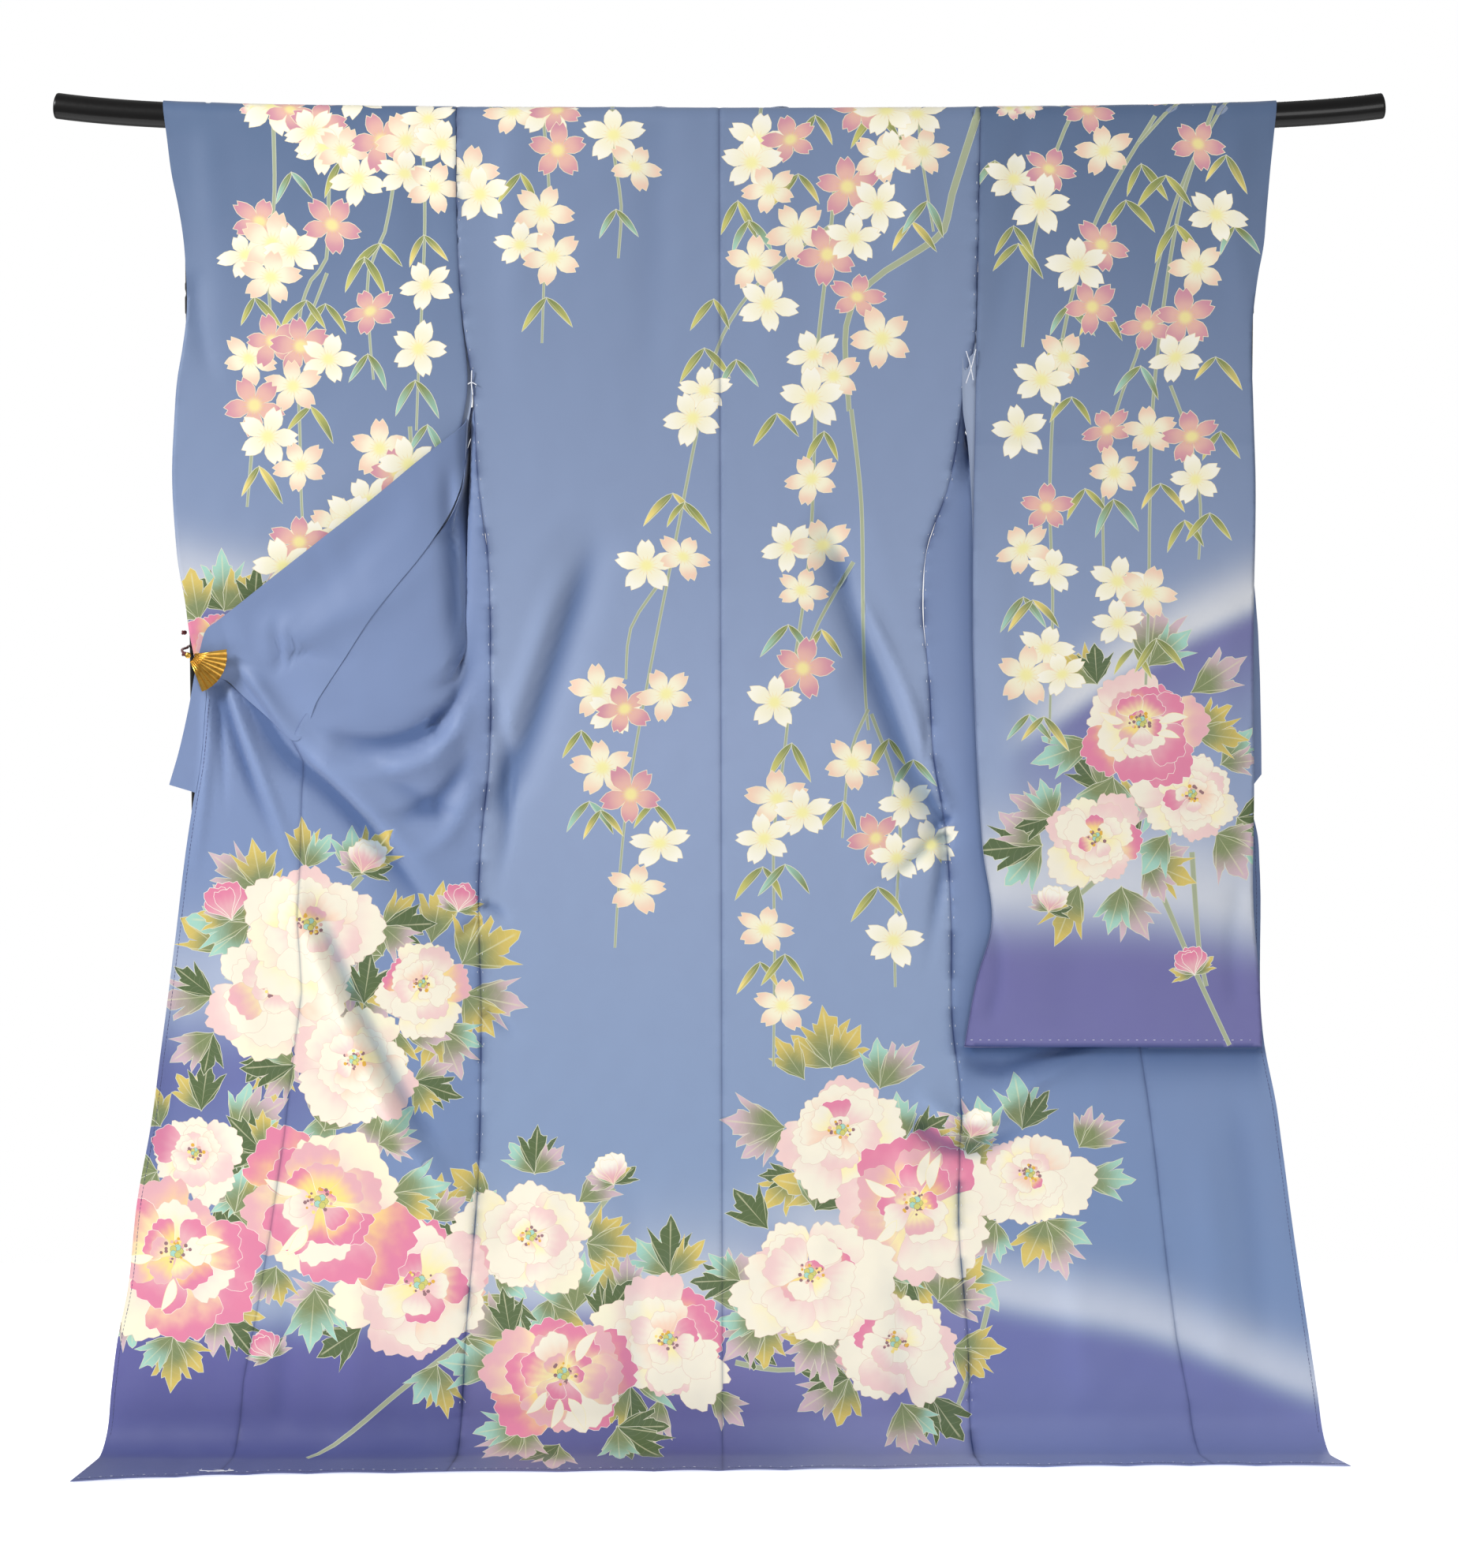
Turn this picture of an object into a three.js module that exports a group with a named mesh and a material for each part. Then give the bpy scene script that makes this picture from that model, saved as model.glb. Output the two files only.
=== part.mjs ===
// Furisode kimono hung over the rail of a two-post display stand.
//
// Units are millimetres and +Z is up. The object is looked at along +Y, so the viewing side is -Y,
// where the back of the kimono shows, and +X is to the right. The origin is on the floor, in the
// middle of the object's width and depth. Cloth pieces are walls, 0.3 mm apart at their seams.
import * as THREE from "three";

// ---- driving dimensions ----
const RAIL = { halfLength: 830, radius: 16, height: 1679, bow: 8, upturn: 12, sides: 10, steps: 26 };
const POST = { x: 657, radius: 13, joint: 1466, sides: 24 };
const FOOT = { front: -15, width: 40, height: 28, nose: 8 };
const STRETCHER = { radius: 9, height: 160, sides: 18 };
const CLOTH = { wall: 1.5, railRadius: 17.35, seam: 0.4, crestGap: 0.36, bend: 45, neck: 96 };
const HALF_DEPTH = 172;
const GAP = 0.3;
const FLOOR = CLOTH.wall / 2;
const SLEEVE = { wristFoot: 1461, bottom: 517, lip: 2.5, columns: 5, postNotch: 634, notchTop: 1593 };
const FAN = { x: -664, z: 1013, y: -45, radius: 49, from: 9, to: -70, blades: 9, wall: 2.4 };

const COLOURS = {
  lacquer: new THREE.MeshStandardMaterial({ color: 0x0c0b0b, roughness: 0.22, metalness: 0 }),
  silk: new THREE.MeshStandardMaterial({ color: 0x7890ba, roughness: 0.55, metalness: 0 }),
  gold: new THREE.MeshStandardMaterial({ color: 0xb89030, roughness: 0.28, metalness: 1 }),
  cord: new THREE.MeshStandardMaterial({ color: 0x5a1420, roughness: 0.7, metalness: 0 }),
};

/** Rows of numbers, as objects whose keys are the names of the columns. */
function table(columns, ...rows) {
  return rows.map((row) => Object.fromEntries(columns.map((name, i) => [name, row[i]])));
}

/** The value of a column at a key, in a straight line between the rows on either side of it. */
function at(rows, key, column, value) {
  const sorted = [...rows].sort((a, b) => a[key] - b[key]);
  const last = sorted.at(-1);
  if (value <= sorted[0][key]) return sorted[0][column];
  if (value >= last[key]) return last[column];
  const next = sorted.findIndex((row) => row[key] > value);
  const [low, high] = [sorted[next - 1], sorted[next]];
  const share = (value - low[key]) / (high[key] - low[key]);
  return low[column] + share * (high[column] - low[column]);
}

const mix = (a, b, share) => a + (b - a) * share;
const smooth = (share) => {
  const t = Math.min(1, Math.max(0, share));
  return t * t * (3 - 2 * t);
};

// ---- outlines, as x at a height; a height below 0 stands for the hem, out on the floor ----
const HEM = -60;
const SIDE_LEFT = table(["z", "x"],
  [1680, -328], [1534, -327], [1436, -321], [1345, -308], [1240, -303], [1142, -291], [994, -288],
  [884, -290], [795, -299], [745, -303], [544, -302], [342, -307], [138, -324], [0, -332], [HEM, -338]);
const SIDE_RIGHT = table(["z", "x"],
  [1680, 325], [1485, 322], [1397, 318], [1345, 306], [1269, 296], [1220, 286], [1149, 261],
  [1079, 255], [984, 264], [877, 271], [807, 284], [682, 293], [538, 296], [465, 305], [281, 305],
  [141, 317], [0, 322], [HEM, 327]);
const CENTRE = table(["z", "x"], [1680, 0], [900, 2], [HEM, 4]);
const OVERLAP_SEAM_LEFT = table(["z", "x"],
  [985, -625], [908, -537], [879, -524], [795, -526], [689, -530], [588, -527], [511, -538],
  [404, -551], [281, -570], [180, -588], [90, -606], [0, -614], [HEM, -620]);
const OVERLAP_SEAM_RIGHT = table(["z", "x"],
  [985, 634], [908, 520], [795, 522], [520, 533], [440, 546], [364, 556], [236, 571], [141, 584],
  [56, 601], [0, 608], [HEM, 618]);
const EDGE_LEFT = table(["z", "x"],
  [985, -642], [917, -648], [867, -654], [832, -661], [785, -669], [645, -688], [514, -707],
  [423, -720], [322, -739], [200, -754], [149, -765], [77, -775], [0, -783], [HEM, -797]);
const EDGE_RIGHT = table(["z", "x"],
  [985, 655], [908, 661], [832, 668], [785, 680], [745, 683], [517, 692], [440, 708], [393, 715],
  [281, 731], [141, 753], [51, 767], [0, 773], [HEM, 789]);
const SLEEVE_LEFT_EDGE = table(["z", "x"],
  [1690, -693], [1650, -688], [1611, -683], [1573, -675], [1534, -669], [1490, -666], [1436, -666],
  [1397, -671], [1358, -678], [1299, -683], [1240, -686], [1181, -684], [1122, -679], [1083, -672],
  [1043, -667], [1004, -660], [954, -655], [517, -658]);
const SLEEVE_RIGHT_EDGE = table(["z", "x"],
  [1690, 694], [1650, 690], [1611, 686], [1563, 682], [1524, 679], [1485, 672], [1436, 666],
  [1319, 667], [1240, 670], [1043, 670], [845, 673], [677, 675], [617, 681], [517, 687]);
const SLEEVE_LEFT_INNER = table(["z", "x"],
  [1690, -328], [1534, -327], [1436, -322], [1338, -316], [1300, -323], [1240, -337], [1142, -358],
  [517, -358]);
const SLEEVE_RIGHT_INNER = table(["z", "x"],
  [1690, 325.5], [1485, 322.5], [1348, 320], [1007, 319], [771, 332], [664, 343], [609, 327],
  [517, 310]);

// ---- how far the cloth hangs in front of the rail's axis, and where the hem lies ----
const HANG = table(["x", "y"],
  [-800, -31], [-650, -34], [-450, -39], [-360, -34], [-300, -23], [0, -22], [296, -21], [345, -18.7],
  [800, -18.7]);
const HEM_LINE = table(["x", "y"],
  [-797, -HALF_DEPTH], [-620, -147], [-328, -134], [0, -127], [325, -114], [618, -106], [789, -109]);
const FALLS = { from: 1679, to: 1250 };
const CREASES = table(["x1", "z1", "x2", "z2", "reach", "depth"],
  [-610, 985, -530, 890, 42, 7], [-530, 890, -330, 640, 45, 7], [-325, 1040, -350, 935, 36, 8],
  [-350, 935, -460, 905, 36, 8], [-525, 690, -415, 425, 55, -8], [-415, 425, -315, 290, 55, -7],
  [147, 1160, 197, 980, 55, 6], [197, 980, 280, 800, 55, 7], [-165, 1140, -270, 870, 60, 6]);

/** The soft trough, or the ridge where depth is below 0, that one crease makes at a point. */
function trough(crease, x, z) {
  const [dx, dz] = [crease.x2 - crease.x1, crease.z2 - crease.z1];
  const along = Math.min(1, Math.max(0, ((x - crease.x1) * dx + (z - crease.z1) * dz) / (dx * dx + dz * dz)));
  const away = Math.hypot(x - crease.x1 - along * dx, z - crease.z1 - along * dz) / crease.reach;
  return away < 1 ? crease.depth * (1 - away * away) ** 2 : 0;
}

/** The depth of the cloth of the backs, and of the fronts where they lie spread out beside them. */
function hang(x, z) {
  const drop = smooth((FALLS.from - z) / (FALLS.from - FALLS.to));
  const plain = mix(-CLOTH.railRadius, at(HANG, "x", "y", x), Math.abs(x) < 335 ? drop : 1);
  return plain + CREASES.reduce((sum, crease) => sum + trough(crease, x, z), 0);
}

/** The height of the rail's axis, which bows up a little and turns up at its ends. */
function railAxis(x) {
  const share = Math.abs(x) / RAIL.halfLength;
  return RAIL.height + RAIL.bow * share ** 2 + RAIL.upturn * share ** 8;
}

/** A point of the cloth on the rail, where angle 0 is the crest and +90 degrees the viewing side. */
function onRail(x, angle) {
  return [x, -CLOTH.railRadius * Math.sin(angle), railAxis(x) + CLOTH.railRadius * Math.cos(angle)];
}

const QUARTER = Math.PI / 2;
const RAIL_ANGLES = [0.3, 0.6, 0.9].map((share) => share * QUARTER);
const LEVELS = [1662, 1620, 1560, 1500, 1450, 1397, 1345, 1328, 1312, 1290, 1269, 1220, 1175, 1142, 1100, 1060, 1007,
  960, 908, 879, 840, 795, 745, 689, 620, 545, 465, 404, 342, 281, 220, 141, 90];
const BENDS = [0.02, 0.35, 0.7, 1].map((share) => share * QUARTER);

/** The rows of one spread panel from a height down to its hem; x(share, z) places its columns. */
function hangingRows(top, columns, x) {
  const shares = Array.from({ length: columns + 1 }, (_, i) => i / columns);
  const rows = LEVELS.filter((z) => z <= top).map((z) => shares.map((share) => {
    const place = x(share, z);
    return [place, hang(place, z), z];
  }));
  for (const angle of BENDS) {
    const z = FLOOR + CLOTH.bend * (1 - Math.sin(angle));
    rows.push(shares.map((share) => {
      const place = x(share, z);
      return [place, hang(place, CLOTH.bend) - CLOTH.bend * (1 - Math.cos(angle)), z];
    }));
  }
  for (const reach of [0.5, 1]) {
    rows.push(shares.map((share) => {
      const place = x(share, HEM * reach);
      return [place, mix(hang(place, CLOTH.bend) - CLOTH.bend, at(HEM_LINE, "x", "y", place), reach), FLOOR];
    }));
  }
  return rows;
}

/** Columns between two outlines, each half a seam's gap inside its own. */
function between(inner, outer) {
  const outwards = Math.sign(outer[0].x - inner[0].x);
  const half = outwards * CLOTH.seam / 2;
  return (share, z) => mix(at(inner, "z", "x", z) + half, at(outer, "z", "x", z) - half, share);
}

/** A sheet from rows that each have the same number of points. */
function latticeSheet(rows) {
  const width = rows[0].length;
  const faces = [];
  for (let r = 0; r + 1 < rows.length; r += 1) {
    for (let c = 0; c + 1 < width; c += 1) {
      const corner = r * width + c;
      faces.push([corner, corner + 1, corner + width + 1, corner + width]);
    }
  }
  return { points: rows.flat(), faces };
}

/** A closed wall of the cloth's thickness with a sheet in its middle. */
function wall(sheet) {
  const points = sheet.points.map((point) => new THREE.Vector3(...point));
  const triangles = sheet.faces.flatMap(([a, b, c, d]) => (d === undefined ? [[a, b, c]] : [[a, b, c], [a, c, d]]));
  const normals = points.map(() => new THREE.Vector3());
  for (const [a, b, c] of triangles) {
    const side = points[b].clone().sub(points[a]);
    const normal = side.cross(points[c].clone().sub(points[a]));
    [a, b, c].forEach((corner) => normals[corner].add(normal));
  }
  normals.forEach((normal) => normal.setLength(CLOTH.wall / 2));
  const skins = [1, -1].flatMap((side) => points.map((point, i) => point.clone().addScaledVector(normals[i], side)));
  const count = points.length;
  const directed = new Set(triangles.flatMap(([a, b, c]) => [`${a} ${b}`, `${b} ${c}`, `${c} ${a}`]));
  const index = [];
  for (const [a, b, c] of triangles) {
    index.push(a, b, c, a + count, c + count, b + count);
    for (const [from, to] of [[a, b], [b, c], [c, a]]) {
      if (!directed.has(`${to} ${from}`)) {
        index.push(to, from, from + count, to, from + count, to + count);
      }
    }
  }
  const geometry = new THREE.BufferGeometry().setFromPoints(skins);
  geometry.setIndex(index);
  return geometry;
}

/** One back: from the crest of the rail down the viewing side, and out on the floor to its hem. */
function back(side) {
  const x = between(CENTRE, side);
  const columns = 4;
  const shares = Array.from({ length: columns + 1 }, (_, i) => i / columns);
  const crest = [CLOTH.crestGap / CLOTH.railRadius, ...RAIL_ANGLES, QUARTER];
  const rows = crest.map((angle) => shares.map((share) => onRail(x(share, RAIL.height), angle)));
  return wall(latticeSheet([...rows, ...hangingRows(LEVELS[0], columns, x)]));
}

// ---- the fronts: cuts across each one at a height, from its side edge to the seam of its collar ----
// Each hangs from the rail on the far side, is drawn out through the slit under the arm, and lies
// spread out beside the back. The left one makes a deep loose pleat behind the slit on its way.
const CUT = ["z", "sideX", "sideY", "valleyX", "valleyY", "loopX", "loopY", "foldX", "foldY", "seamX", "seamY"];
const FRONT_LEFT = table(CUT,
  [1662, -327.7, 17.4, -270, 17.4, -213, 17.4, -158, 17.4, -104, 17.6],
  [1560, -326, 17.5, -286, 18, -246, 18.5, -204, 19, -160, 20],
  [1450, -320, 16, -298, 18, -274, 20, -250, 21, -221, 22],
  [1397, -315.5, 11, -304, 16, -290, 20, -273, 22, -252, 23],
  [1345, -307.7, -6, -310, 4, -304.5, 19, -296, 25, -284, 24],
  [1328, -307.2, -13, -310, 1, -306, 17, -300, 29, -292, 34],
  [1312, -306.8, -19, -311, -4, -305.5, 20, -303, 36, -301, 46],
  [1290, -306, -20, -311.5, -6, -301, 28, -307, 42, -313, 28],
  [1269, -304.6, -21, -312, -7, -300, 33, -312, 32, -317, -6],
  [1220, -301, -21, -314, -10, -297, 42, -319, 14, -323, -26],
  [1175, -296, -22, -316, -12, -299, 42, -327, -8, -344, -33],
  [1142, -291, -22, -317, -13, -301, 38, -329, -24, -371, -36],
  [1100, -289, -22, -318, -14, -309, 28, -329, -28, -405, -38],
  [1060, -288, -22, -319, -16, -317, 18, -330, -29, -437, -39],
  [1007, -288, -22, -319, -18, -326, -6, -337, -31, -472, -39],
  [960, -288, -22, -321, -22, -345, -27, -395, -36, -503, -39]);
const FRONT_RIGHT = table(CUT,
  [1662, 324.7, 17.4, 270, 17.4, 213, 17.4, 158, 17.4, 104, 17.6],
  [1560, 323.5, 17.5, 286, 18, 246, 18.5, 204, 19, 160, 20],
  [1450, 320, 16, 298, 18, 274, 20, 250, 21, 221, 22],
  [1397, 316, 10, 304, 15, 290, 19, 273, 21, 252, 22],
  [1345, 306.3, -9, 309, 2, 304, 14, 296, 20, 284, 20],
  [1328, 304, -14, 308.5, 0, 305, 17, 299, 29, 292, 34],
  [1312, 302, -18, 309, -4, 306, 20, 303, 36, 302, 46],
  [1290, 299, -20, 308, -8, 308, 12, 308, 30, 313, 24],
  [1269, 296.2, -20.5, 304, -14, 310, -2, 314, 5, 316, -3],
  [1220, 286, -21, 297, -19, 307, -17.5, 315, -17, 321, -17.5],
  [1175, 270, -21.5, 290, -20, 307, -18.7, 325, -18.7, 344, -18.7],
  [1142, 260.2, -21.5, 288, -20, 315, -18.7, 343, -18.7, 371, -18.7],
  [1100, 257, -21.5, 292, -20, 330, -18.7, 368, -18.7, 405, -18.7],
  [1060, 257, -21.5, 297, -20, 343, -18.7, 390, -18.7, 437, -18.7],
  [1007, 261.5, -21.5, 305, -20, 358, -18.7, 412, -18.7, 465, -18.7],
  [960, 265.5, -21.5, 314, -19.5, 373, -18.7, 433, -18.7, 493, -18.7]);
const SLIT_FOOT = 1312;
const SPREAD_TOP = 959;

/** The points across one cut of a front, with one more halfway between each two. */
function cutRow(cut, side, outwards) {
  const named = ["side", "valley", "loop", "fold", "seam"].map((name) => [cut[`${name}X`], cut[`${name}Y`], cut.z]);
  if (cut.z <= SLIT_FOOT) {
    const seam = at(side, "z", "x", cut.z);
    named[0] = [seam + outwards * (GAP + CLOTH.wall / 2), hang(seam, cut.z), cut.z];
  }
  const last = Math.hypot(named[4][0] - named[3][0], named[4][1] - named[3][1]);
  named[4] = named[4].map((value, k) => mix(value, named[3][k], GAP / last));
  const halfway = (i) => named[i].map((value, k) => mix(value, named[i + 1][k], 0.5));
  return named.flatMap((point, i) => (i === 4 ? [point] : [point, halfway(i)]));
}

/** One front, from the crest of the rail to its hem, between its side edge and its inner seam. */
function front(cuts, side, seam) {
  const outwards = Math.sign(side[0].x);
  const neck = between(table(["z", "x"], [0, outwards * CLOTH.neck]), side);
  const columns = 8;
  const shares = Array.from({ length: columns + 1 }, (_, i) => 1 - i / columns);
  const rail = [CLOTH.crestGap / CLOTH.railRadius, ...RAIL_ANGLES, QUARTER];
  const rows = rail.map((angle) => shares.map((share) => onRail(neck(share, RAIL.height), -angle)));
  rows.push(...cuts.filter((cut) => LEVELS.includes(cut.z)).map((cut) => cutRow(cut, side, outwards)));
  rows.push(...hangingRows(SPREAD_TOP, columns, between(side, seam)));
  return wall(latticeSheet(rows));
}

/** One overlap, the half-width strip in front of a front, from its point down to its hem. */
function overlap(seam, edge) {
  const x = between(seam, edge);
  const columns = 4;
  const shares = Array.from({ length: columns + 1 }, (_, i) => i / columns);
  const point = [985, 960, 930].map((z) => shares.map((share) => [x(share, z), hang(x(share, z), z), z]));
  return wall(latticeSheet([...point, ...hangingRows(908, columns, x)]));
}

// ---- the collar: for each point of the seam that it is sewn along, where its free edge lies ----
// A row with no seam place follows the cuts of the front at that height.
const STEP = ["seamZ", "seamX", "freeX", "freeY", "freeZ"];
const COLLAR_LEFT = table(STEP,
  [1662, null, -58, 19.5, 1634], [1560, null, -108, 22, 1528], [1450, null, -168, 25, 1418],
  [1397, null, -204, 27, 1368], [1345, null, -252, 34, 1338], [1328, null, -290, 54, 1334],
  [1312, null, -316, 34, 1326], [1290, null, -318, -2, 1316],
  [1269, null, -318.5, -27, 1302], [1220, null, -346, -34, 1279], [1175, null, -380, -37, 1252],
  [1142, null, -410, -38, 1227], [1100, null, -447, -39, 1197], [1060, null, -483, -40, 1169],
  [1007, null, -524, -40, 1137], [960, null, -560, -40, 1109], [908, -537, -598, -40, 1079],
  [930, -562, -612, -40, 1068], [960, -596, -629, -40, 1055], [985, -625, -644, -40, 1041],
  [985, -642, -650, -40, 1020], [960, -644, -657, -39, 990], [930, -647, -664, -39, 953],
  [908, -649, -670, -39, 925], [879, -652.6, -678, -39, 893], [840, -659.5, -691, -38, 850]);
const COLLAR_RIGHT = table(STEP,
  [1662, null, 58, 19.5, 1634], [1560, null, 108, 22, 1528], [1450, null, 168, 25, 1418],
  [1397, null, 204, 26, 1368], [1345, null, 252, 34, 1338], [1328, null, 290, 54, 1334],
  [1312, null, 314, 34, 1326], [1290, null, 317, -2, 1316], [1269, null, 317.5, -18, 1302], [1220, null, 362, -18.7, 1281], [1175, null, 392, -18.7, 1262],
  [1142, null, 418, -18.7, 1249], [1100, null, 460, -18.7, 1226], [1060, null, 502, -18.7, 1203],
  [1007, null, 545, -18.7, 1180], [960, null, 590, -18.7, 1155], [908, 520, 630, -18.7, 1134],
  [930, 552.6, 648, -18.7, 1124], [960, 597, 661, -18.7, 1116], [985, 634, 671, -18.7, 1106],
  [985, 655, 676, -18.7, 1060], [960, 657, 679, -18.7, 1015], [930, 659.4, 681, -18.7, 970],
  [908, 661, 682, -18.7, 940], [879, 663.6, 683, -18.7, 905], [840, 667, 684, -18.7, 862]);
// Round the neck, both edges lie at a distance down the far side from the crest of the rail.
const COLLAR_NECK = table(["seamX", "seamDrop", "freeX", "freeDrop"],
  [95.4, 27.2, 59, 68], [95.4, 22.5, 60, 67.5], [95.4, 18, 60, 67], [94.6, 12.5, 61, 66], [92, 8, 61, 65], [45, 6, 32, 60], [0, 6, 0, 58]);
const COLLAR_SHARES = [0, 0.15, 0.3, 0.45, 1];
const COLLAR_TURN = 12;
const COLLAR_TWIST = { from: 1160, to: 1360, gap: 3 };

/** The rows of the collar down one front, each from its seam to its free edge. */
function collarRows(steps, cuts) {
  return steps.map((step) => {
    const cut = cuts.find((row) => row.z === step.seamZ);
    const seam = step.seamX === null
      ? [cut.seamX, cut.seamY, cut.z]
      : [step.seamX, hang(step.seamX, step.seamZ), step.seamZ];
    const free = [step.freeX, step.freeY, step.freeZ];
    const reach = Math.hypot(...seam.map((value, k) => free[k] - value));
    const turning = step.seamX === null && step.seamZ > COLLAR_TWIST.from && step.seamZ < COLLAR_TWIST.to;
    const first = (turning ? COLLAR_TWIST.gap : 2 * GAP) / reach;
    return COLLAR_SHARES.map((share) => seam.map((value, k) => mix(value, free[k], mix(first, 1, share))));
  });
}

/** A point of the cloth on the far side of the rail, a distance down from the crest. */
function farSide(x, drop) {
  const quarterLength = CLOTH.railRadius * QUARTER;
  if (drop < quarterLength) return onRail(x, -drop / CLOTH.railRadius);
  return [x, CLOTH.railRadius + (drop - quarterLength) * 0.04, railAxis(x) - (drop - quarterLength)];
}

/** The collar, from its left end up the left front, round the neck, and down the right front. */
function collar() {
  const quarterLength = CLOTH.railRadius * QUARTER;
  const neckRows = (side) => COLLAR_NECK.map(({ seamX, seamDrop, freeX, freeDrop }) => {
    const onBar = Math.max(quarterLength, seamDrop + COLLAR_TURN);
    const drops = [0, 1 / 3, 2 / 3, 1].map((share) => mix(seamDrop, onBar, share));
    return [...drops, freeDrop].map((drop) => {
      return farSide(side * mix(seamX, freeX, (drop - seamDrop) / (freeDrop - seamDrop)), drop);
    });
  });
  const left = collarRows(COLLAR_LEFT, FRONT_LEFT).reverse();
  const neck = [...neckRows(-1), ...neckRows(1).slice(0, -1).reverse()];
  return wall(latticeSheet([...left, ...neck, ...collarRows(COLLAR_RIGHT, FRONT_RIGHT)]));
}

// ---- the sleeves ----
const SLEEVE_LEVELS = [1668, 1640, 1605, 1580, 1534, 1500, 1475, 1450, 1420, 1390, 1345, 1300, 1240, 1181, 1122,
  1083, 1043, 1004, 954, 845, 740, 664, 609, 560, 521];
const SLEEVE_LEFT_DEPTH = table(["z", "near", "far"],
  [1690, -17.4, 17.4], [1605, -17.8, 16.8], [1580, -18, 12], [1534, -18.4, -3], [1500, -18.8, -14.4],
  [1475, -19.4, -15.2], [1300, -21, -15.6], [521, -21.5, -15.8]);
const SLEEVE_RIGHT_DEPTH = table(["z", "near", "far"],
  [1690, -17.4, 17.4], [1605, -17.8, 16.8], [1580, -18, 12], [1534, -18.4, -3], [1500, -19, -14.4],
  [1475, -20, -15.2], [1390, -24, -18.5], [1300, -29, -22.8], [1000, -31, -24], [521, -32, -25]);

/** One sleeve: a strip folded over the rail, closed along its bottom and below its wrist opening. */
function sleeve(inner, edge, depths) {
  const outwards = Math.sign(edge[0].x);
  const shares = Array.from({ length: SLEEVE.columns + 1 }, (_, i) => i / SLEEVE.columns);
  const closed = (z) => z < SLEEVE.wristFoot;
  const row = (z, layer) => shares.map((share) => {
    const lip = closed(z) ? SLEEVE.lip : 0;
    const notched = layer === "far" && !closed(z) && z < SLEEVE.notchTop;
    const outer = notched ? outwards * SLEEVE.postNotch : at(edge, "z", "x", z) - outwards * lip;
    return [mix(at(inner, "z", "x", z) + outwards * GAP / 2, outer, share), at(depths, "z", layer, z), z];
  });
  const arc = [-QUARTER, ...RAIL_ANGLES.map((angle) => -angle).reverse(), 0, ...RAIL_ANGLES, QUARTER];
  const onArc = arc.map((angle) => shares.map((share) => {
    return onRail(mix(at(inner, "z", "x", RAIL.height) + outwards * GAP / 2, at(edge, "z", "x", RAIL.height), share), angle);
  }));
  const far = SLEEVE_LEVELS.map((z) => row(z, "far")).reverse();
  const near = SLEEVE_LEVELS.map((z) => row(z, "near"));
  const sheet = latticeSheet([...far, ...onArc, ...near]);

  const width = shares.length;
  const rowCount = far.length + onArc.length + near.length;
  const farRow = (level) => far.length - 1 - level;
  const nearRow = (level) => far.length + onArc.length + level;
  const middle = (z) => mix(at(depths, "z", "near", z), at(depths, "z", "far", z), 0.5);
  const addPoint = (point) => sheet.points.push(point) - 1;
  const rim = SLEEVE_LEVELS.map((z) => (closed(z) ? addPoint([at(edge, "z", "x", z), middle(z), z]) : null));
  const low = SLEEVE_LEVELS.at(-1);
  const foot = near.at(-1).map(([x]) => addPoint([x, middle(low), SLEEVE.bottom]));
  for (let level = 0; level + 1 < SLEEVE_LEVELS.length; level += 1) {
    if (rim[level] !== null) {
      const [above, below] = [nearRow(level) * width + width - 1, nearRow(level + 1) * width + width - 1];
      const [farAbove, farBelow] = [farRow(level) * width + width - 1, farRow(level + 1) * width + width - 1];
      sheet.faces.push([above, rim[level], rim[level + 1], below]);
      sheet.faces.push([rim[level], farAbove, farBelow, rim[level + 1]]);
    }
  }
  const lastNear = (rowCount - 1) * width;
  for (let c = 0; c + 1 < width; c += 1) {
    sheet.faces.push([lastNear + c, lastNear + c + 1, foot[c + 1], foot[c]]);
    sheet.faces.push([foot[c], foot[c + 1], c + 1, c]);
  }
  sheet.faces.push([lastNear + width - 1, rim.at(-1), foot.at(-1)]);
  sheet.faces.push([foot.at(-1), rim.at(-1), width - 1]);
  return wall(sheet);
}

// ---- the stand ----

/** The rail: a round bar that bows up a little and turns up at its ends. */
function rail() {
  const path = new THREE.CatmullRomCurve3(Array.from({ length: 33 }, (_, i) => {
    const x = mix(-RAIL.halfLength, RAIL.halfLength, i / 32);
    return new THREE.Vector3(x, 0, railAxis(x));
  }));
  const section = new THREE.Shape();
  section.absarc(0, 0, RAIL.radius, 0, 2 * Math.PI, false);
  const options = { steps: RAIL.steps, curveSegments: RAIL.sides, extrudePath: path, bevelEnabled: false };
  return new THREE.ExtrudeGeometry(section, options);
}

/** An upright round bar between two heights. */
function upright(radius, from, to, sides) {
  const geometry = new THREE.CylinderGeometry(radius, radius, to - from, sides);
  geometry.rotateX(Math.PI / 2);
  geometry.translate(0, 0, (from + to) / 2);
  return geometry;
}

/** A foot: a low bar from just in front of its post back along the floor, with softened noses. */
function foot() {
  const { front: near, height, nose, width } = FOOT;
  const outline = new THREE.Shape();
  outline.moveTo(near, 0);
  outline.lineTo(HALF_DEPTH, 0);
  outline.lineTo(HALF_DEPTH, height - nose);
  outline.absarc(HALF_DEPTH - nose, height - nose, nose, 0, QUARTER, false);
  outline.absarc(near + nose, height - nose, nose, QUARTER, Math.PI, false);
  outline.closePath();
  const geometry = new THREE.ExtrudeGeometry(outline, { depth: width, curveSegments: 5, bevelEnabled: false });
  geometry.rotateX(Math.PI / 2);
  geometry.rotateZ(Math.PI / 2);
  geometry.translate(-width / 2, 0, 0);
  return geometry;
}

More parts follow.
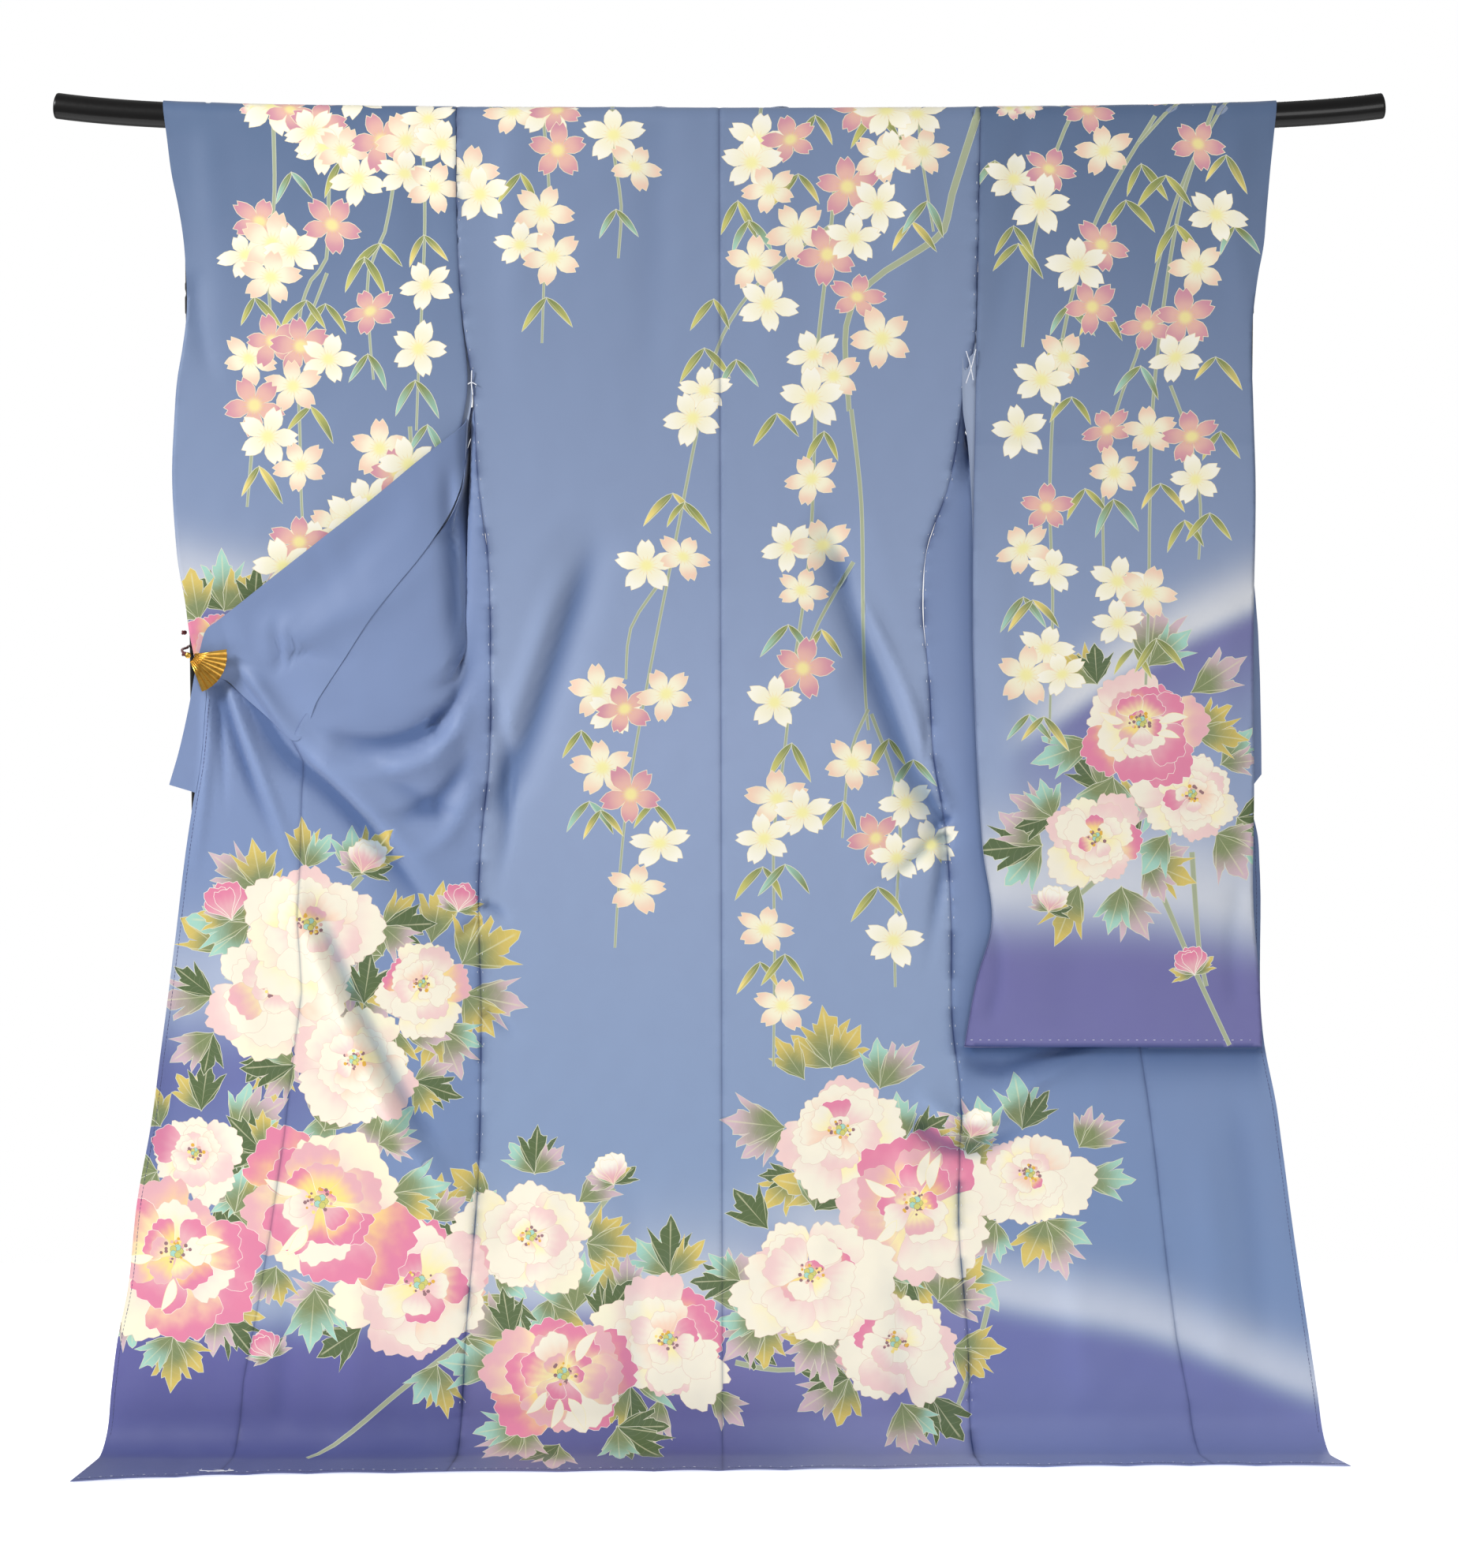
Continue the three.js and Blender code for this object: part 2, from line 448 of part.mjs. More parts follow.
/** The low bar that ties the two posts together. */
function stretcher() {
  const length = 2 * (POST.x - POST.radius - GAP);
  const geometry = new THREE.CylinderGeometry(STRETCHER.radius, STRETCHER.radius, length, STRETCHER.sides);
  geometry.rotateZ(QUARTER);
  geometry.translate(0, 0, STRETCHER.height);
  return geometry;
}

// ---- the clip that holds the left front to the left post ----

/** The clip's folding fan: blades that stand a little proud of each other by turns. */
function fan() {
  const outline = new THREE.Shape();
  const turns = FAN.blades * 2;
  outline.moveTo(0, 0);
  for (let i = 0; i <= turns; i += 1) {
    const angle = THREE.MathUtils.degToRad(mix(FAN.to, FAN.from, i / turns));
    const reach = FAN.radius - (i % 2) * 1.2;
    outline.lineTo(reach * Math.cos(angle), reach * Math.sin(angle));
  }
  outline.closePath();
  const geometry = new THREE.ExtrudeGeometry(outline, { depth: FAN.wall, bevelEnabled: false });
  geometry.rotateX(QUARTER);
  geometry.translate(FAN.x, FAN.y, FAN.z);
  return geometry;
}

/** The cord that ties the clip to the post: back past the post's outer side and round behind it. */
function clipCord() {
  const loop = POST.radius + 3;
  const start = [[FAN.x - 1, FAN.y + 1.2, FAN.z + 1], [FAN.x - 8, FAN.y + 8, FAN.z + 4], [FAN.x - 12, -18, FAN.z + 7]];
  const turn = Array.from({ length: 9 }, (_, i) => {
    const angle = THREE.MathUtils.degToRad(196 - i * 26);
    return [-POST.x + loop * Math.cos(angle), loop * Math.sin(angle), FAN.z + 9 + i * 1.2];
  });
  const path = new THREE.CatmullRomCurve3([...start, ...turn].map((point) => new THREE.Vector3(...point)));
  const section = new THREE.Shape();
  section.absarc(0, 0, 1.6, 0, 2 * Math.PI, false);
  return new THREE.ExtrudeGeometry(section, { steps: 36, curveSegments: 4, extrudePath: path, bevelEnabled: false });
}

/** A knot of the clip's cord beside the post. */
function bead(radius, z) {
  const geometry = new THREE.SphereGeometry(radius, 12, 8);
  geometry.translate(-POST.x - POST.radius - 5.5, -9, z);
  return geometry;
}

const object = new THREE.Group();

/** Adds one named piece, with a material of its own. */
function add(name, geometry, material) {
  const mesh = new THREE.Mesh(geometry, material.clone());
  mesh.name = name;
  object.add(mesh);
  return mesh;
}

add("rail", rail(), COLOURS.lacquer);
for (const [name, side] of [["left", -1], ["right", 1]]) {
  const top = railAxis(POST.x) - RAIL.radius - 2 * GAP;
  const parts = {
    upper: upright(POST.radius, POST.joint + GAP, top, POST.sides),
    lower: upright(POST.radius, FOOT.height + GAP, POST.joint, POST.sides),
  };
  for (const [length, geometry] of Object.entries(parts)) {
    add(`post_${name}_${length}`, geometry, COLOURS.lacquer).position.x = side * POST.x;
  }
  add(`foot_${name}`, foot(), COLOURS.lacquer).position.x = side * POST.x;
}
add("stretcher", stretcher(), COLOURS.lacquer);
add("back_left", back(SIDE_LEFT), COLOURS.silk);
add("back_right", back(SIDE_RIGHT), COLOURS.silk);
add("front_left", front(FRONT_LEFT, SIDE_LEFT, OVERLAP_SEAM_LEFT), COLOURS.silk);
add("front_right", front(FRONT_RIGHT, SIDE_RIGHT, OVERLAP_SEAM_RIGHT), COLOURS.silk);
add("overlap_left", overlap(OVERLAP_SEAM_LEFT, EDGE_LEFT), COLOURS.silk);
add("overlap_right", overlap(OVERLAP_SEAM_RIGHT, EDGE_RIGHT), COLOURS.silk);
add("collar", collar(), COLOURS.silk);
add("sleeve_left", sleeve(SLEEVE_LEFT_INNER, SLEEVE_LEFT_EDGE, SLEEVE_LEFT_DEPTH), COLOURS.silk);
add("sleeve_right", sleeve(SLEEVE_RIGHT_INNER, SLEEVE_RIGHT_EDGE, SLEEVE_RIGHT_DEPTH), COLOURS.silk);
add("clip_fan", fan(), COLOURS.gold);
add("clip_cord", clipCord(), COLOURS.cord);
add("clip_knot_low", bead(3.4, FAN.z + 1), COLOURS.cord);
add("clip_knot_high", bead(3.4, FAN.z + 28), COLOURS.cord);

export default object;
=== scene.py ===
"""A furisode kimono hung over the rail of its lacquered stand, dyed with weeping cherry and peonies."""

import logging
import math
from collections.abc import Callable, Sequence
from dataclasses import dataclass, field
from enum import Enum

import bpy
import numpy as np
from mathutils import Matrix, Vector
from mathutils.geometry import delaunay_2d_cdt


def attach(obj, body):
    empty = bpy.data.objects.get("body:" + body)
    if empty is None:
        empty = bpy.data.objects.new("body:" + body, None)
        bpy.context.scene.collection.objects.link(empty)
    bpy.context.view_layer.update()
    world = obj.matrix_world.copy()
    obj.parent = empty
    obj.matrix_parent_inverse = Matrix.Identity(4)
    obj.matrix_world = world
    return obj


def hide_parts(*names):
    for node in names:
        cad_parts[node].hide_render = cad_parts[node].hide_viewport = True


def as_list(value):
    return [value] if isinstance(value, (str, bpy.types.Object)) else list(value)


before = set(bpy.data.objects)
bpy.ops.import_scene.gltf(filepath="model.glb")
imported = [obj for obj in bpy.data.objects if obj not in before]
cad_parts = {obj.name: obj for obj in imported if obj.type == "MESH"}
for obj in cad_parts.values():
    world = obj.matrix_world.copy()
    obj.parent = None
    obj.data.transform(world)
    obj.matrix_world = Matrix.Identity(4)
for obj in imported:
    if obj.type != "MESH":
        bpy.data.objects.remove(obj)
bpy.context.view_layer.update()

LOG = logging.getLogger("furisode")
MM = 0.001
QUARTER = math.pi / 2
BODY = "root"
Array = np.ndarray
Colour = tuple[float, float, float]
Number = "Wire | float"


# ---------------------------------------------------------------- small maths


def dye(red: float, green: float, blue: float) -> Colour:
    """A colour of the dyer's chart, from 0 to 255 a channel, as the linear colour of a material."""
    shares = [channel / 255 for channel in (red, green, blue)]
    return tuple(s / 12.92 if s <= 0.04045 else ((s + 0.055) / 1.055) ** 2.4 for s in shares)


def smooth(share: Array | float) -> Array:
    """An even step from 0 to 1 with level ends."""
    t = np.clip(share, 0.0, 1.0)
    return t * t * (3 - 2 * t)


def mix(a: Array | float, b: Array | float, share: Array | float) -> Array:
    """The value a share of the way from a to b."""
    return a + (b - a) * share


def straight(rows: Sequence[Sequence[float]]) -> Callable[[Array], Array]:
    """A function through rows of key and value, in straight lines between them."""
    table = np.array(sorted(rows))
    return lambda at: np.interp(at, table[:, 0], table[:, 1])


def flowing(rows: Sequence[Sequence[float]]) -> Callable[[Array], Array]:
    """A function through rows of a key and one or more values, in smooth cubic pieces."""
    table = np.array(sorted(rows, key=lambda row: row[0]), dtype=float)
    keys, values = table[:, 0], table[:, 1:]
    slopes = np.gradient(values, keys, axis=0)

    def value(at: Array) -> Array:
        """The values at each key of an array; a single column comes back flat."""
        at = np.atleast_1d(at)
        i = np.clip(np.searchsorted(keys, at) - 1, 0, len(keys) - 2)
        gap = (keys[i + 1] - keys[i])[:, None]
        t = np.clip((at - keys[i])[:, None] / gap, 0.0, 1.0)
        out = (
            (2 * t**3 - 3 * t**2 + 1) * values[i]
            + (t**3 - 2 * t**2 + t) * gap * slopes[i]
            + (3 * t**2 - 2 * t**3) * values[i + 1]
            + (t**3 - t**2) * gap * slopes[i + 1]
        )
        return out[:, 0] if out.shape[1] == 1 else out

    return value


def through(columns: Array, place: Array) -> Array:
    """A point on the smooth curve through each row of control points.

    Args:
        columns: Control points, one row of them for each wanted point (n, count, axes).
        place: Where along its row each wanted point lies, from 0 to count - 1.

    Returns:
        The points (n, axes).
    """
    last = columns.shape[1] - 1
    i = np.clip(place.astype(int), 0, last - 1)
    t = (place - i)[:, None]
    row = np.arange(len(place))
    a, b, c, d = (columns[row, np.clip(i + k, 0, last)] for k in (-1, 0, 1, 2))
    return b + 0.5 * t * (c - a + t * (2 * a - 5 * b + 4 * c - d + t * (3 * (b - c) + d - a)))


def waves(seed: int, at: Array, length: float, squash: float = 1.0, count: int = 7) -> Array:
    """A soft uneven field from about -1 to 1: a sum of plane waves with set random phases.

    Args:
        seed: Which field.
        at: Points (n, 2).
        length: The length of a middling wave.
        squash: How much longer the waves are down the cloth than across it.
        count: How many waves are summed.

    Returns:
        The field at the points.
    """
    rng = np.random.default_rng(seed)
    total = np.zeros(len(at))
    for _ in range(count):
        angle, phase = rng.uniform(0, 2 * math.pi, 2)
        reach = length * rng.uniform(0.6, 1.7)
        along = at[:, 0] * math.cos(angle) + at[:, 1] * math.sin(angle) / squash
        total += np.sin(2 * math.pi * along / reach + phase)
    return total / math.sqrt(count)


def smooth_line(points: Sequence[Sequence[float]], step: float) -> Array:
    """A smooth line through points, with a new point about every step."""
    corners = np.array(points, dtype=float)
    if len(corners) < 2:
        return corners
    lengths = np.linalg.norm(np.diff(corners, axis=0), axis=1)
    places = np.concatenate([
        np.arange(max(1, round(gap / step))) / max(1, round(gap / step)) + i for i, gap in enumerate(lengths)
    ] + [[len(corners) - 1.0]])
    return through(np.broadcast_to(corners, (len(places), *corners.shape)), places)


# ---------------------------------------------------------------- materials


class Wire:
    """A number in a material, on which sums add their own Math nodes."""

    def __init__(self, recipe: "Recipe", socket: bpy.types.NodeSocket) -> None:
        """Holds an output socket of a recipe's node."""
        self.recipe, self.socket = recipe, socket

    def math(self, operation: str, *others: Number) -> "Wire":
        """The result of a Math node whose first number this is."""
        return self.recipe.sum(operation, self, *others)

    def __add__(self, other: Number) -> "Wire":
        """This plus another."""
        return self.math("ADD", other)

    def __radd__(self, other: float) -> "Wire":
        """A number plus this."""
        return self.math("ADD", other)

    def __sub__(self, other: Number) -> "Wire":
        """This less another."""
        return self.math("SUBTRACT", other)

    def __rsub__(self, other: float) -> "Wire":
        """A number less this."""
        return self.recipe.sum("SUBTRACT", other, self)

    def __mul__(self, other: Number) -> "Wire":
        """This times another."""
        return self.math("MULTIPLY", other)

    def __rmul__(self, other: float) -> "Wire":
        """A number times this."""
        return self.math("MULTIPLY", other)

    def __truediv__(self, other: Number) -> "Wire":
        """This over another."""
        return self.math("DIVIDE", other)

    def __pow__(self, other: Number) -> "Wire":
        """This to a power."""
        return self.math("POWER", other)

    def __abs__(self) -> "Wire":
        """This without its sign."""
        return self.math("ABSOLUTE")

    def step(self, low: float, high: float) -> "Wire":
        """0 up to low, 1 from high, and a smooth rise between; low may be the greater."""
        if low > high:
            return 1 - self.step(high, low)
        settings = {"interpolation_type": "SMOOTHSTEP"}
        values = {"Value": self, "From Min": low, "From Max": high}
        return Wire(self.recipe, self.recipe.add("ShaderNodeMapRange", settings, values).outputs[0])

    def near(self, centre: float, reach: float) -> "Wire":
        """1 at a value, falling smoothly to 0 at a distance from it."""
        return abs(self - centre).step(reach, 0)


class Recipe:
    """The nodes of one material."""

    def __init__(self, name: str) -> None:
        """Starts a material that has only its surface shader."""
        self.material = bpy.data.materials.new(name)
        self.material.use_nodes = True
        self.tree = self.material.node_tree
        self.shader = self.tree.nodes["Principled BSDF"]

    def add(self, kind: str, settings: dict | None = None, values: dict | None = None) -> bpy.types.Node:
        """Adds a node.

        Args:
            kind: The node's type.
            settings: Its settings, which are made first.
            values: A value, a wire or a socket for each input, by the input's name or number.

        Returns:
            The node.
        """
        node = self.tree.nodes.new(kind)
        for key, value in (settings or {}).items():
            setattr(node, key, value)
        for key, value in (values or {}).items():
            self.feed(node.inputs[key], value)
        return node

    def feed(self, entry: bpy.types.NodeSocket, value: object) -> None:
        """Links a wire or a socket to an input, or sets the input to a plain value."""
        if isinstance(value, Wire):
            value = value.socket
        if isinstance(value, bpy.types.NodeSocket):
            self.tree.links.new(value, entry)
        elif isinstance(value, tuple) and len(value) == 3 and len(entry.default_value) == 4:
            entry.default_value = (*value, 1.0)
        else:
            entry.default_value = value

    def sum(self, operation: str, *numbers: Number) -> Wire:
        """The result of a Math node."""
        node = self.add("ShaderNodeMath", {"operation": operation}, dict(enumerate(numbers)))
        return Wire(self, node.outputs[0])

    def blend(self, a: object, b: object, share: Number, mode: str = "MIX") -> bpy.types.NodeSocket:
        """Two colours mixed by a share."""
        settings = {"data_type": "RGBA", "blend_type": mode, "clamp_factor": True}
        return self.add("ShaderNodeMix", settings, {0: share, 6: a, 7: b}).outputs[2]

    def attribute(self, name: str) -> bpy.types.Node:
        """A node that reads a mesh attribute."""
        return self.add("ShaderNodeAttribute", {"attribute_name": name})

    def numbers(self, vector: bpy.types.NodeSocket) -> list[Wire]:
        """The three numbers of a vector."""
        return [Wire(self, out) for out in self.add("ShaderNodeSeparateXYZ", None, {0: vector}).outputs]

    def place(self, stretch: Colour = (1.0, 1.0, 1.0)) -> bpy.types.NodeSocket:
        """The object's own coordinates, stretched."""
        here = self.add("ShaderNodeTexCoord").outputs["Object"]
        return self.add("ShaderNodeMapping", None, {"Vector": here, "Scale": stretch}).outputs[0]

    def noise(self, scale: float, detail: float, stretch: Colour = (1.0, 1.0, 1.0)) -> Wire:
        """A noise from 0 to 1 over the object's own coordinates."""
        values = {"Vector": self.place(stretch), "Scale": scale, "Detail": detail}
        return Wire(self, self.add("ShaderNodeTexNoise", None, values).outputs[0])

    def bump(self, height: Wire, distance: float, strength: float) -> None:
        """Feeds a height into the shader's normal."""
        values = {"Height": height, "Distance": distance, "Strength": strength}
        self.feed(self.shader.inputs["Normal"], self.add("ShaderNodeBump", None, values).outputs[0])

    def finish(self, **values: object) -> bpy.types.Material:
        """Sets the shader's inputs, whose names have _ for a space, and hands over the material."""
        for key, value in values.items():
            self.feed(self.shader.inputs[key.replace("_", " ")], value)
        return self.material


class Kind(Enum):
    """What a dyed shape is, which tells the silk how to shade inside it."""

    GROUND = 0
    BLOSSOM = 1
    PETAL = 2
    BLADE = 3
    LOBED = 4
    PLAIN = 5


@dataclass(frozen=True)
class Silk:
    """Dyed crepe silk: the colours, painted shade included, lie in the cloth's corners, and the shading
    inside each shape here.
    """

    name: str
    reverse: float = 0.0
    roughness: float = 0.56
    sheen: float = 0.32

    def make(self) -> bpy.types.Material:
        """Builds the material; a reverse above 0 pales the dye as on the back of the cloth."""
        recipe = Recipe(self.name)
        inner = recipe.attribute("paint_a").outputs["Color"]
        outer = recipe.attribute("paint_b").outputs["Color"]
        across, along, kind = recipe.numbers(recipe.attribute("local").outputs["Vector"])
        reach = (across * across + along * along) ** 0.5
        turn = recipe.sum("ARCTAN2", across, along)
        grain = recipe.noise(160.0, 2.0)
        washes = recipe.noise(28.0, 3.0)

        def only(*kinds: Kind) -> Wire:
            """1 inside shapes of these kinds."""
            masks = [kind.near(float(k.value), 0.5).math("GREATER_THAN", 0.5) for k in kinds]
            return sum(masks[1:], masks[0])

        blossom, petal, blade, lobed = (only(k) for k in (Kind.BLOSSOM, Kind.PETAL, Kind.BLADE, Kind.LOBED))
        rays = recipe.sum("SINE", turn * 21.0 + washes * 9.0).step(-1.4, 1.0)
        spread = along + (washes - 0.5) * 0.5 + (rays - 0.5) * 0.05
        fade = (reach + (washes - 0.5) * 0.4).step(0.36, 1.0) * blossom + spread.step(0.30, 0.92) * petal
        fade = fade + (across + washes * 0.3).step(0.25, 1.05) * blade
        fade = fade + (reach + (washes - 0.5) * 0.5).step(0.28, 0.92) * lobed
        colour = recipe.blend(inner, outer, fade)

        sector = (turn * (2.5 / math.pi) + 0.5).math("FRACT") - 0.5
        parting = abs(sector).step(0.455, 0.5) * reach.step(0.58, 0.3) * blossom
        colour = recipe.blend(colour, DYES.parting, parting * 0.45)
        colour = recipe.blend(colour, DYES.heart, reach.step(0.34, 0.10) * blossom * 0.8)
        anther = recipe.sum("SINE", turn * 15.0).step(0.75, 1.0) * reach.near(0.30, 0.13)
        colour = recipe.blend(colour, DYES.anther, anther * blossom * 0.4)

        shade = along.step(0.42, 0.08) * petal
        colour = recipe.blend(colour, DYES.throat, shade * 0.22)

        vein = abs(along).step(0.10, 0.03) * blade
        ribs = [abs(turn - lean).step(0.034, 0.012) * reach.step(0.02, 0.1) * reach.step(1.02, 0.86)
                for lean in (-0.66, 0.0, 0.66)]
        twigs = abs(((reach * 7.0 - abs(turn) * 2.4).math("FRACT")) - 0.5).step(0.06, 0.0) * 0.4
        vein = vein + (sum(ribs[1:], ribs[0]) + twigs * 0.6) * lobed
        colour = recipe.blend(colour, DYES.rib, vein * 0.5)
        half = along.step(-0.04, 0.04) * blade
        colour = recipe.blend(colour, DYES.leaf_shade, half * 0.3)

        colour = recipe.blend(colour, DYES.wash, washes.step(0.35, 0.75) * 0.05)
        if self.reverse:
            colour = recipe.blend(colour, DYES.chalk, self.reverse)
        recipe.bump((grain * 0.35 + recipe.noise(900.0, 1.0)) * 0.5, 0.00022, 0.22)
        return recipe.finish(
            Base_Color=colour, Roughness=self.roughness + (grain - 0.5) * 0.08, Sheen_Weight=self.sheen,
            Sheen_Roughness=0.38, Sheen_Tint=(0.86, 0.90, 1.0), Specular_IOR_Level=0.36,
        )


@dataclass(frozen=True)
class Lacquer:
    """Black urushi lacquer: deep, glossy, with the faint swell of brushed coats."""

    name: str

    def make(self) -> bpy.types.Material:
        """Builds the material."""
        recipe = Recipe(self.name)
        swell, dust = recipe.noise(14.0, 2.0), recipe.noise(260.0, 4.0)
        colour = recipe.blend(dye(5, 4, 4), dye(16, 14, 13), dust.step(0.58, 0.8) * 0.5)
        recipe.bump(swell + dust * 0.02, 0.0006, 0.10)
        return recipe.finish(Base_Color=colour, Roughness=0.30 + dust * 0.10, Coat_Weight=0.25,
                             Coat_Roughness=0.14, Specular_IOR_Level=0.28)


@dataclass(frozen=True)
class Gilt:
    """Gilded metal, with scattered darker patches of tarnish."""

    name: str

    def make(self) -> bpy.types.Material:
        """Builds the material."""
        recipe = Recipe(self.name)
        tarnish, hair = recipe.noise(90.0, 4.0), recipe.noise(900.0, 2.0, (1.0, 1.0, 0.15))
        colour = recipe.blend(dye(226, 178, 84), dye(158, 112, 38), tarnish.step(0.45, 0.8))
        recipe.bump(hair, 0.0001, 0.3)
        return recipe.finish(Base_Color=colour, Metallic=1.0, Roughness=0.20 + tarnish * 0.2)


@dataclass(frozen=True)
class Thread:
    """Spun thread or cord, with its fuzz."""

    name: str
    light: Colour
    dark: Colour

    def make(self) -> bpy.types.Material:
        """Builds the material."""
        recipe = Recipe(self.name)
        fuzz = recipe.noise(1400.0, 2.0)
        return recipe.finish(Base_Color=recipe.blend(self.light, self.dark, fuzz.step(0.4, 0.7)),
                             Roughness=0.75 + fuzz * 0.1, Sheen_Weight=0.3)


@dataclass(frozen=True)
class StudioWhite:
    """The studio's own matt white, for the floor."""

    name: str
    glow: float

    def make(self) -> bpy.types.Material:
        """Builds the material."""
        recipe = Recipe(self.name)
        paper = recipe.noise(3.0, 3.0)
        colour = recipe.blend(dye(246, 246, 246), dye(252, 252, 252), paper)
        return recipe.finish(Base_Color=colour, Roughness=0.9, Emission_Color=(1.0, 1.0, 1.0, 1.0),
                             Emission_Strength=self.glow)


# ---------------------------------------------------------------- the dyed design


@dataclass(frozen=True)
class Dyes:
    """The colours that the design is dyed in."""

    cream: Colour = dye(241, 235, 206)
    warm: Colour = dye(240, 226, 190)
    peach: Colour = dye(238, 202, 178)
    dusty: Colour = dye(226, 178, 164)
    rose: Colour = dye(206, 142, 158)
    blush: Colour = dye(226, 172, 178)
    white: Colour = dye(245, 241, 226)
    ivory: Colour = dye(239, 232, 212)
    petal_pink: Colour = dye(221, 128, 158)
    lemon: Colour = dye(244, 220, 128)
    olive: Colour = dye(132, 142, 84)
    pale_olive: Colour = dye(204, 198, 108)
    moss: Colour = dye(124, 136, 92)
    leaf_dark: Colour = dye(84, 102, 62)
    mint: Colour = dye(160, 206, 190)
    gold: Colour = dye(212, 188, 98)
    mauve: Colour = dye(206, 178, 188)
    line: Colour = dye(214, 214, 188)
    twig: Colour = dye(162, 170, 140)
    twig_light: Colour = dye(190, 196, 176)
    amber: Colour = dye(222, 172, 60)
    grape: Colour = dye(146, 108, 112)
    flush: Colour = dye(234, 200, 196)
    rim: Colour = dye(226, 200, 182)
    butter: Colour = dye(243, 231, 168)
    blue_high: Colour = dye(110, 128, 160)
    blue_sleeve: Colour = dye(84, 105, 138)
    blue_middle: Colour = dye(141, 157, 190)
    blue_low: Colour = dye(126, 147, 180)
    violet: Colour = dye(106, 103, 158)
    indigo: Colour = dye(78, 80, 136)
    lilac: Colour = dye(134, 138, 186)
    dusk: Colour = dye(114, 114, 168)
    pale: Colour = dye(212, 214, 219)
    parting: Colour = dye(226, 186, 150)
    heart: Colour = dye(240, 232, 150)
    anther: Colour = dye(236, 196, 88)
    throat: Colour = dye(226, 176, 150)
    rib: Colour = dye(216, 214, 176)
    leaf_shade: Colour = dye(96, 112, 60)
    wash: Colour = dye(120, 128, 160)
    chalk: Colour = dye(196, 206, 224)


DYES = Dyes()


@dataclass
class Patch:
    """One dyed shape: its outline on the flat cloth, its colours, and its own coordinates."""

    outline: Array
    kind: Kind
    inner: Colour
    outer: Colour
    origin: Array
    axes: Array

    def local(self, points: Array) -> Array:
        """The shape's own coordinates of points on the cloth."""
        return (points - self.origin) @ self.axes


def widened(outline: Array, by: float) -> Array:
    """A closed outline moved outwards by a distance."""
    ahead, behind = np.roll(outline, -1, axis=0) - outline, outline - np.roll(outline, 1, axis=0)
    area = np.sum(outline[:, 0] * np.roll(outline[:, 1], -1) - outline[:, 1] * np.roll(outline[:, 0], -1))
    sides = []
    for edge in (ahead, behind):
        normal = np.stack([edge[:, 1], -edge[:, 0]], axis=1) * math.copysign(1.0, area)
        sides.append(normal / np.maximum(np.linalg.norm(normal, axis=1, keepdims=True), 1e-9))
    middle = sides[0] + sides[1]
    middle /= np.maximum(np.linalg.norm(middle, axis=1, keepdims=True), 0.6)
    corner = np.maximum(np.sum(middle * sides[0], axis=1, keepdims=True), 0.55)
    return outline + middle * by / corner


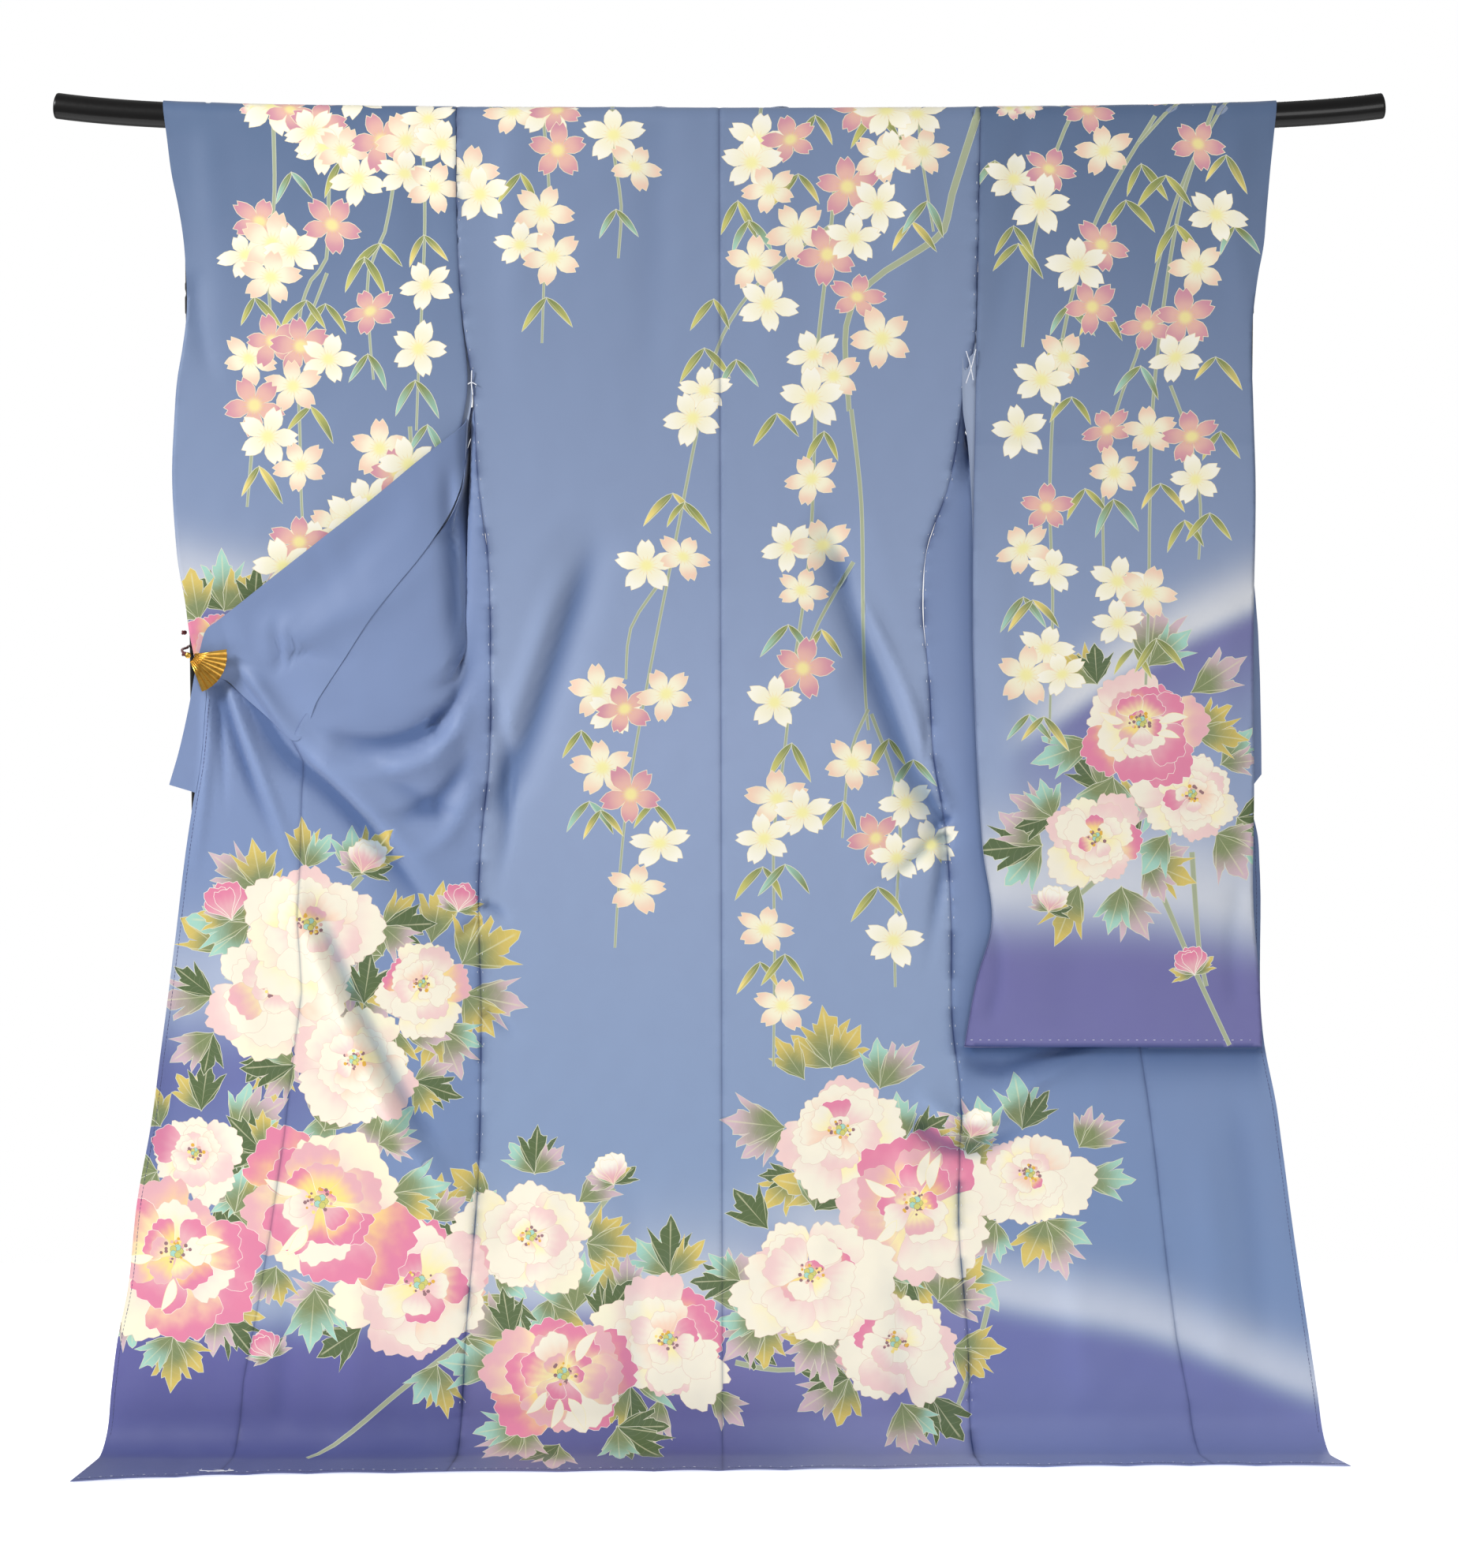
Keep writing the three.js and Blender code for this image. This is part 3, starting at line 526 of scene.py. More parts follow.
class Design:
    """The dyed design of the whole garment, in coordinates of the cloth as it hangs, in millimetres."""

    def __init__(self) -> None:
        """Starts with bare cloth."""
        self.patches: list[Patch] = []

    def add(self, shape: Array, at: Sequence[float], size: Sequence[float], turn: float, kind: Kind,
            colours: Sequence[Colour], rim: float = 0.0) -> None:
        """Adds one shape, over what is there.

        Args:
            shape: Its outline in its own coordinates.
            at: The place of its own origin.
            size: How many millimetres its own x and y units are.
            turn: Its turn, anticlockwise, in radians.
            kind: What it is.
            colours: Its inner and outer colours, and that of its rim.
            rim: The width of the pale resist line round it, or 0 for none.
        """
        c, s = math.cos(turn), math.sin(turn)
        spin = np.array([[c, s], [-s, c]])
        outline = (shape * np.array(size)) @ spin + np.array(at)
        axes = spin.T / np.array(size)
        if rim:
            edge = colours[2]
            self.patches.append(Patch(widened(outline, rim), Kind.PLAIN, edge, edge, np.array(at), axes))
        self.patches.append(Patch(outline, kind, colours[0], colours[1], np.array(at), axes))

    # -- shapes, each in its own units

    @staticmethod
    def blossom_shape(rng: np.random.Generator) -> Array:
        """Five notched petals round the origin, each about 1 long and a little uneven."""
        side = [(0.30, 36.0), (0.46, 32.0), (0.62, 29.5), (0.80, 20.5), (0.92, 12.5), (1.03, 6.5)]
        points = []
        for petal in range(5):
            grow, lean = rng.uniform(0.93, 1.06), rng.uniform(-3, 3)
            half = [(reach * (grow if reach > 0.4 else 1.0), angle) for reach, angle in side]
            whole = [(r, -a) for r, a in half] + [(0.90 * grow, 0.0)] + [(r, a) for r, a in half[:0:-1]]
            for reach, angle in whole:
                turned = math.radians(petal * 72.0 + angle + (lean if abs(angle) < 35 else 0.0))
                points.append((reach * math.sin(turned), reach * math.cos(turned)))
        return np.array(points)

    @staticmethod
    def petal_shape(rng: np.random.Generator, spread: float, frills: int) -> Array:
        """A broad petal from the origin up to a frilled edge 1 away."""
        points = [(0.0, -0.02)]
        shift, lean = rng.uniform(0, 6), rng.uniform(-0.09, 0.09)
        for t in np.linspace(-1, 1, 3 * frills + 1):
            angle = math.radians(spread) * t
            edge = 1.0 - 0.22 * abs(t) ** 3.0 + lean * t + 0.035 * math.sin(5.2 * t + shift)
            phase = frills * (t + 1) / 2
            frill = 0.058 * (abs(math.sin(math.pi * phase)) ** 0.7 - 0.6)
            frill *= 1 + 0.5 * math.sin(7 * t + shift)
            points.append(((edge + frill) * math.sin(angle), (edge + frill) * math.cos(angle)))
        low = math.radians(spread)
        side = [(0.62, 1.02), (0.36, 0.86), (0.16, 0.7)]
        right = [(r * math.sin(low * k), r * math.cos(low * k)) for r, k in side]
        left = [(-x, y) for x, y in right[::-1]]
        return np.array(points[:1] + left + points[1:] + right)

    @staticmethod
    def blade_shape(bend: float) -> Array:
        """A narrow leaf from the origin along x to a point 1 away, bent to one side."""
        t = np.linspace(0, 1, 9)
        width = np.sin(np.pi * t**0.8) ** 0.9
        middle = bend * np.sin(np.pi * t)
        upper = np.stack([t, middle + width], axis=1)
        lower = np.stack([t, middle - width], axis=1)[-2:0:-1]
        return np.concatenate([upper, lower])

    @staticmethod
    def lobed_shape(rng: np.random.Generator) -> Array:
        """A three-lobed, toothed leaf from the origin up to a point 1 away."""
        half = [(0.04, 0.04), (0.13, 0.13), (0.27, 0.25), (0.36, 0.40), (0.42, 0.50), (0.43, 0.60),
                (0.55, 0.80),
                (0.38, 0.71), (0.27, 0.62), (0.19, 0.54), (0.24, 0.66), (0.25, 0.78), (0.17, 0.80),
                (0.10, 0.92)]
        right = np.array(half) * rng.uniform(0.92, 1.08, (len(half), 1))
        left = (np.array(half) * rng.uniform(0.92, 1.08, (len(half), 1)) * [-1, 1])[::-1]
        return np.concatenate([[(0.0, -0.02)], right, [(0.0, 1.06)], left])

    # -- motifs

    def twig(self, points: Sequence[Sequence[float]], width: float, end: float = 0.55) -> None:
        """A hanging twig through points: a ribbon that narrows towards its end."""
        line = smooth_line(points, 22.0)
        ahead = np.gradient(line, axis=0)
        ahead /= np.linalg.norm(ahead, axis=1, keepdims=True)
        side = np.stack([-ahead[:, 1], ahead[:, 0]], axis=1)
        half = np.linspace(0.5, 0.5 * end, len(line))[:, None] * width
        for grow, colour in ((0.8, DYES.twig_light), (0.0, DYES.twig)):
            ribbon = np.concatenate([line + side * (half + grow), (line - side * (half + grow))[::-1]])
            self.patches.append(Patch(ribbon, Kind.PLAIN, colour, colour, line[0], np.eye(2)))

    def leaf_pair(self, x: float, z: float, seed: int) -> None:
        """Two narrow leaves that hang from one joint of a twig."""
        rng = np.random.default_rng(seed)
        pale = [DYES.pale_olive, DYES.pale_olive, DYES.mint, DYES.lemon][seed % 4]
        for side in (-1, 1):
            length = rng.uniform(38, 56)
            turn = -QUARTER + side * math.radians(rng.uniform(24, 44))
            shape = self.blade_shape(side * rng.uniform(0.1, 0.8))
            colours = (DYES.olive, pale, DYES.line) if side < 0 or seed % 3 else (pale, DYES.olive, DYES.line)
            self.add(shape, (x, z), (length, length * 0.085), turn, Kind.BLADE, colours, 0.8)

    def blossom(self, x: float, z: float, tint: str, seed: int) -> None:
        """One cherry blossom: "p" is dusty pink, "h" cream with pink tips, "b" a bud."""
        rng = np.random.default_rng(seed)
        radius = rng.uniform(32, 39) * (0.5 if tint == "b" else 1.0)
        inner, outer = {
            "p": (DYES.dusty, DYES.rose), "h": (DYES.cream, DYES.peach), "b": (DYES.cream, DYES.blush),
        }.get(tint, (DYES.cream, DYES.white))
        size = (radius, radius * rng.uniform(0.74, 1.0))
        place = (x + rng.uniform(-5, 5), z + rng.uniform(-5, 5))
        shape = self.blossom_shape(rng)
        self.add(shape, place, size, rng.uniform(-0.6, 0.6), Kind.BLOSSOM, (inner, outer, DYES.warm), 0.7)

    def lobed_leaf(self, x: float, z: float, length: float, turn: float, seed: int) -> None:
        """One three-lobed leaf that points along a turn from straight up."""
        rng = np.random.default_rng(seed)
        pick = int(rng.integers(7))
        tip = [DYES.mint, DYES.gold, DYES.mauve, DYES.mint, DYES.gold, DYES.mauve, DYES.leaf_dark][pick]
        size = (length * rng.uniform(0.66, 0.9), length)
        base = DYES.leaf_dark if pick == 6 else DYES.moss
        self.add(self.lobed_shape(rng), (x, z), size, turn, Kind.LOBED, (base, tip, DYES.line), 0.7)

    def leaves_round(self, x: float, z: float, radius: float, count: int, seed: int) -> None:
        """Sprays of lobed leaves that come out from behind a flower on all sides."""
        rng = np.random.default_rng(seed)
        for k in range(count):
            angle = 2 * math.pi * (k + rng.uniform(-0.25, 0.25)) / count
            out = radius * rng.uniform(0.84, 1.06)
            length = rng.uniform(56, 80)
            for lean in (-0.75, 0.0, 0.75):
                if lean == 0.0 or rng.random() < 0.55:
                    base = (x + out * math.sin(angle), z + out * math.cos(angle))
                    self.lobed_leaf(*base, length * (1.0 if lean == 0.0 else 0.82), -angle - lean,
                                    int(rng.integers(9999)))

    def peony(self, x: float, z: float, radius: float, pink: float, seed: int) -> None:
        """A full peony of frilled petals in rings, from white with a flush at 0 to strong pink at 1."""
        rng = np.random.default_rng(seed)
        squash, lean = rng.uniform(0.76, 0.94), rng.uniform(-0.5, 0.5)
        rings = [(7, 1.0, 34, 6, -0.04), (6, 0.76, 34, 5, 0.02), (6, 0.53, 33, 4, 0.06),
                 (3, 0.33, 38, 3, 0.0)]
        for row, (count, reach, spread, frills, rise) in enumerate(rings):
            start = rng.uniform(0, 2 * math.pi)
            for k in rng.permutation(count):
                angle = start + 2 * math.pi * (k + rng.uniform(-0.25, 0.25)) / count
                long = radius * reach * rng.uniform(0.80, 1.24)
                stretch = math.hypot(math.sin(angle), squash * math.cos(angle))
                low = 0.35 if math.cos(angle) < -0.2 and row < 2 else 0.0
                colours = self.petal_colours(rng, rng.random() < pink - low, row)
                shape = self.petal_shape(rng, spread * rng.uniform(0.85, 1.1), frills)
                rim = DYES.white if colours[1] == DYES.petal_pink else DYES.rim
                self.add(shape, (x, z + radius * rise), (long, long * stretch), -angle - lean, Kind.PETAL,
                         (*colours, rim), 0.5)
        for k in range(4 if pink > 0.3 else 0):
            angle = rng.uniform(0, 2 * math.pi)
            base = (x + radius * 0.30 * math.sin(angle), z + radius * 0.30 * math.cos(angle))
            long = radius * rng.uniform(0.34, 0.5)
            self.add(self.blade_shape(0.5), base, (long, long * 0.16),
                     QUARTER - angle + rng.uniform(-0.5, 0.5),
                     Kind.PLAIN, (DYES.ivory, DYES.ivory, DYES.butter), 0.5)
        ring = np.linspace(0, 2 * math.pi, 7)[:-1]
        dot = np.stack([np.cos(ring), np.sin(ring)], axis=1)
        middle = (x, z + radius * 0.06)
        for k in range(22):
            around, out = rng.uniform(0, 2 * math.pi), radius * rng.uniform(0.10, 0.20)
            tone = (DYES.grape, DYES.amber, DYES.grape, DYES.lemon, DYES.dusty)[k % 5]
            at = (middle[0] + out * math.cos(around), middle[1] + out * 0.8 * math.sin(around))
            self.add(dot, at, (rng.uniform(1.6, 2.7),) * 2, around, Kind.PLAIN, (tone, tone, tone))
        for k in range(5):
            around = 2 * math.pi * k / 5
            at = (middle[0] + radius * 0.05 * math.cos(around), middle[1] + radius * 0.05 * math.sin(around))
            tone = DYES.mint if k % 2 else DYES.pale_olive
            self.add(dot, at, (radius * 0.042,) * 2, around, Kind.PLAIN, (tone, tone, DYES.moss), 0.4)

    @staticmethod
    def petal_colours(rng: np.random.Generator, pink: bool, row: int) -> tuple[Colour, Colour]:
        """The base and edge colours of one petal of a peony."""
        if pink:
            pairs = [(DYES.lemon, DYES.petal_pink), (DYES.blush, DYES.petal_pink),
                     (DYES.butter, DYES.petal_pink),
                     (DYES.butter, DYES.blush), (DYES.lemon, DYES.blush)]
        elif row == 0:
            pairs = [(DYES.flush, DYES.ivory), (DYES.ivory, DYES.flush), (DYES.ivory, DYES.ivory),
                     (DYES.butter, DYES.ivory), (DYES.flush, DYES.cream)]
        else:
            pairs = [(DYES.butter, DYES.ivory), (DYES.flush, DYES.ivory), (DYES.ivory, DYES.ivory),
                     (DYES.peach, DYES.ivory), (DYES.ivory, DYES.flush)]
        return pairs[rng.integers(len(pairs))]

    def peony_bud(self, x: float, z: float, size: float, turn: float, seed: int) -> None:
        """A half-open peony: a few upright petals over two small leaves."""
        rng = np.random.default_rng(seed)
        for lean in (-1.1, 1.1, -0.5, 0.5):
            self.lobed_leaf(x, z, size * 0.9, turn + lean, int(rng.integers(9999)))
        for lean, reach in ((-0.5, 0.9), (0.5, 0.9), (-0.2, 1.05), (0.25, 1.0), (0.0, 0.86)):
            pinks, pales = (DYES.blush, DYES.petal_pink, DYES.white), (DYES.blush, DYES.white, DYES.warm)
            colours = pinks if seed % 2 else pales
            shape = self.petal_shape(rng, 26, 3)
            self.add(shape, (x, z), (size * reach,) * 2, turn + lean, Kind.PETAL, colours, 0.6)


@dataclass(frozen=True)
class Haze:
    """A shaded band of the ground: pale along a line, with violet below it that fades back to blue."""

    start: tuple[float, float]
    end: tuple[float, float]
    pale: float
    above: float
    below: float
    violet: float
    depth: float
    reach: tuple[float, float] = (-2000.0, 2000.0)
    soft: float = 60.0
    deep: tuple[Colour, Colour] = (DYES.violet, DYES.indigo)

    def weights(self, at: Array) -> tuple[Array, Array]:
        """The pale and the violet share at points."""
        (x1, z1), (x2, z2) = self.start, self.end
        line = z1 + (at[:, 0] - x1) * (z2 - z1) / (x2 - x1) + 9.0 * np.sin(at[:, 0] / 70.0)
        away = at[:, 1] - line
        begun = smooth((at[:, 0] - self.reach[0]) / self.soft + 0.5)
        inside = begun * smooth((self.reach[1] - at[:, 0]) / self.soft + 0.5)
        pale = self.pale * np.exp(-((away / np.where(away > 0, self.above, self.below)) ** 2)) * inside
        violet = smooth((-away) / (self.below * 2.2)) * smooth(1 - (-away - self.below) / self.depth) * inside
        return pale, violet * self.violet


BODY_HAZES = (
    Haze((-800, 575), (-500, 635), 0.55, 75, 60, 0.85, 330, (-900, -480), 120),
    Haze((-800, 195), (0, 205), 0.42, 90, 30, 1.0, 900, (-900, 60), 260),
    Haze((-150, 210), (150, 212), 0.32, 44, 34, 0.85, 700, (-210, 300), 140),
    Haze((300, 226), (800, 78), 0.88, 46, 22, 0.86, 700, (120, 900), 280, (DYES.dusk, DYES.lilac)),
)
SLEEVE_LEFT_HAZES = (Haze((-690, 1112), (-560, 1098), 0.62, 46, 20, 0.85, 700),)
SLEEVE_RIGHT_HAZES = (
    Haze((430, 950), (680, 1092), 0.90, 44, 17, 0.85, 190, (400, 900), 120),
    Haze((330, 735), (660, 700), 0.75, 80, 46, 0.95, 1600),
)


@dataclass(frozen=True)
class Ground:
    """The shaded ground colour of one piece of cloth."""

    hazes: tuple[Haze, ...] = ()
    top: Colour = DYES.blue_high
    # A factor on the whole ground colour; below 1, as on the fronts, it is painted shade.
    tint: Colour = (1.0, 1.0, 1.0)

    def colour(self, at: Array) -> Array:
        """The linear ground colour at points of the hanging cloth."""
        stops = [(-80.0, *DYES.blue_low), (250.0, *DYES.blue_low), (900.0, *DYES.blue_middle),
                 (1706.0, *self.top)]
        table = np.array(stops)
        high = at[:, 1] + 22.0 * waves(11, at, 700.0)
        base = np.stack([np.interp(high, table[:, 0], table[:, k]) for k in (1, 2, 3)], axis=1)
        for haze in self.hazes:
            pale, violet = haze.weights(at)
            deep = mix(np.array(haze.deep[0]), np.array(haze.deep[1]),
                       smooth((140 - at[:, 1]) / 200)[:, None])
            base = mix(base, deep, violet[:, None])
            base = mix(base, np.array(DYES.pale), pale[:, None])
        return base * np.array(self.tint)


# The fronts, overlaps and collar: a darker, bluer ground, painted shade that offsets the key light falling on
# them more than on the back.
FRONT_SHADED_GROUND = Ground(BODY_HAZES, DYES.blue_high, (0.76, 0.81, 0.91))


# ---------------------------------------------------------------- how the cloth hangs

HEM_KEY = -60.0
SIDE_LEFT = flowing([
    (1680, -328), (1534, -327), (1436, -321), (1345, -308), (1240, -303), (1142, -291), (994, -288),
    (884, -290), (795, -299), (745, -303), (544, -302), (342, -307), (138, -324), (0, -332), (HEM_KEY, -338)])
SIDE_RIGHT = flowing([
    (1680, 325), (1485, 322), (1397, 318), (1345, 306), (1269, 296), (1220, 286), (1149, 261), (1079, 255),
    (984, 264), (877, 271), (807, 284), (682, 293), (538, 296), (465, 305), (281, 305), (141, 317), (0, 322),
    (HEM_KEY, 327)])
CENTRE = straight([(1680, 0), (900, 2), (HEM_KEY, 4)])
OVERLAP_SEAM_LEFT = straight([
    (985, -625), (908, -537), (879, -524), (795, -526), (689, -530), (588, -527), (511, -538), (404, -551),
    (281, -570), (180, -588), (90, -606), (0, -614), (HEM_KEY, -620)])
OVERLAP_SEAM_RIGHT = straight([
    (985, 634), (908, 520), (795, 522), (520, 533), (440, 546), (364, 556), (236, 571), (141, 584), (56, 601),
    (0, 608), (HEM_KEY, 618)])
EDGE_LEFT = flowing([
    (985, -642), (917, -648), (867, -654), (832, -661), (785, -669), (645, -688), (514, -707), (423, -720),
    (322, -739), (200, -754), (149, -765), (77, -775), (0, -783), (HEM_KEY, -797)])
EDGE_RIGHT = flowing([
    (985, 655), (908, 661), (832, 668), (785, 680), (745, 683), (517, 692), (440, 708), (393, 715),
    (281, 731),
    (141, 753), (51, 767), (0, 773), (HEM_KEY, 789)])
SLEEVE_LEFT_EDGE = flowing([
    (1720, -696), (1690, -693), (1650, -688), (1611, -683), (1573, -675), (1534, -669), (1490, -666),
    (1436, -666),
    (1397, -671), (1358, -678), (1299, -683), (1240, -686), (1181, -684), (1122, -679), (1083, -672),
    (1043, -667), (1004, -660), (954, -655), (517, -658)])
SLEEVE_RIGHT_EDGE = flowing([
    (1720, 697), (1690, 694), (1650, 690), (1611, 686), (1563, 682), (1524, 679), (1485, 672), (1436, 666),
    (1319, 667), (1240, 670), (1043, 670), (845, 673), (677, 675), (617, 681), (517, 687)])
SLEEVE_LEFT_INNER = flowing([
    (1720, -328), (1534, -327), (1436, -322), (1338, -316), (1300, -323), (1240, -337), (1142, -358),
    (517, -358)])
SLEEVE_RIGHT_INNER = flowing([
    (1720, 325.5), (1485, 322.5), (1348, 320), (1007, 319), (771, 332), (664, 343), (609, 327), (517, 310)])
SLEEVE_LEFT_FAR = flowing([
    (1720, -328), (1534, -327), (1490, -324), (1455, -310), (1400, -309), (1345, -309), (1325, -311),
    (1300, -315),
    (1269, -317), (1220, -323), (1175, -334), (1142, -338), (1060, -352), (900, -358), (517, -358)])
SLEEVE_RIGHT_FAR = flowing([
    (1720, 325.5), (1490, 322.5), (1455, 307), (1400, 304), (1345, 303.5), (1315, 305), (1290, 309),
    (1200, 316),
    (1007, 319), (771, 332), (664, 343), (609, 327), (517, 310)])


@dataclass(frozen=True)
class Fold:
    """A trough or a ridge drawn through points of the cloth; a height above 0 stands out."""

    points: tuple[tuple[float, float], ...]
    height: float
    left: float
    right: float
    ends: tuple[float, float] = (0.3, 0.3)

    def relief(self, at: Array) -> Array:
        """How far the fold lifts points of the cloth."""
        line = smooth_line(self.points, 18.0)
        low, high = line.min(axis=0), line.max(axis=0)
        reach = 3.2 * max(self.left, self.right)
        inside = np.all((at > low - reach) & (at < high + reach), axis=1)
        lift = np.zeros(len(at))
        if not inside.any():
            return lift
        spots = at[inside]
        start, run = line[:-1], np.diff(line, axis=0)
        share = np.einsum("nsk,sk->ns", spots[:, None] - start, run) / np.sum(run**2, axis=1)
        share = np.clip(share, 0, 1)
        away = spots[:, None] - start - share[..., None] * run
        gap = np.linalg.norm(away, axis=2)
        best = np.argmin(gap, axis=1)
        row = np.arange(len(spots))
        gap, share, away = gap[row, best], share[row, best], away[row, best]
        side = np.sign(run[best, 0] * away[:, 1] - run[best, 1] * away[:, 0])
        width = np.where(side > 0, self.left, self.right)
        along = (best + share) / len(run)
        fade = smooth(along / max(self.ends[0], 1e-3)) * smooth((1 - along) / max(self.ends[1], 1e-3))
        lift[inside] = self.height * np.exp(-((gap / width) ** 2)) * fade
        return lift


BODY_FOLDS = (
    Fold(((-622, 1018), (-575, 1012), (-534, 1019), (-483, 1008), (-440, 1010)), -5.0, 8, 12, (0.06, 0.6)),
    Fold(((-622, 1024), (-580, 1026), (-530, 1036), (-470, 1034)), 3.5, 14, 10, (0.1, 0.7)),
    Fold(((-620, 1000), (-583, 954), (-562, 916), (-538, 883), (-496, 850), (-448, 800), (-385, 715),
          (-320, 628)),
         -6.5, 9, 15, (0.04, 0.5)),
    Fold(((-600, 1000), (-560, 945), (-515, 890), (-460, 838), (-400, 775), (-330, 690)), 5.0, 15, 11,
         (0.1, 0.5)),
    Fold(((-630, 985), (-606, 905), (-584, 842), (-562, 790), (-548, 740)), -4.5, 6, 10, (0.05, 0.6)),
    Fold(((-617, 985), (-594, 915), (-572, 855), (-548, 790), (-520, 700)), 3.6, 9, 9, (0.08, 0.6)),
    Fold(((-636, 980), (-628, 930), (-624, 880), (-622, 800)), -3.2, 5, 6, (0.05, 0.7)),
    Fold(((-640, 975), (-642, 900), (-650, 820), (-664, 720)), 2.6, 8, 8, (0.05, 0.6)),
    Fold(((-308, 1080), (-318, 1010), (-330, 960), (-362, 926), (-410, 906), (-470, 908), (-540, 936)),
         -7.0, 16, 10, (0.35, 0.5)),
    Fold(((-312, 1000), (-345, 900), (-395, 872), (-460, 866), (-520, 880)), 5.5, 14, 17, (0.3, 0.5)),
    Fold(((-310, 905), (-350, 838), (-410, 808), (-470, 812)), -4.0, 16, 11, (0.3, 0.6)),
    Fold(((-304, 860), (-340, 790), (-395, 752)), 3.5, 14, 14, (0.3, 0.6)),
    Fold(((-470, 905), (-400, 850), (-350, 815), (-305, 800)), -2.5, 12, 16, (0.4, 0.3)),
    Fold(((-600, 1035), (-520, 1090), (-440, 1160), (-380, 1225)), -3.0, 20, 26, (0.2, 0.4)),
    Fold(((-590, 1010), (-500, 1050), (-420, 1085), (-350, 1150)), 3.0, 24, 20, (0.2, 0.4)),
    Fold(((-340, 1260), (-334, 1150), (-330, 1050), (-328, 960)), -4.0, 9, 12, (0.2, 0.4)),
    Fold(((-548, 755), (-528, 680), (-478, 560), (-420, 433), (-361, 350), (-310, 285)), 5.5, 17, 11,
         (0.2, 0.3)),
    Fold(((-520, 740), (-500, 670), (-452, 560), (-392, 440), (-330, 365)), -4.5, 14, 12, (0.25, 0.3)),
    Fold(((-640, 700), (-610, 560), (-600, 400), (-612, 240)), 2.2, 26, 20, (0.3, 0.4)),
    Fold(((-690, 640), (-700, 480), (-720, 300)), -1.8, 18, 22, (0.3, 0.4)),
    Fold(((-450, 300), (-460, 180), (-470, 60), (-475, 0)), 1.6, 22, 18, (0.4, 0.2)),
    Fold(((-540, 260), (-556, 130), (-566, 20)), -1.6, 16, 18, (0.4, 0.2)),
    Fold(((-300, 700), (-282, 692), (-262, 672)), -3.0, 8, 8, (0.1, 0.8)),
    Fold(((-300, 680), (-318, 668), (-345, 640)), -3.0, 8, 8, (0.1, 0.8)),
    Fold(((-302, 562), (-280, 548), (-250, 520)), -2.6, 9, 9, (0.1, 0.8)),
    Fold(((-150, 1180), (-200, 1030), (-245, 900), (-290, 800)), -4.5, 22, 15, (0.3, 0.2)),
    Fold(((-190, 1140), (-240, 1000), (-285, 870)), 3.4, 16, 16, (0.4, 0.3)),
    Fold(((-290, 1000), (-270, 900), (-268, 800), (-285, 700)), -3.2, 10, 14, (0.3, 0.4)),
    Fold(((-230, 420), (-225, 250), (-240, 100), (-250, 0)), 1.5, 24, 20, (0.4, 0.2)),
    Fold(((-120, 400), (-110, 200), (-118, 20)), -1.3, 20, 24, (0.4, 0.2)),
    Fold(((120, 1200), (160, 1100), (200, 985), (240, 880), (288, 792)), -5.0, 13, 20, (0.25, 0.05)),
    Fold(((150, 1130), (225, 985), (262, 880), (292, 800)), 4.5, 12, 15, (0.3, 0.1)),
    Fold(((288, 792), (262, 770), (225, 738), (180, 722)), -3.6, 9, 12, (0.05, 0.7)),
    Fold(((286, 788), (282, 740), (272, 680), (262, 600)), -3.4, 9, 9, (0.05, 0.7)),
    Fold(((292, 800), (270, 830), (262, 880), (262, 960)), -3.0, 7, 9, (0.05, 0.5)),
    Fold(((245, 465), (290, 425), (345, 430), (400, 470), (470, 500)), 5.5, 15, 12, (0.2, 0.4)),
    Fold(((238, 430), (290, 388), (350, 392), (420, 430)), -4.6, 12, 14, (0.2, 0.5)),
    Fold(((300, 500), (360, 486), (430, 510), (520, 540)), -4.0, 14, 12, (0.2, 0.4)),
    Fold(((225, 400), (260, 330), (320, 300)), 3.2, 16, 14, (0.3, 0.5)),
    Fold(((120, 360), (128, 200), (140, 60), (145, 0)), 1.5, 24, 22, (0.4, 0.2)),
    Fold(((215, 280), (225, 150), (235, 20)), -1.3, 18, 20, (0.4, 0.2)),
    Fold(((430, 400), (445, 220), (470, 40)), 1.8, 26, 22, (0.4, 0.2)),
    Fold(((650, 480), (675, 300), (700, 100)), -1.6, 22, 24, (0.3, 0.2)),
    Fold(((600, 430), (625, 250), (640, 60)), 1.6, 24, 20, (0.4, 0.2)),
    Fold(((60, 1690), (62, 1500), (58, 1300)), 1.2, 30, 26, (0.1, 0.6)),
    Fold(((-80, 1690), (-84, 1500), (-90, 1250)), -1.2, 26, 30, (0.1, 0.6)),
    Fold(((240, 1690), (236, 1560), (215, 1400)), 1.4, 26, 22, (0.1, 0.6)),
    Fold(((-262, 1690), (-258, 1520), (-240, 1300)), 1.4, 26, 22, (0.1, 0.6)),
)


PINCH_X, PINCH_Z, PINCH_REACH = -641.0, 1000.0, 34.0


def body_relief(at: Array) -> Array:
    """How far all the body's folds lift points, with the cloth held flat under the clip."""
    away = np.hypot(at[:, 0] - PINCH_X, at[:, 1] - PINCH_Z) / PINCH_REACH
    held = 1.0 - 0.9 * np.exp(-(away ** 2))
    return sum(fold.relief(at) for fold in BODY_FOLDS) * held


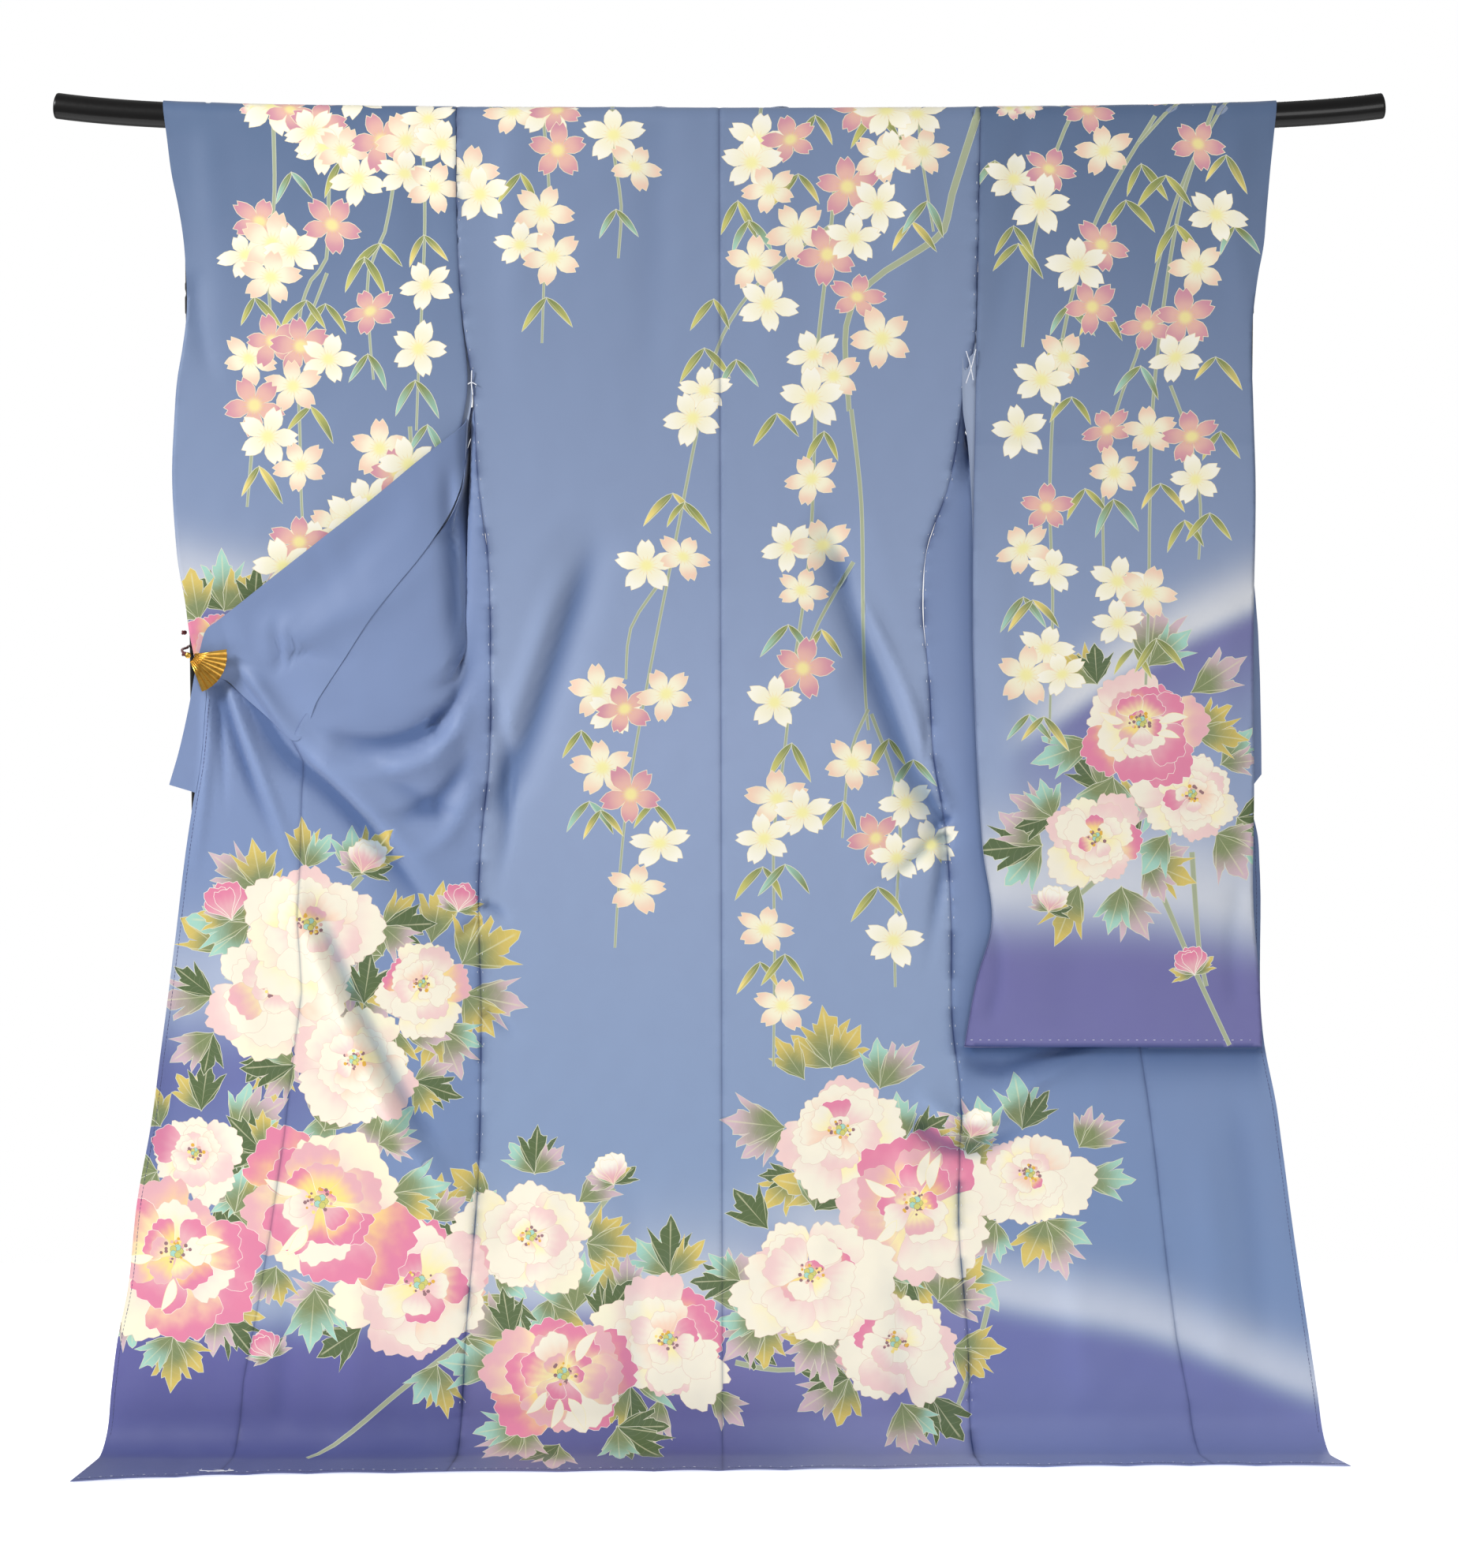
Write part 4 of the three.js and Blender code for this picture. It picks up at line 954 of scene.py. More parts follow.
SLEEVE_FOLDS_LEFT = (
    Fold(((-640, 1690), (-632, 1560), (-622, 1430), (-636, 1300)), 2.2, 24, 18, (0.1, 0.5)),
    Fold(((-655, 1500), (-652, 1440), (-640, 1380), (-610, 1330)), -2.8, 12, 14, (0.2, 0.5)),
    Fold(((-380, 1690), (-372, 1560), (-350, 1450)), -1.8, 18, 18, (0.1, 0.5)),
    Fold(((-520, 1300), (-515, 1100), (-510, 800)), 2.0, 34, 30, (0.3, 0.3)),
    Fold(((-600, 900), (-605, 700), (-600, 530)), -2.0, 26, 26, (0.3, 0.1)),
    Fold(((-430, 900), (-425, 700), (-430, 530)), 2.0, 26, 26, (0.3, 0.1)),
)
SLEEVE_FOLDS_RIGHT = (
    Fold(((372, 1690), (368, 1560), (345, 1440), (338, 1330)), -2.0, 18, 18, (0.1, 0.4)),
    Fold(((640, 1690), (640, 1560), (652, 1450), (648, 1330)), 2.2, 20, 18, (0.1, 0.5)),
    Fold(((350, 1200), (352, 1000), (372, 800), (365, 640)), 2.4, 18, 26, (0.3, 0.3)),
    Fold(((332, 700), (350, 650), (352, 600), (338, 540)), -2.6, 10, 12, (0.2, 0.2)),
    Fold(((660, 760), (652, 700), (646, 650), (652, 560)), -2.6, 12, 14, (0.3, 0.2)),
    Fold(((640, 1120), (636, 900), (642, 760)), 1.8, 20, 24, (0.3, 0.3)),
    Fold(((520, 900), (515, 700), (520, 530)), 1.8, 40, 34, (0.3, 0.1)),
    Fold(((430, 760), (436, 640), (430, 530)), -1.6, 26, 26, (0.3, 0.1)),
)


class Drape:
    """Where the cloth hangs: over the rail, down, round a soft bend, and out along the floor to its hem."""

    axis_height, bow, upturn, half_length = 1679.0, 8.0, 12.0, 830.0
    radius, bend, floor = 17.35, 45.0, 0.75
    falls = (1679.0, 1250.0)
    sleeve_clear, clip_clear = -26.0, -41.0
    clip_x, clip_z, sleeve_foot = -641.0, 998.0, 517.0
    bend_top = floor + bend
    bend_end = bend_top - bend * QUARTER
    hang_line = staticmethod(straight([(-800, -31), (-650, -34), (-450, -39), (-360, -34), (-300, -23),
                                       (0, -22),
                                       (296, -21), (345, -18.7), (800, -18.7)]))
    hem_line = staticmethod(flowing([(-797, -172), (-620, -147), (-328, -134), (0, -127), (325, -114),
                                     (618, -106), (789, -109)]))
    broad = ((-610, 985, -530, 890, 42, 7), (-530, 890, -330, 640, 45, 7), (-325, 1040, -350, 935, 36, 8),
             (-350, 935, -460, 905, 36, 8), (-525, 690, -415, 425, 55, -8), (-415, 425, -315, 290, 55, -7),
             (147, 1160, 197, 980, 55, 6), (197, 980, 280, 800, 55, 7), (-165, 1140, -270, 870, 60, 6))

    def axis(self, x: Array) -> Array:
        """The height of the rail's axis."""
        share = np.abs(x) / self.half_length
        return self.axis_height + self.bow * share**2 + self.upturn * share**8

    def crest(self, x: Array) -> Array:
        """The cloth coordinate of the rail's crest."""
        return self.axis(x) + self.radius * QUARTER

    def hang(self, x: Array, z: Array) -> Array:
        """The depth of the cloth that hangs, with its broadest folds."""
        drop = smooth((self.falls[0] - z) / (self.falls[0] - self.falls[1]))
        soft = sum(self.hang_line(x + shift) for shift in (-24, -12, 0, 12, 24)) / 5
        depth = mix(-self.radius, soft, np.where(np.abs(x) < 335, drop, 1.0))
        for x1, z1, x2, z2, reach, height in self.broad:
            dx, dz = x2 - x1, z2 - z1
            along = np.clip(((x - x1) * dx + (z - z1) * dz) / (dx * dx + dz * dz), 0, 1)
            away = np.hypot(x - x1 - along * dx, z - z1 - along * dz) / reach
            depth = depth + height * 0.8 * np.clip(1 - away * away, 0, 1) ** 2
        return depth

    def cleared(self, world: Array) -> Array:
        """Points of the body with the left front's troughs kept off the sleeve that hangs behind it."""
        x, y, z = world.T
        near = smooth((-352 - x) / 14) * smooth((z - 500) / 24) * smooth((-y - 10) / 6)
        kept = self.sleeve_clear - 1.6 * np.logaddexp(0.0, (self.sleeve_clear - y) / 1.6)
        y = mix(y, kept, near)
        held = smooth((74 - np.hypot(x - self.clip_x, z - self.clip_z)) / 34) * (y < -10)
        flat = self.clip_clear + 1.2 * np.logaddexp(0.0, (y - self.clip_clear) / 1.2)
        return np.stack([x, mix(y, flat, held), z], axis=1)

    def sheltered(self, world: Array) -> Array:
        """How far the right sleeve in front keeps light off the body, from 0 to 1."""
        x, y, z = world.T
        beyond = np.maximum(SLEEVE_RIGHT_INNER(z) - x, 0.0)
        beside = np.exp(-((beyond / 20.0) ** 2)) * (x > 150)
        beside = beside * smooth((1340 - z) / 200) * smooth((z - 500) / 20)
        under = np.clip(self.sleeve_foot - z, 0, None)
        below = np.exp(-((under / 38.0) ** 2)) * smooth((x - 296) / 24) * smooth((700 - x) / 20)
        return np.clip(0.42 * beside * (y > -30), 0, 1) + below * (z <= self.sleeve_foot) * (y > -40)

    def run_out(self, x: Array) -> Array:
        """How far the cloth runs along the floor."""
        return self.hang(x, np.full_like(x, self.bend)) - self.bend - self.hem_line(x)

    def hem(self, x: Array) -> Array:
        """The cloth coordinate of the hem."""
        return self.bend_end - self.run_out(x)

    def key(self, v: Array, x: float) -> Array:
        """The row of the outline tables for a cloth coordinate: a height, or how far out on the floor."""
        angle = np.clip((self.bend_top - v) / self.bend, 0, QUARTER)
        z = self.floor + self.bend * (1 - np.sin(angle))
        out = np.clip((self.bend_end - v) / float(self.run_out(np.array([x]))[0]), 0, 1)
        return np.where(v > self.bend_top, v, np.where(v > self.bend_end, z, HEM_KEY * out))

    def place(self, x: Array, v: Array, depth: Array) -> Array:
        """Points on the middle of the cloth on the viewing side.

        Args:
            x: Across.
            v: Down the cloth; a height where it hangs.
            depth: Its depth where it hangs.

        Returns:
            The points (n, 3).
        """
        axis = self.axis(x)
        over = np.clip((v - axis) / self.radius, 0, QUARTER)
        angle = np.clip((self.bend_top - v) / self.bend, 0, QUARTER)
        y = depth - self.bend * (1 - np.cos(angle)) - np.clip(self.bend_end - v, 0, None)
        z = np.where(v > self.bend_top, np.minimum(v, axis), self.floor + self.bend * (1 - np.sin(angle)))
        y = np.where(v > axis, -self.radius * np.cos(over), y)
        z = np.where(v > axis, axis + self.radius * np.sin(over), z)
        return np.stack([x, y, z], axis=1)


DRAPE = Drape()


@dataclass(frozen=True)
class Edge:
    """How one edge of a piece is finished: the groove and the puckers of a seam, or neither."""

    groove: float = 0.0
    pucker: float = 0.0
    seed: int = 0

    def relief(self, away: Array, v: Array) -> Array:
        """How far the seam lifts the cloth at distances from it."""
        away = np.abs(away)
        wave = np.sin(v / 3.1 + 2.2 * np.sin(v / 23.0 + self.seed)) + 0.7 * np.sin(v / 5.3 + self.seed * 1.7)
        patchy = 0.45 + 0.55 * smooth(0.5 + 0.8 * np.sin(v / 61.0 + self.seed) + 0.5 * np.sin(v / 27.0))
        pucker = self.pucker * wave * patchy * np.exp(-((away / 8.5) ** 1.2))
        return pucker - self.groove * np.exp(-((away / 2.1) ** 2))


SIDE_SEAM_LEFT, SIDE_SEAM_RIGHT = Edge(1.1, 0.95, 3), Edge(1.1, 0.95, 8)
CENTRE_SEAM, OVERLAP_SEAM, SHOULDER_SEAM = Edge(0.8, 0.16, 5), Edge(0.8, 0.20, 6), Edge(0.9, 0.22, 2)
FREE_EDGE = Edge(0.0, 0.18, 4)


def unit(vectors: Array) -> Array:
    """Vectors at length 1."""
    return vectors / np.maximum(np.linalg.norm(vectors, axis=1, keepdims=True), 1e-12)


def outward(world: Array) -> Array:
    """How far points lie out on the viewing side, where they show, from 0 to 1."""
    return smooth((-world[:, 1] - 14) / 12)


def topmost(shapes: Sequence[Array], points: Array) -> Array:
    """The number, from 1, of the last of the closed shapes over each point, or 0 for none."""
    tops = np.zeros(len(points), dtype=int)
    order = np.argsort(points[:, 1])
    heights = points[order, 1]
    for number, shape in enumerate(shapes, start=1):
        low, high = shape.min(axis=0), shape.max(axis=0)
        span = order[np.searchsorted(heights, low[1]):np.searchsorted(heights, high[1])]
        span = span[(points[span, 0] > low[0]) & (points[span, 0] < high[0])]
        if not len(span):
            continue
        x, y = points[span, 0, None], points[span, 1, None]
        a, b = shape, np.roll(shape, -1, axis=0)
        crosses = (a[:, 1] > y) != (b[:, 1] > y)
        rise = np.where(b[:, 1] == a[:, 1], 1e-9, b[:, 1] - a[:, 1])
        at = a[:, 0] + (y - a[:, 1]) * (b[:, 0] - a[:, 0]) / rise
        tops[span[np.sum(crosses & (x < at), axis=1) % 2 == 1]] = number
    return tops


def visible_edges(shapes: Sequence[Array]) -> tuple[Array, Array]:
    """The points and edges of what shows of closed shapes that lie over each other, lowest first."""
    if not shapes:
        return np.zeros((0, 2)), np.zeros((0, 2), dtype=int)
    ends = np.cumsum([len(shape) for shape in shapes])
    loops = [(k, k + 1 if k + 1 < end else end - len(shape))
             for end, shape in zip(ends, shapes) for k in range(end - len(shape), end)]
    points = [Vector(p) for p in np.concatenate(shapes).tolist()]
    cut, _, triangles, _, _, _ = delaunay_2d_cdt(points, loops, [], 0, 1e-3, False)
    flat = np.array([(p.x, p.y) for p in cut])
    tris = np.array([t for t in triangles if len(t) == 3], dtype=np.int64)
    tops = topmost(shapes, flat[tris].mean(axis=1))
    edges = np.sort(np.concatenate([tris[:, [0, 1]], tris[:, [1, 2]], tris[:, [2, 0]]]), axis=1)
    over = np.tile(tops, 3)
    order = np.lexsort((edges[:, 1], edges[:, 0]))
    edges, over = edges[order], over[order]
    same = np.all(edges[1:] == edges[:-1], axis=1)
    kept = edges[1:][same & (over[1:] != over[:-1])]
    used, back = np.unique(kept, return_inverse=True)
    return flat[used], back.reshape(kept.shape)


def triangulated(outline: Array, shapes: Sequence[Array], filling: Array) -> tuple[Array, Array, Array]:
    """Cuts the inside of an outline into triangles that respect the edges of shapes on it.

    Args:
        outline: The outline, anticlockwise.
        shapes: Closed outlines, lowest first, which may cross each other and the outline.
        filling: Further points inside.

    Returns:
        The points, the triangles, and the number of the topmost shape over each, 0 for none.
    """
    spots, edges = visible_edges(shapes)
    points = [Vector(p) for p in np.concatenate([outline, spots, filling]).tolist()]
    links = [tuple(edge) for edge in (edges + len(outline)).tolist()]
    cut, _, triangles, _, _, owners = delaunay_2d_cdt(points, links, [list(range(len(outline)))], 1, 1e-3,
                                                      True)
    flat = np.array([(p.x, p.y) for p in cut])
    tris = np.array([t for t, o in zip(triangles, owners) if o and len(t) == 3])
    a, b, c = (flat[tris[:, k]] for k in range(3))
    area = (b[:, 0] - a[:, 0]) * (c[:, 1] - a[:, 1]) - (b[:, 1] - a[:, 1]) * (c[:, 0] - a[:, 0])
    tris = np.where((area < 0)[:, None], tris[:, ::-1], tris)[np.abs(area) > 1e-6]
    used, back = np.unique(tris, return_inverse=True)
    flat, tris = flat[used], back.reshape(tris.shape)
    return flat, tris, topmost(shapes, flat[tris].mean(axis=1))


@dataclass
class Sheet:
    """One triangulated surface: its points on the flat cut, its triangles, and where it hangs."""

    flat: Array
    tris: Array
    tops: Array
    world: Array | None = None
    normals: Array | None = None

    def hang(self, world: Array) -> None:
        """Takes the points' places, and works their normals out from the triangles round them."""
        self.world = world
        a, b, c = (world[self.tris[:, k]] for k in range(3))
        face = np.cross(b - a, c - a)
        total = np.zeros_like(world)
        for k in range(3):
            for axis in range(3):
                total[:, axis] += np.bincount(self.tris[:, k], face[:, axis], len(world))
        self.normals = unit(total)

    def border(self) -> Array:
        """The points round the border in order, from the one nearest to the cut's lowest corner."""
        count = len(self.flat)
        edges = np.concatenate([self.tris[:, [0, 1]], self.tris[:, [1, 2]],
                                self.tris[:, [2, 0]]]).astype(np.int64)
        codes, back = edges[:, 0] * count + edges[:, 1], edges[:, 1] * count + edges[:, 0]
        ahead = dict(edges[~np.isin(codes, back)].tolist())
        start = min(ahead, key=lambda k: float(self.flat[k] @ (1.0, 1.0)))
        ring, point = [start], ahead[start]
        while point != start and len(ring) <= len(ahead):
            ring.append(point)
            point = ahead[point]
        return np.array(ring)


def laced(outer: Sheet, inner: Sheet) -> Array:
    """The triangles of the wall's edge between the borders of its two sides, which have their own points."""
    rings = [outer.border(), inner.border()]
    runs = []
    for spot in (outer.flat[rings[0]], inner.flat[rings[1]]):
        steps = np.linalg.norm(np.diff(np.concatenate([spot, spot[:1]]), axis=0), axis=1)
        runs.append(np.concatenate([[0.0], np.cumsum(steps)]) / steps.sum())
    rings[1] = rings[1] + len(outer.flat)
    faces, i, j = [], 0, 0
    a, b = ([*ring.tolist(), int(ring[0])] for ring in rings)
    while i < len(a) - 1 or j < len(b) - 1:
        if j == len(b) - 1 or (i < len(a) - 1 and runs[0][i + 1] <= runs[1][j + 1]):
            faces.append((a[i + 1], a[i], b[j]))
            i += 1
        else:
            faces.append((a[i], b[j], b[j + 1]))
            j += 1
    return np.array(faces)


class Cloth:
    """One piece of cloth: a flat cut, where each of its points hangs, and what is dyed on it."""

    thickness = 0.8
    pitch = 8.0
    depth = 1.9
    # Tint of the painted shade in folds and under the right sleeve.
    valley_dye = np.array([0.62, 0.52, 0.38])
    # Tint of each seam's own dark line and of the painted shade beside its puckers.
    seam_dye = np.array([1.0, 0.94, 0.78])

    def __init__(self, name: str, ground: Ground, edges: tuple[Edge, Edge] = (FREE_EDGE, FREE_EDGE)) -> None:
        """Names the piece and says how its lower-x and higher-x edges are finished."""
        self.name, self.ground, self.edges = name, ground, edges

    # -- what each kind of piece says about itself

    def low(self, v: Array) -> Array:
        """The lower-x edge of the flat cut."""
        raise NotImplementedError

    def high(self, v: Array) -> Array:
        """The higher-x edge of the flat cut."""
        raise NotImplementedError

    def base(self, flat: Array) -> Array:
        """Where points of the cut hang, with the broad folds alone."""
        raise NotImplementedError

    def folds(self, flat: Array, world: Array) -> Array:
        """How far the finer folds lift those points."""
        raise NotImplementedError

    def bounds(self) -> tuple[Callable[[Array], Array], Callable[[Array], Array]]:
        """The bottom and the top of the cut, as functions of x."""
        raise NotImplementedError

    # -- what all pieces share

    def normal(self, surface: Callable[[Array], Array], flat: Array, step: float = 0.8) -> Array:
        """The outward normals of a surface at points of the cut."""
        across = surface(flat + (step, 0)) - surface(flat - (step, 0))
        down = surface(flat + (0, step)) - surface(flat - (0, step))
        normal = np.cross(across, down)
        return normal / np.maximum(np.linalg.norm(normal, axis=1, keepdims=True), 1e-9)

    def relief(self, flat: Array, world: Array) -> Array:
        """All fine relief: folds, seams and the floor's ripples."""
        x, v = flat.T
        lift = self.folds(flat, world)
        lift = lift + self.edges[0].relief(x - self.low(v), v) + self.edges[1].relief(self.high(v) - x, v)
        at = np.stack([world[:, 0], v], axis=1)
        lift = lift + 0.55 * waves(21, at, 260.0, 2.4) + 0.16 * waves(22, at, 58.0, 1.6)
        on_floor = smooth((26.0 - v) / 44.0)
        ripple = 0.5 + 1.5 * np.abs(np.sin(x / 38.0 + 1.3 * np.sin(x / 91.0))) * smooth((20.0 - v) / 90.0)
        return np.where(v < 40, mix(lift, ripple, on_floor), lift)

    def ways(self, flat: Array, world: Array) -> Array:
        """The ways that the relief lifts points: along the base's normals."""
        return self.normal(self.base, flat)

    def surface(self, flat: Array) -> Array:
        """Where points of the cut hang, with all relief."""
        world = self.base(flat)
        return world + self.ways(flat, world) * self.relief(flat, world)[:, None]

    def sewn_line(self, flat: Array, lift: float) -> tuple[Array, Array]:
        """Points in metres along a line sewn on the piece's outside, and the outward ways there."""
        world, normals = self.surface(flat), self.normal(self.base, flat)
        return (world + normals * (self.thickness / 2 + lift)) * MM, normals

    def outline(self) -> Array:
        """The outline of the cut, anticlockwise from the lower-x end of its bottom."""
        bottom, top = self.bounds()
        x0 = float(self.low(np.array([bottom(np.array([self.start_x(0)]))[0]]))[0])
        x1 = float(self.high(np.array([bottom(np.array([self.start_x(1)]))[0]]))[0])
        floor = np.linspace(x0, x1, max(3, round(abs(x1 - x0) / 7)))
        v_low = bottom(floor)
        right_top = float(top(np.array([x1]))[0])
        left_top = float(top(np.array([x0]))[0])
        up = np.linspace(v_low[-1], right_top, round((right_top - v_low[-1]) / 5))[1:-1]
        down = np.linspace(left_top, v_low[0], round((left_top - v_low[0]) / 5))[1:-1]
        t0, t1 = float(self.low(np.array([left_top]))[0]), float(self.high(np.array([right_top]))[0])
        roof = np.linspace(t1, t0, max(3, round(abs(t1 - t0) / 7)))
        return np.concatenate([
            np.stack([floor, v_low], axis=1), np.stack([self.high(up), up], axis=1),
            np.stack([roof, top(roof)], axis=1), np.stack([self.low(down), down], axis=1),
        ])

    def start_x(self, side: int) -> float:
        """A first guess of x at the bottom on one side."""
        return float((self.low if side == 0 else self.high)(np.array([600.0]))[0])

    def filling(self, outline: Array) -> Array:
        """Points inside the cut: an even staggered grid, closer beside the seams."""
        bottom, top = self.bounds()
        v0, v1 = outline[:, 1].min(), outline[:, 1].max()
        x0, x1 = outline[:, 0].min(), outline[:, 0].max()
        rows = np.arange(v0, v1, self.pitch * 0.866)
        columns = np.arange(x0, x1, self.pitch)
        x, v = np.meshgrid(columns, rows)
        x = x + np.where(np.arange(len(rows)) % 2, self.pitch / 2, 0)[:, None]
        points = [np.stack([x.ravel(), v.ravel()], axis=1)]
        beside = np.arange(v0, v1, 4.2)
        for away in (1.7, 4.6, 9.0):
            points.append(np.stack([self.low(beside) + away, beside], axis=1))
            points.append(np.stack([self.high(beside) - away, beside], axis=1))
        points.append(self.crease_points())
        every = np.concatenate(points)
        x, v = every.T
        keep = (x > self.low(v) + 1.2) & (x < self.high(v) - 1.2) & (v > bottom(x) + 1.5) & (v < top(x) - 1.5)
        return every[keep]

    def crease_points(self) -> Array:
        """Extra points along the piece's sharper folds."""
        spots = [np.zeros((0, 2))]
        for fold in self.fold_list():
            if min(fold.left, fold.right) <= 14 and abs(fold.height) > 2.4:
                line = smooth_line(fold.points, 5.0)
                ahead = np.gradient(line, axis=0)
                side = np.stack([-ahead[:, 1], ahead[:, 0]], axis=1)
                side /= np.maximum(np.linalg.norm(side, axis=1, keepdims=True), 1e-9)
                spots += [line + side * away for away in (-12, -7.5, -3.5, 0.0, 3.5, 7.5, 12)]
        return np.concatenate(spots)

    def fold_list(self) -> tuple[Fold, ...]:
        """The folds whose sharp parts get extra points."""
        return ()

    def build(self, design: list[Patch], materials: Sequence[bpy.types.Material]) -> bpy.types.Object:
        """Cuts the cloth, dyes it with painted shade in its colours, and hangs it.

        Args:
            design: All dyed shapes, lowest first.
            materials: The silk's outside and its reverse.

        Returns:
            The finished piece.
        """
        outline = self.outline()
        low, high = outline.min(axis=0) - 1, outline.max(axis=0) + 1
        mine = [p for p in design
                if np.all(p.outline.max(axis=0) > low) and np.all(p.outline.min(axis=0) < high)]
        outer = Sheet(*triangulated(outline, [p.outline for p in mine], self.filling(outline)))
        inner = Sheet(*triangulated(outline, [], self.filling(outline)))
        for sheet in (outer, inner):
            sheet.hang(self.surface(sheet.flat))
        paint_a = self.ground.colour(self.seen(outer.flat, outer.world))[outer.tris]
        paint_b = paint_a.copy()
        local = np.zeros((*outer.tris.shape, 3))
        # Painted shade of folds, seams and the right sleeve's shadow, multiplied into the dyed colours.
        shade = self.valley(outer.flat, self.base(outer.flat))[outer.tris]
        corners = outer.flat[outer.tris]
        order = np.argsort(outer.tops, kind="stable")
        starts = np.searchsorted(outer.tops[order], np.arange(1, len(mine) + 2))
        for number, patch in enumerate(mine):
            inside = order[starts[number]:starts[number + 1]]
            if len(inside):
                paint_a[inside], paint_b[inside] = patch.inner, patch.outer
                local[inside, :, :2] = patch.local(corners[inside].reshape(-1, 2)).reshape(-1, 3, 2)
                local[inside, :, 2] = patch.kind.value
        return self.shell(outer, inner, (paint_a * shade, paint_b * shade, local), materials)

    def valley(self, flat: Array, world: Array) -> Array:
        """Painted shade and highlight for the corner colours: darker and bluer down in folds, a little
        lighter on crests, a dark line along each seam with painted shade beside its puckers, and the right
        sleeve's painted shadow.
        """
        lift = self.folds(flat, world)
        down, up = smooth(-lift / 10.0)[:, None], smooth(lift / 8.0)[:, None]
        # Painted shade in the troughs of the folds, a painted highlight on their crests.
        shade = 1.0 - down * self.valley_dye + up * 0.08
        x, v = flat.T
        for edge, away in ((self.edges[0], x - self.low(v)), (self.edges[1], self.high(v) - x)):
            away = np.abs(away)
            # Each seam's own dark line, and painted shade beside its puckers.
            line = np.minimum(edge.groove, 1.0) * np.exp(-((away / 1.5) ** 2)) * 0.62
            dark = smooth(0.5 + np.sin(v / 17.0 + edge.seed) + 0.6 * np.sin(v / 7.3))
            line = line + edge.pucker * 0.40 * np.exp(-((away / 7.0) ** 2)) * dark
            shade = shade * (1.0 - line[:, None] * self.seam_dye)
        # Painted shadow of the right sleeve on the body, beside it and below its foot.
        return shade * (1.0 - DRAPE.sheltered(world)[:, None] * self.valley_dye)

    def shell(self, outer: "Sheet", inner: "Sheet", paint: tuple[Array, Array, Array],
              materials: Sequence[bpy.types.Material]) -> bpy.types.Object:
        """A closed wall of the cloth's thickness between a finely dyed outside and a plain reverse.

        Args:
            outer: The middle surface as the outside has it.
            inner: The same surface in larger triangles.
            paint: The corner colours and own coordinates of the outside's triangles.
            materials: The silk's outside and its reverse.

        Returns:
            The finished piece.
        """
        half, count = self.thickness / 2, len(outer.flat)
        vertices = np.concatenate([outer.world + outer.normals * half,
                                   inner.world - inner.normals * half]) * MM
        rim = laced(outer, inner)
        reverse = inner.tris[:, ::-1] + count
        faces = np.concatenate([outer.tris, reverse, rim])

        mesh = bpy.data.meshes.new(self.name)
        mesh.vertices.add(len(vertices))
        mesh.vertices.foreach_set("co", vertices.astype(np.float32).ravel())
        mesh.loops.add(len(faces) * 3)
        mesh.loops.foreach_set("vertex_index", faces.astype(np.int32).ravel())
        mesh.polygons.add(len(faces))
        mesh.polygons.foreach_set("loop_start", np.arange(0, len(faces) * 3, 3, dtype=np.int32))
        index = np.zeros(len(faces), dtype=np.int32)
        index[len(outer.tris):len(outer.tris) + len(reverse)] = 1
        for material in materials:
            mesh.materials.append(material)
        mesh.update(calc_edges=True)
        mesh.polygons.foreach_set("material_index", index)
        mesh.polygons.foreach_set("use_smooth", np.ones(len(faces), dtype=bool))

        both = np.concatenate([outer.flat, inner.flat])
        ground = self.ground.colour(self.seen(both, np.concatenate([outer.world, inner.world])))
        plain = ground[faces[len(outer.tris):]]
        for name, k in (("paint_a", 0), ("paint_b", 1)):
            values = np.concatenate([paint[k], plain]).reshape(-1, 3)
            values = np.concatenate([values, np.ones((len(values), 1))], axis=1)
            layer = mesh.attributes.new(name, "FLOAT_COLOR", "CORNER")
            layer.data.foreach_set("color", values.astype(np.float32).ravel())
        values = np.concatenate([paint[2], np.zeros((len(plain), 3, 3))])
        layer = mesh.attributes.new("local", "FLOAT_VECTOR", "CORNER")
        layer.data.foreach_set("vector", values.astype(np.float32).ravel())

        spread = (both - both.min(axis=0)) / np.ptp(both, axis=0) * (0.47, 0.98) + (0.01, 0.01)
        spread[count:] = spread[count:] * (-1, 1) + (0.99, 0)
        uv = mesh.uv_layers.new(name="OFBake")
        uv.uv.foreach_set("vector", spread[faces].astype(np.float32).ravel())

        loops = np.concatenate([outer.normals, -inner.normals])[faces]
        edge = np.cross(vertices[rim[:, 1]] - vertices[rim[:, 0]], vertices[rim[:, 2]] - vertices[rim[:, 0]])
        loops[len(faces) - len(rim):] = unit(edge)[:, None]
        mesh.normals_split_custom_set(loops.reshape(-1, 3))
        piece = bpy.data.objects.new(self.name, mesh)
        bpy.context.collection.objects.link(piece)
        a, b, c = (outer.world[outer.tris[:, k]] * MM for k in range(3))
        area = float(np.linalg.norm(np.cross(b - a, c - a), axis=1).sum() / 2)
        LOG.info("%s: %d triangles, %.3f square metres", self.name, len(faces), area)
        return piece

    def seen(self, flat: Array, world: Array) -> Array:
        """The coordinates that points take their ground colour at."""
        return flat


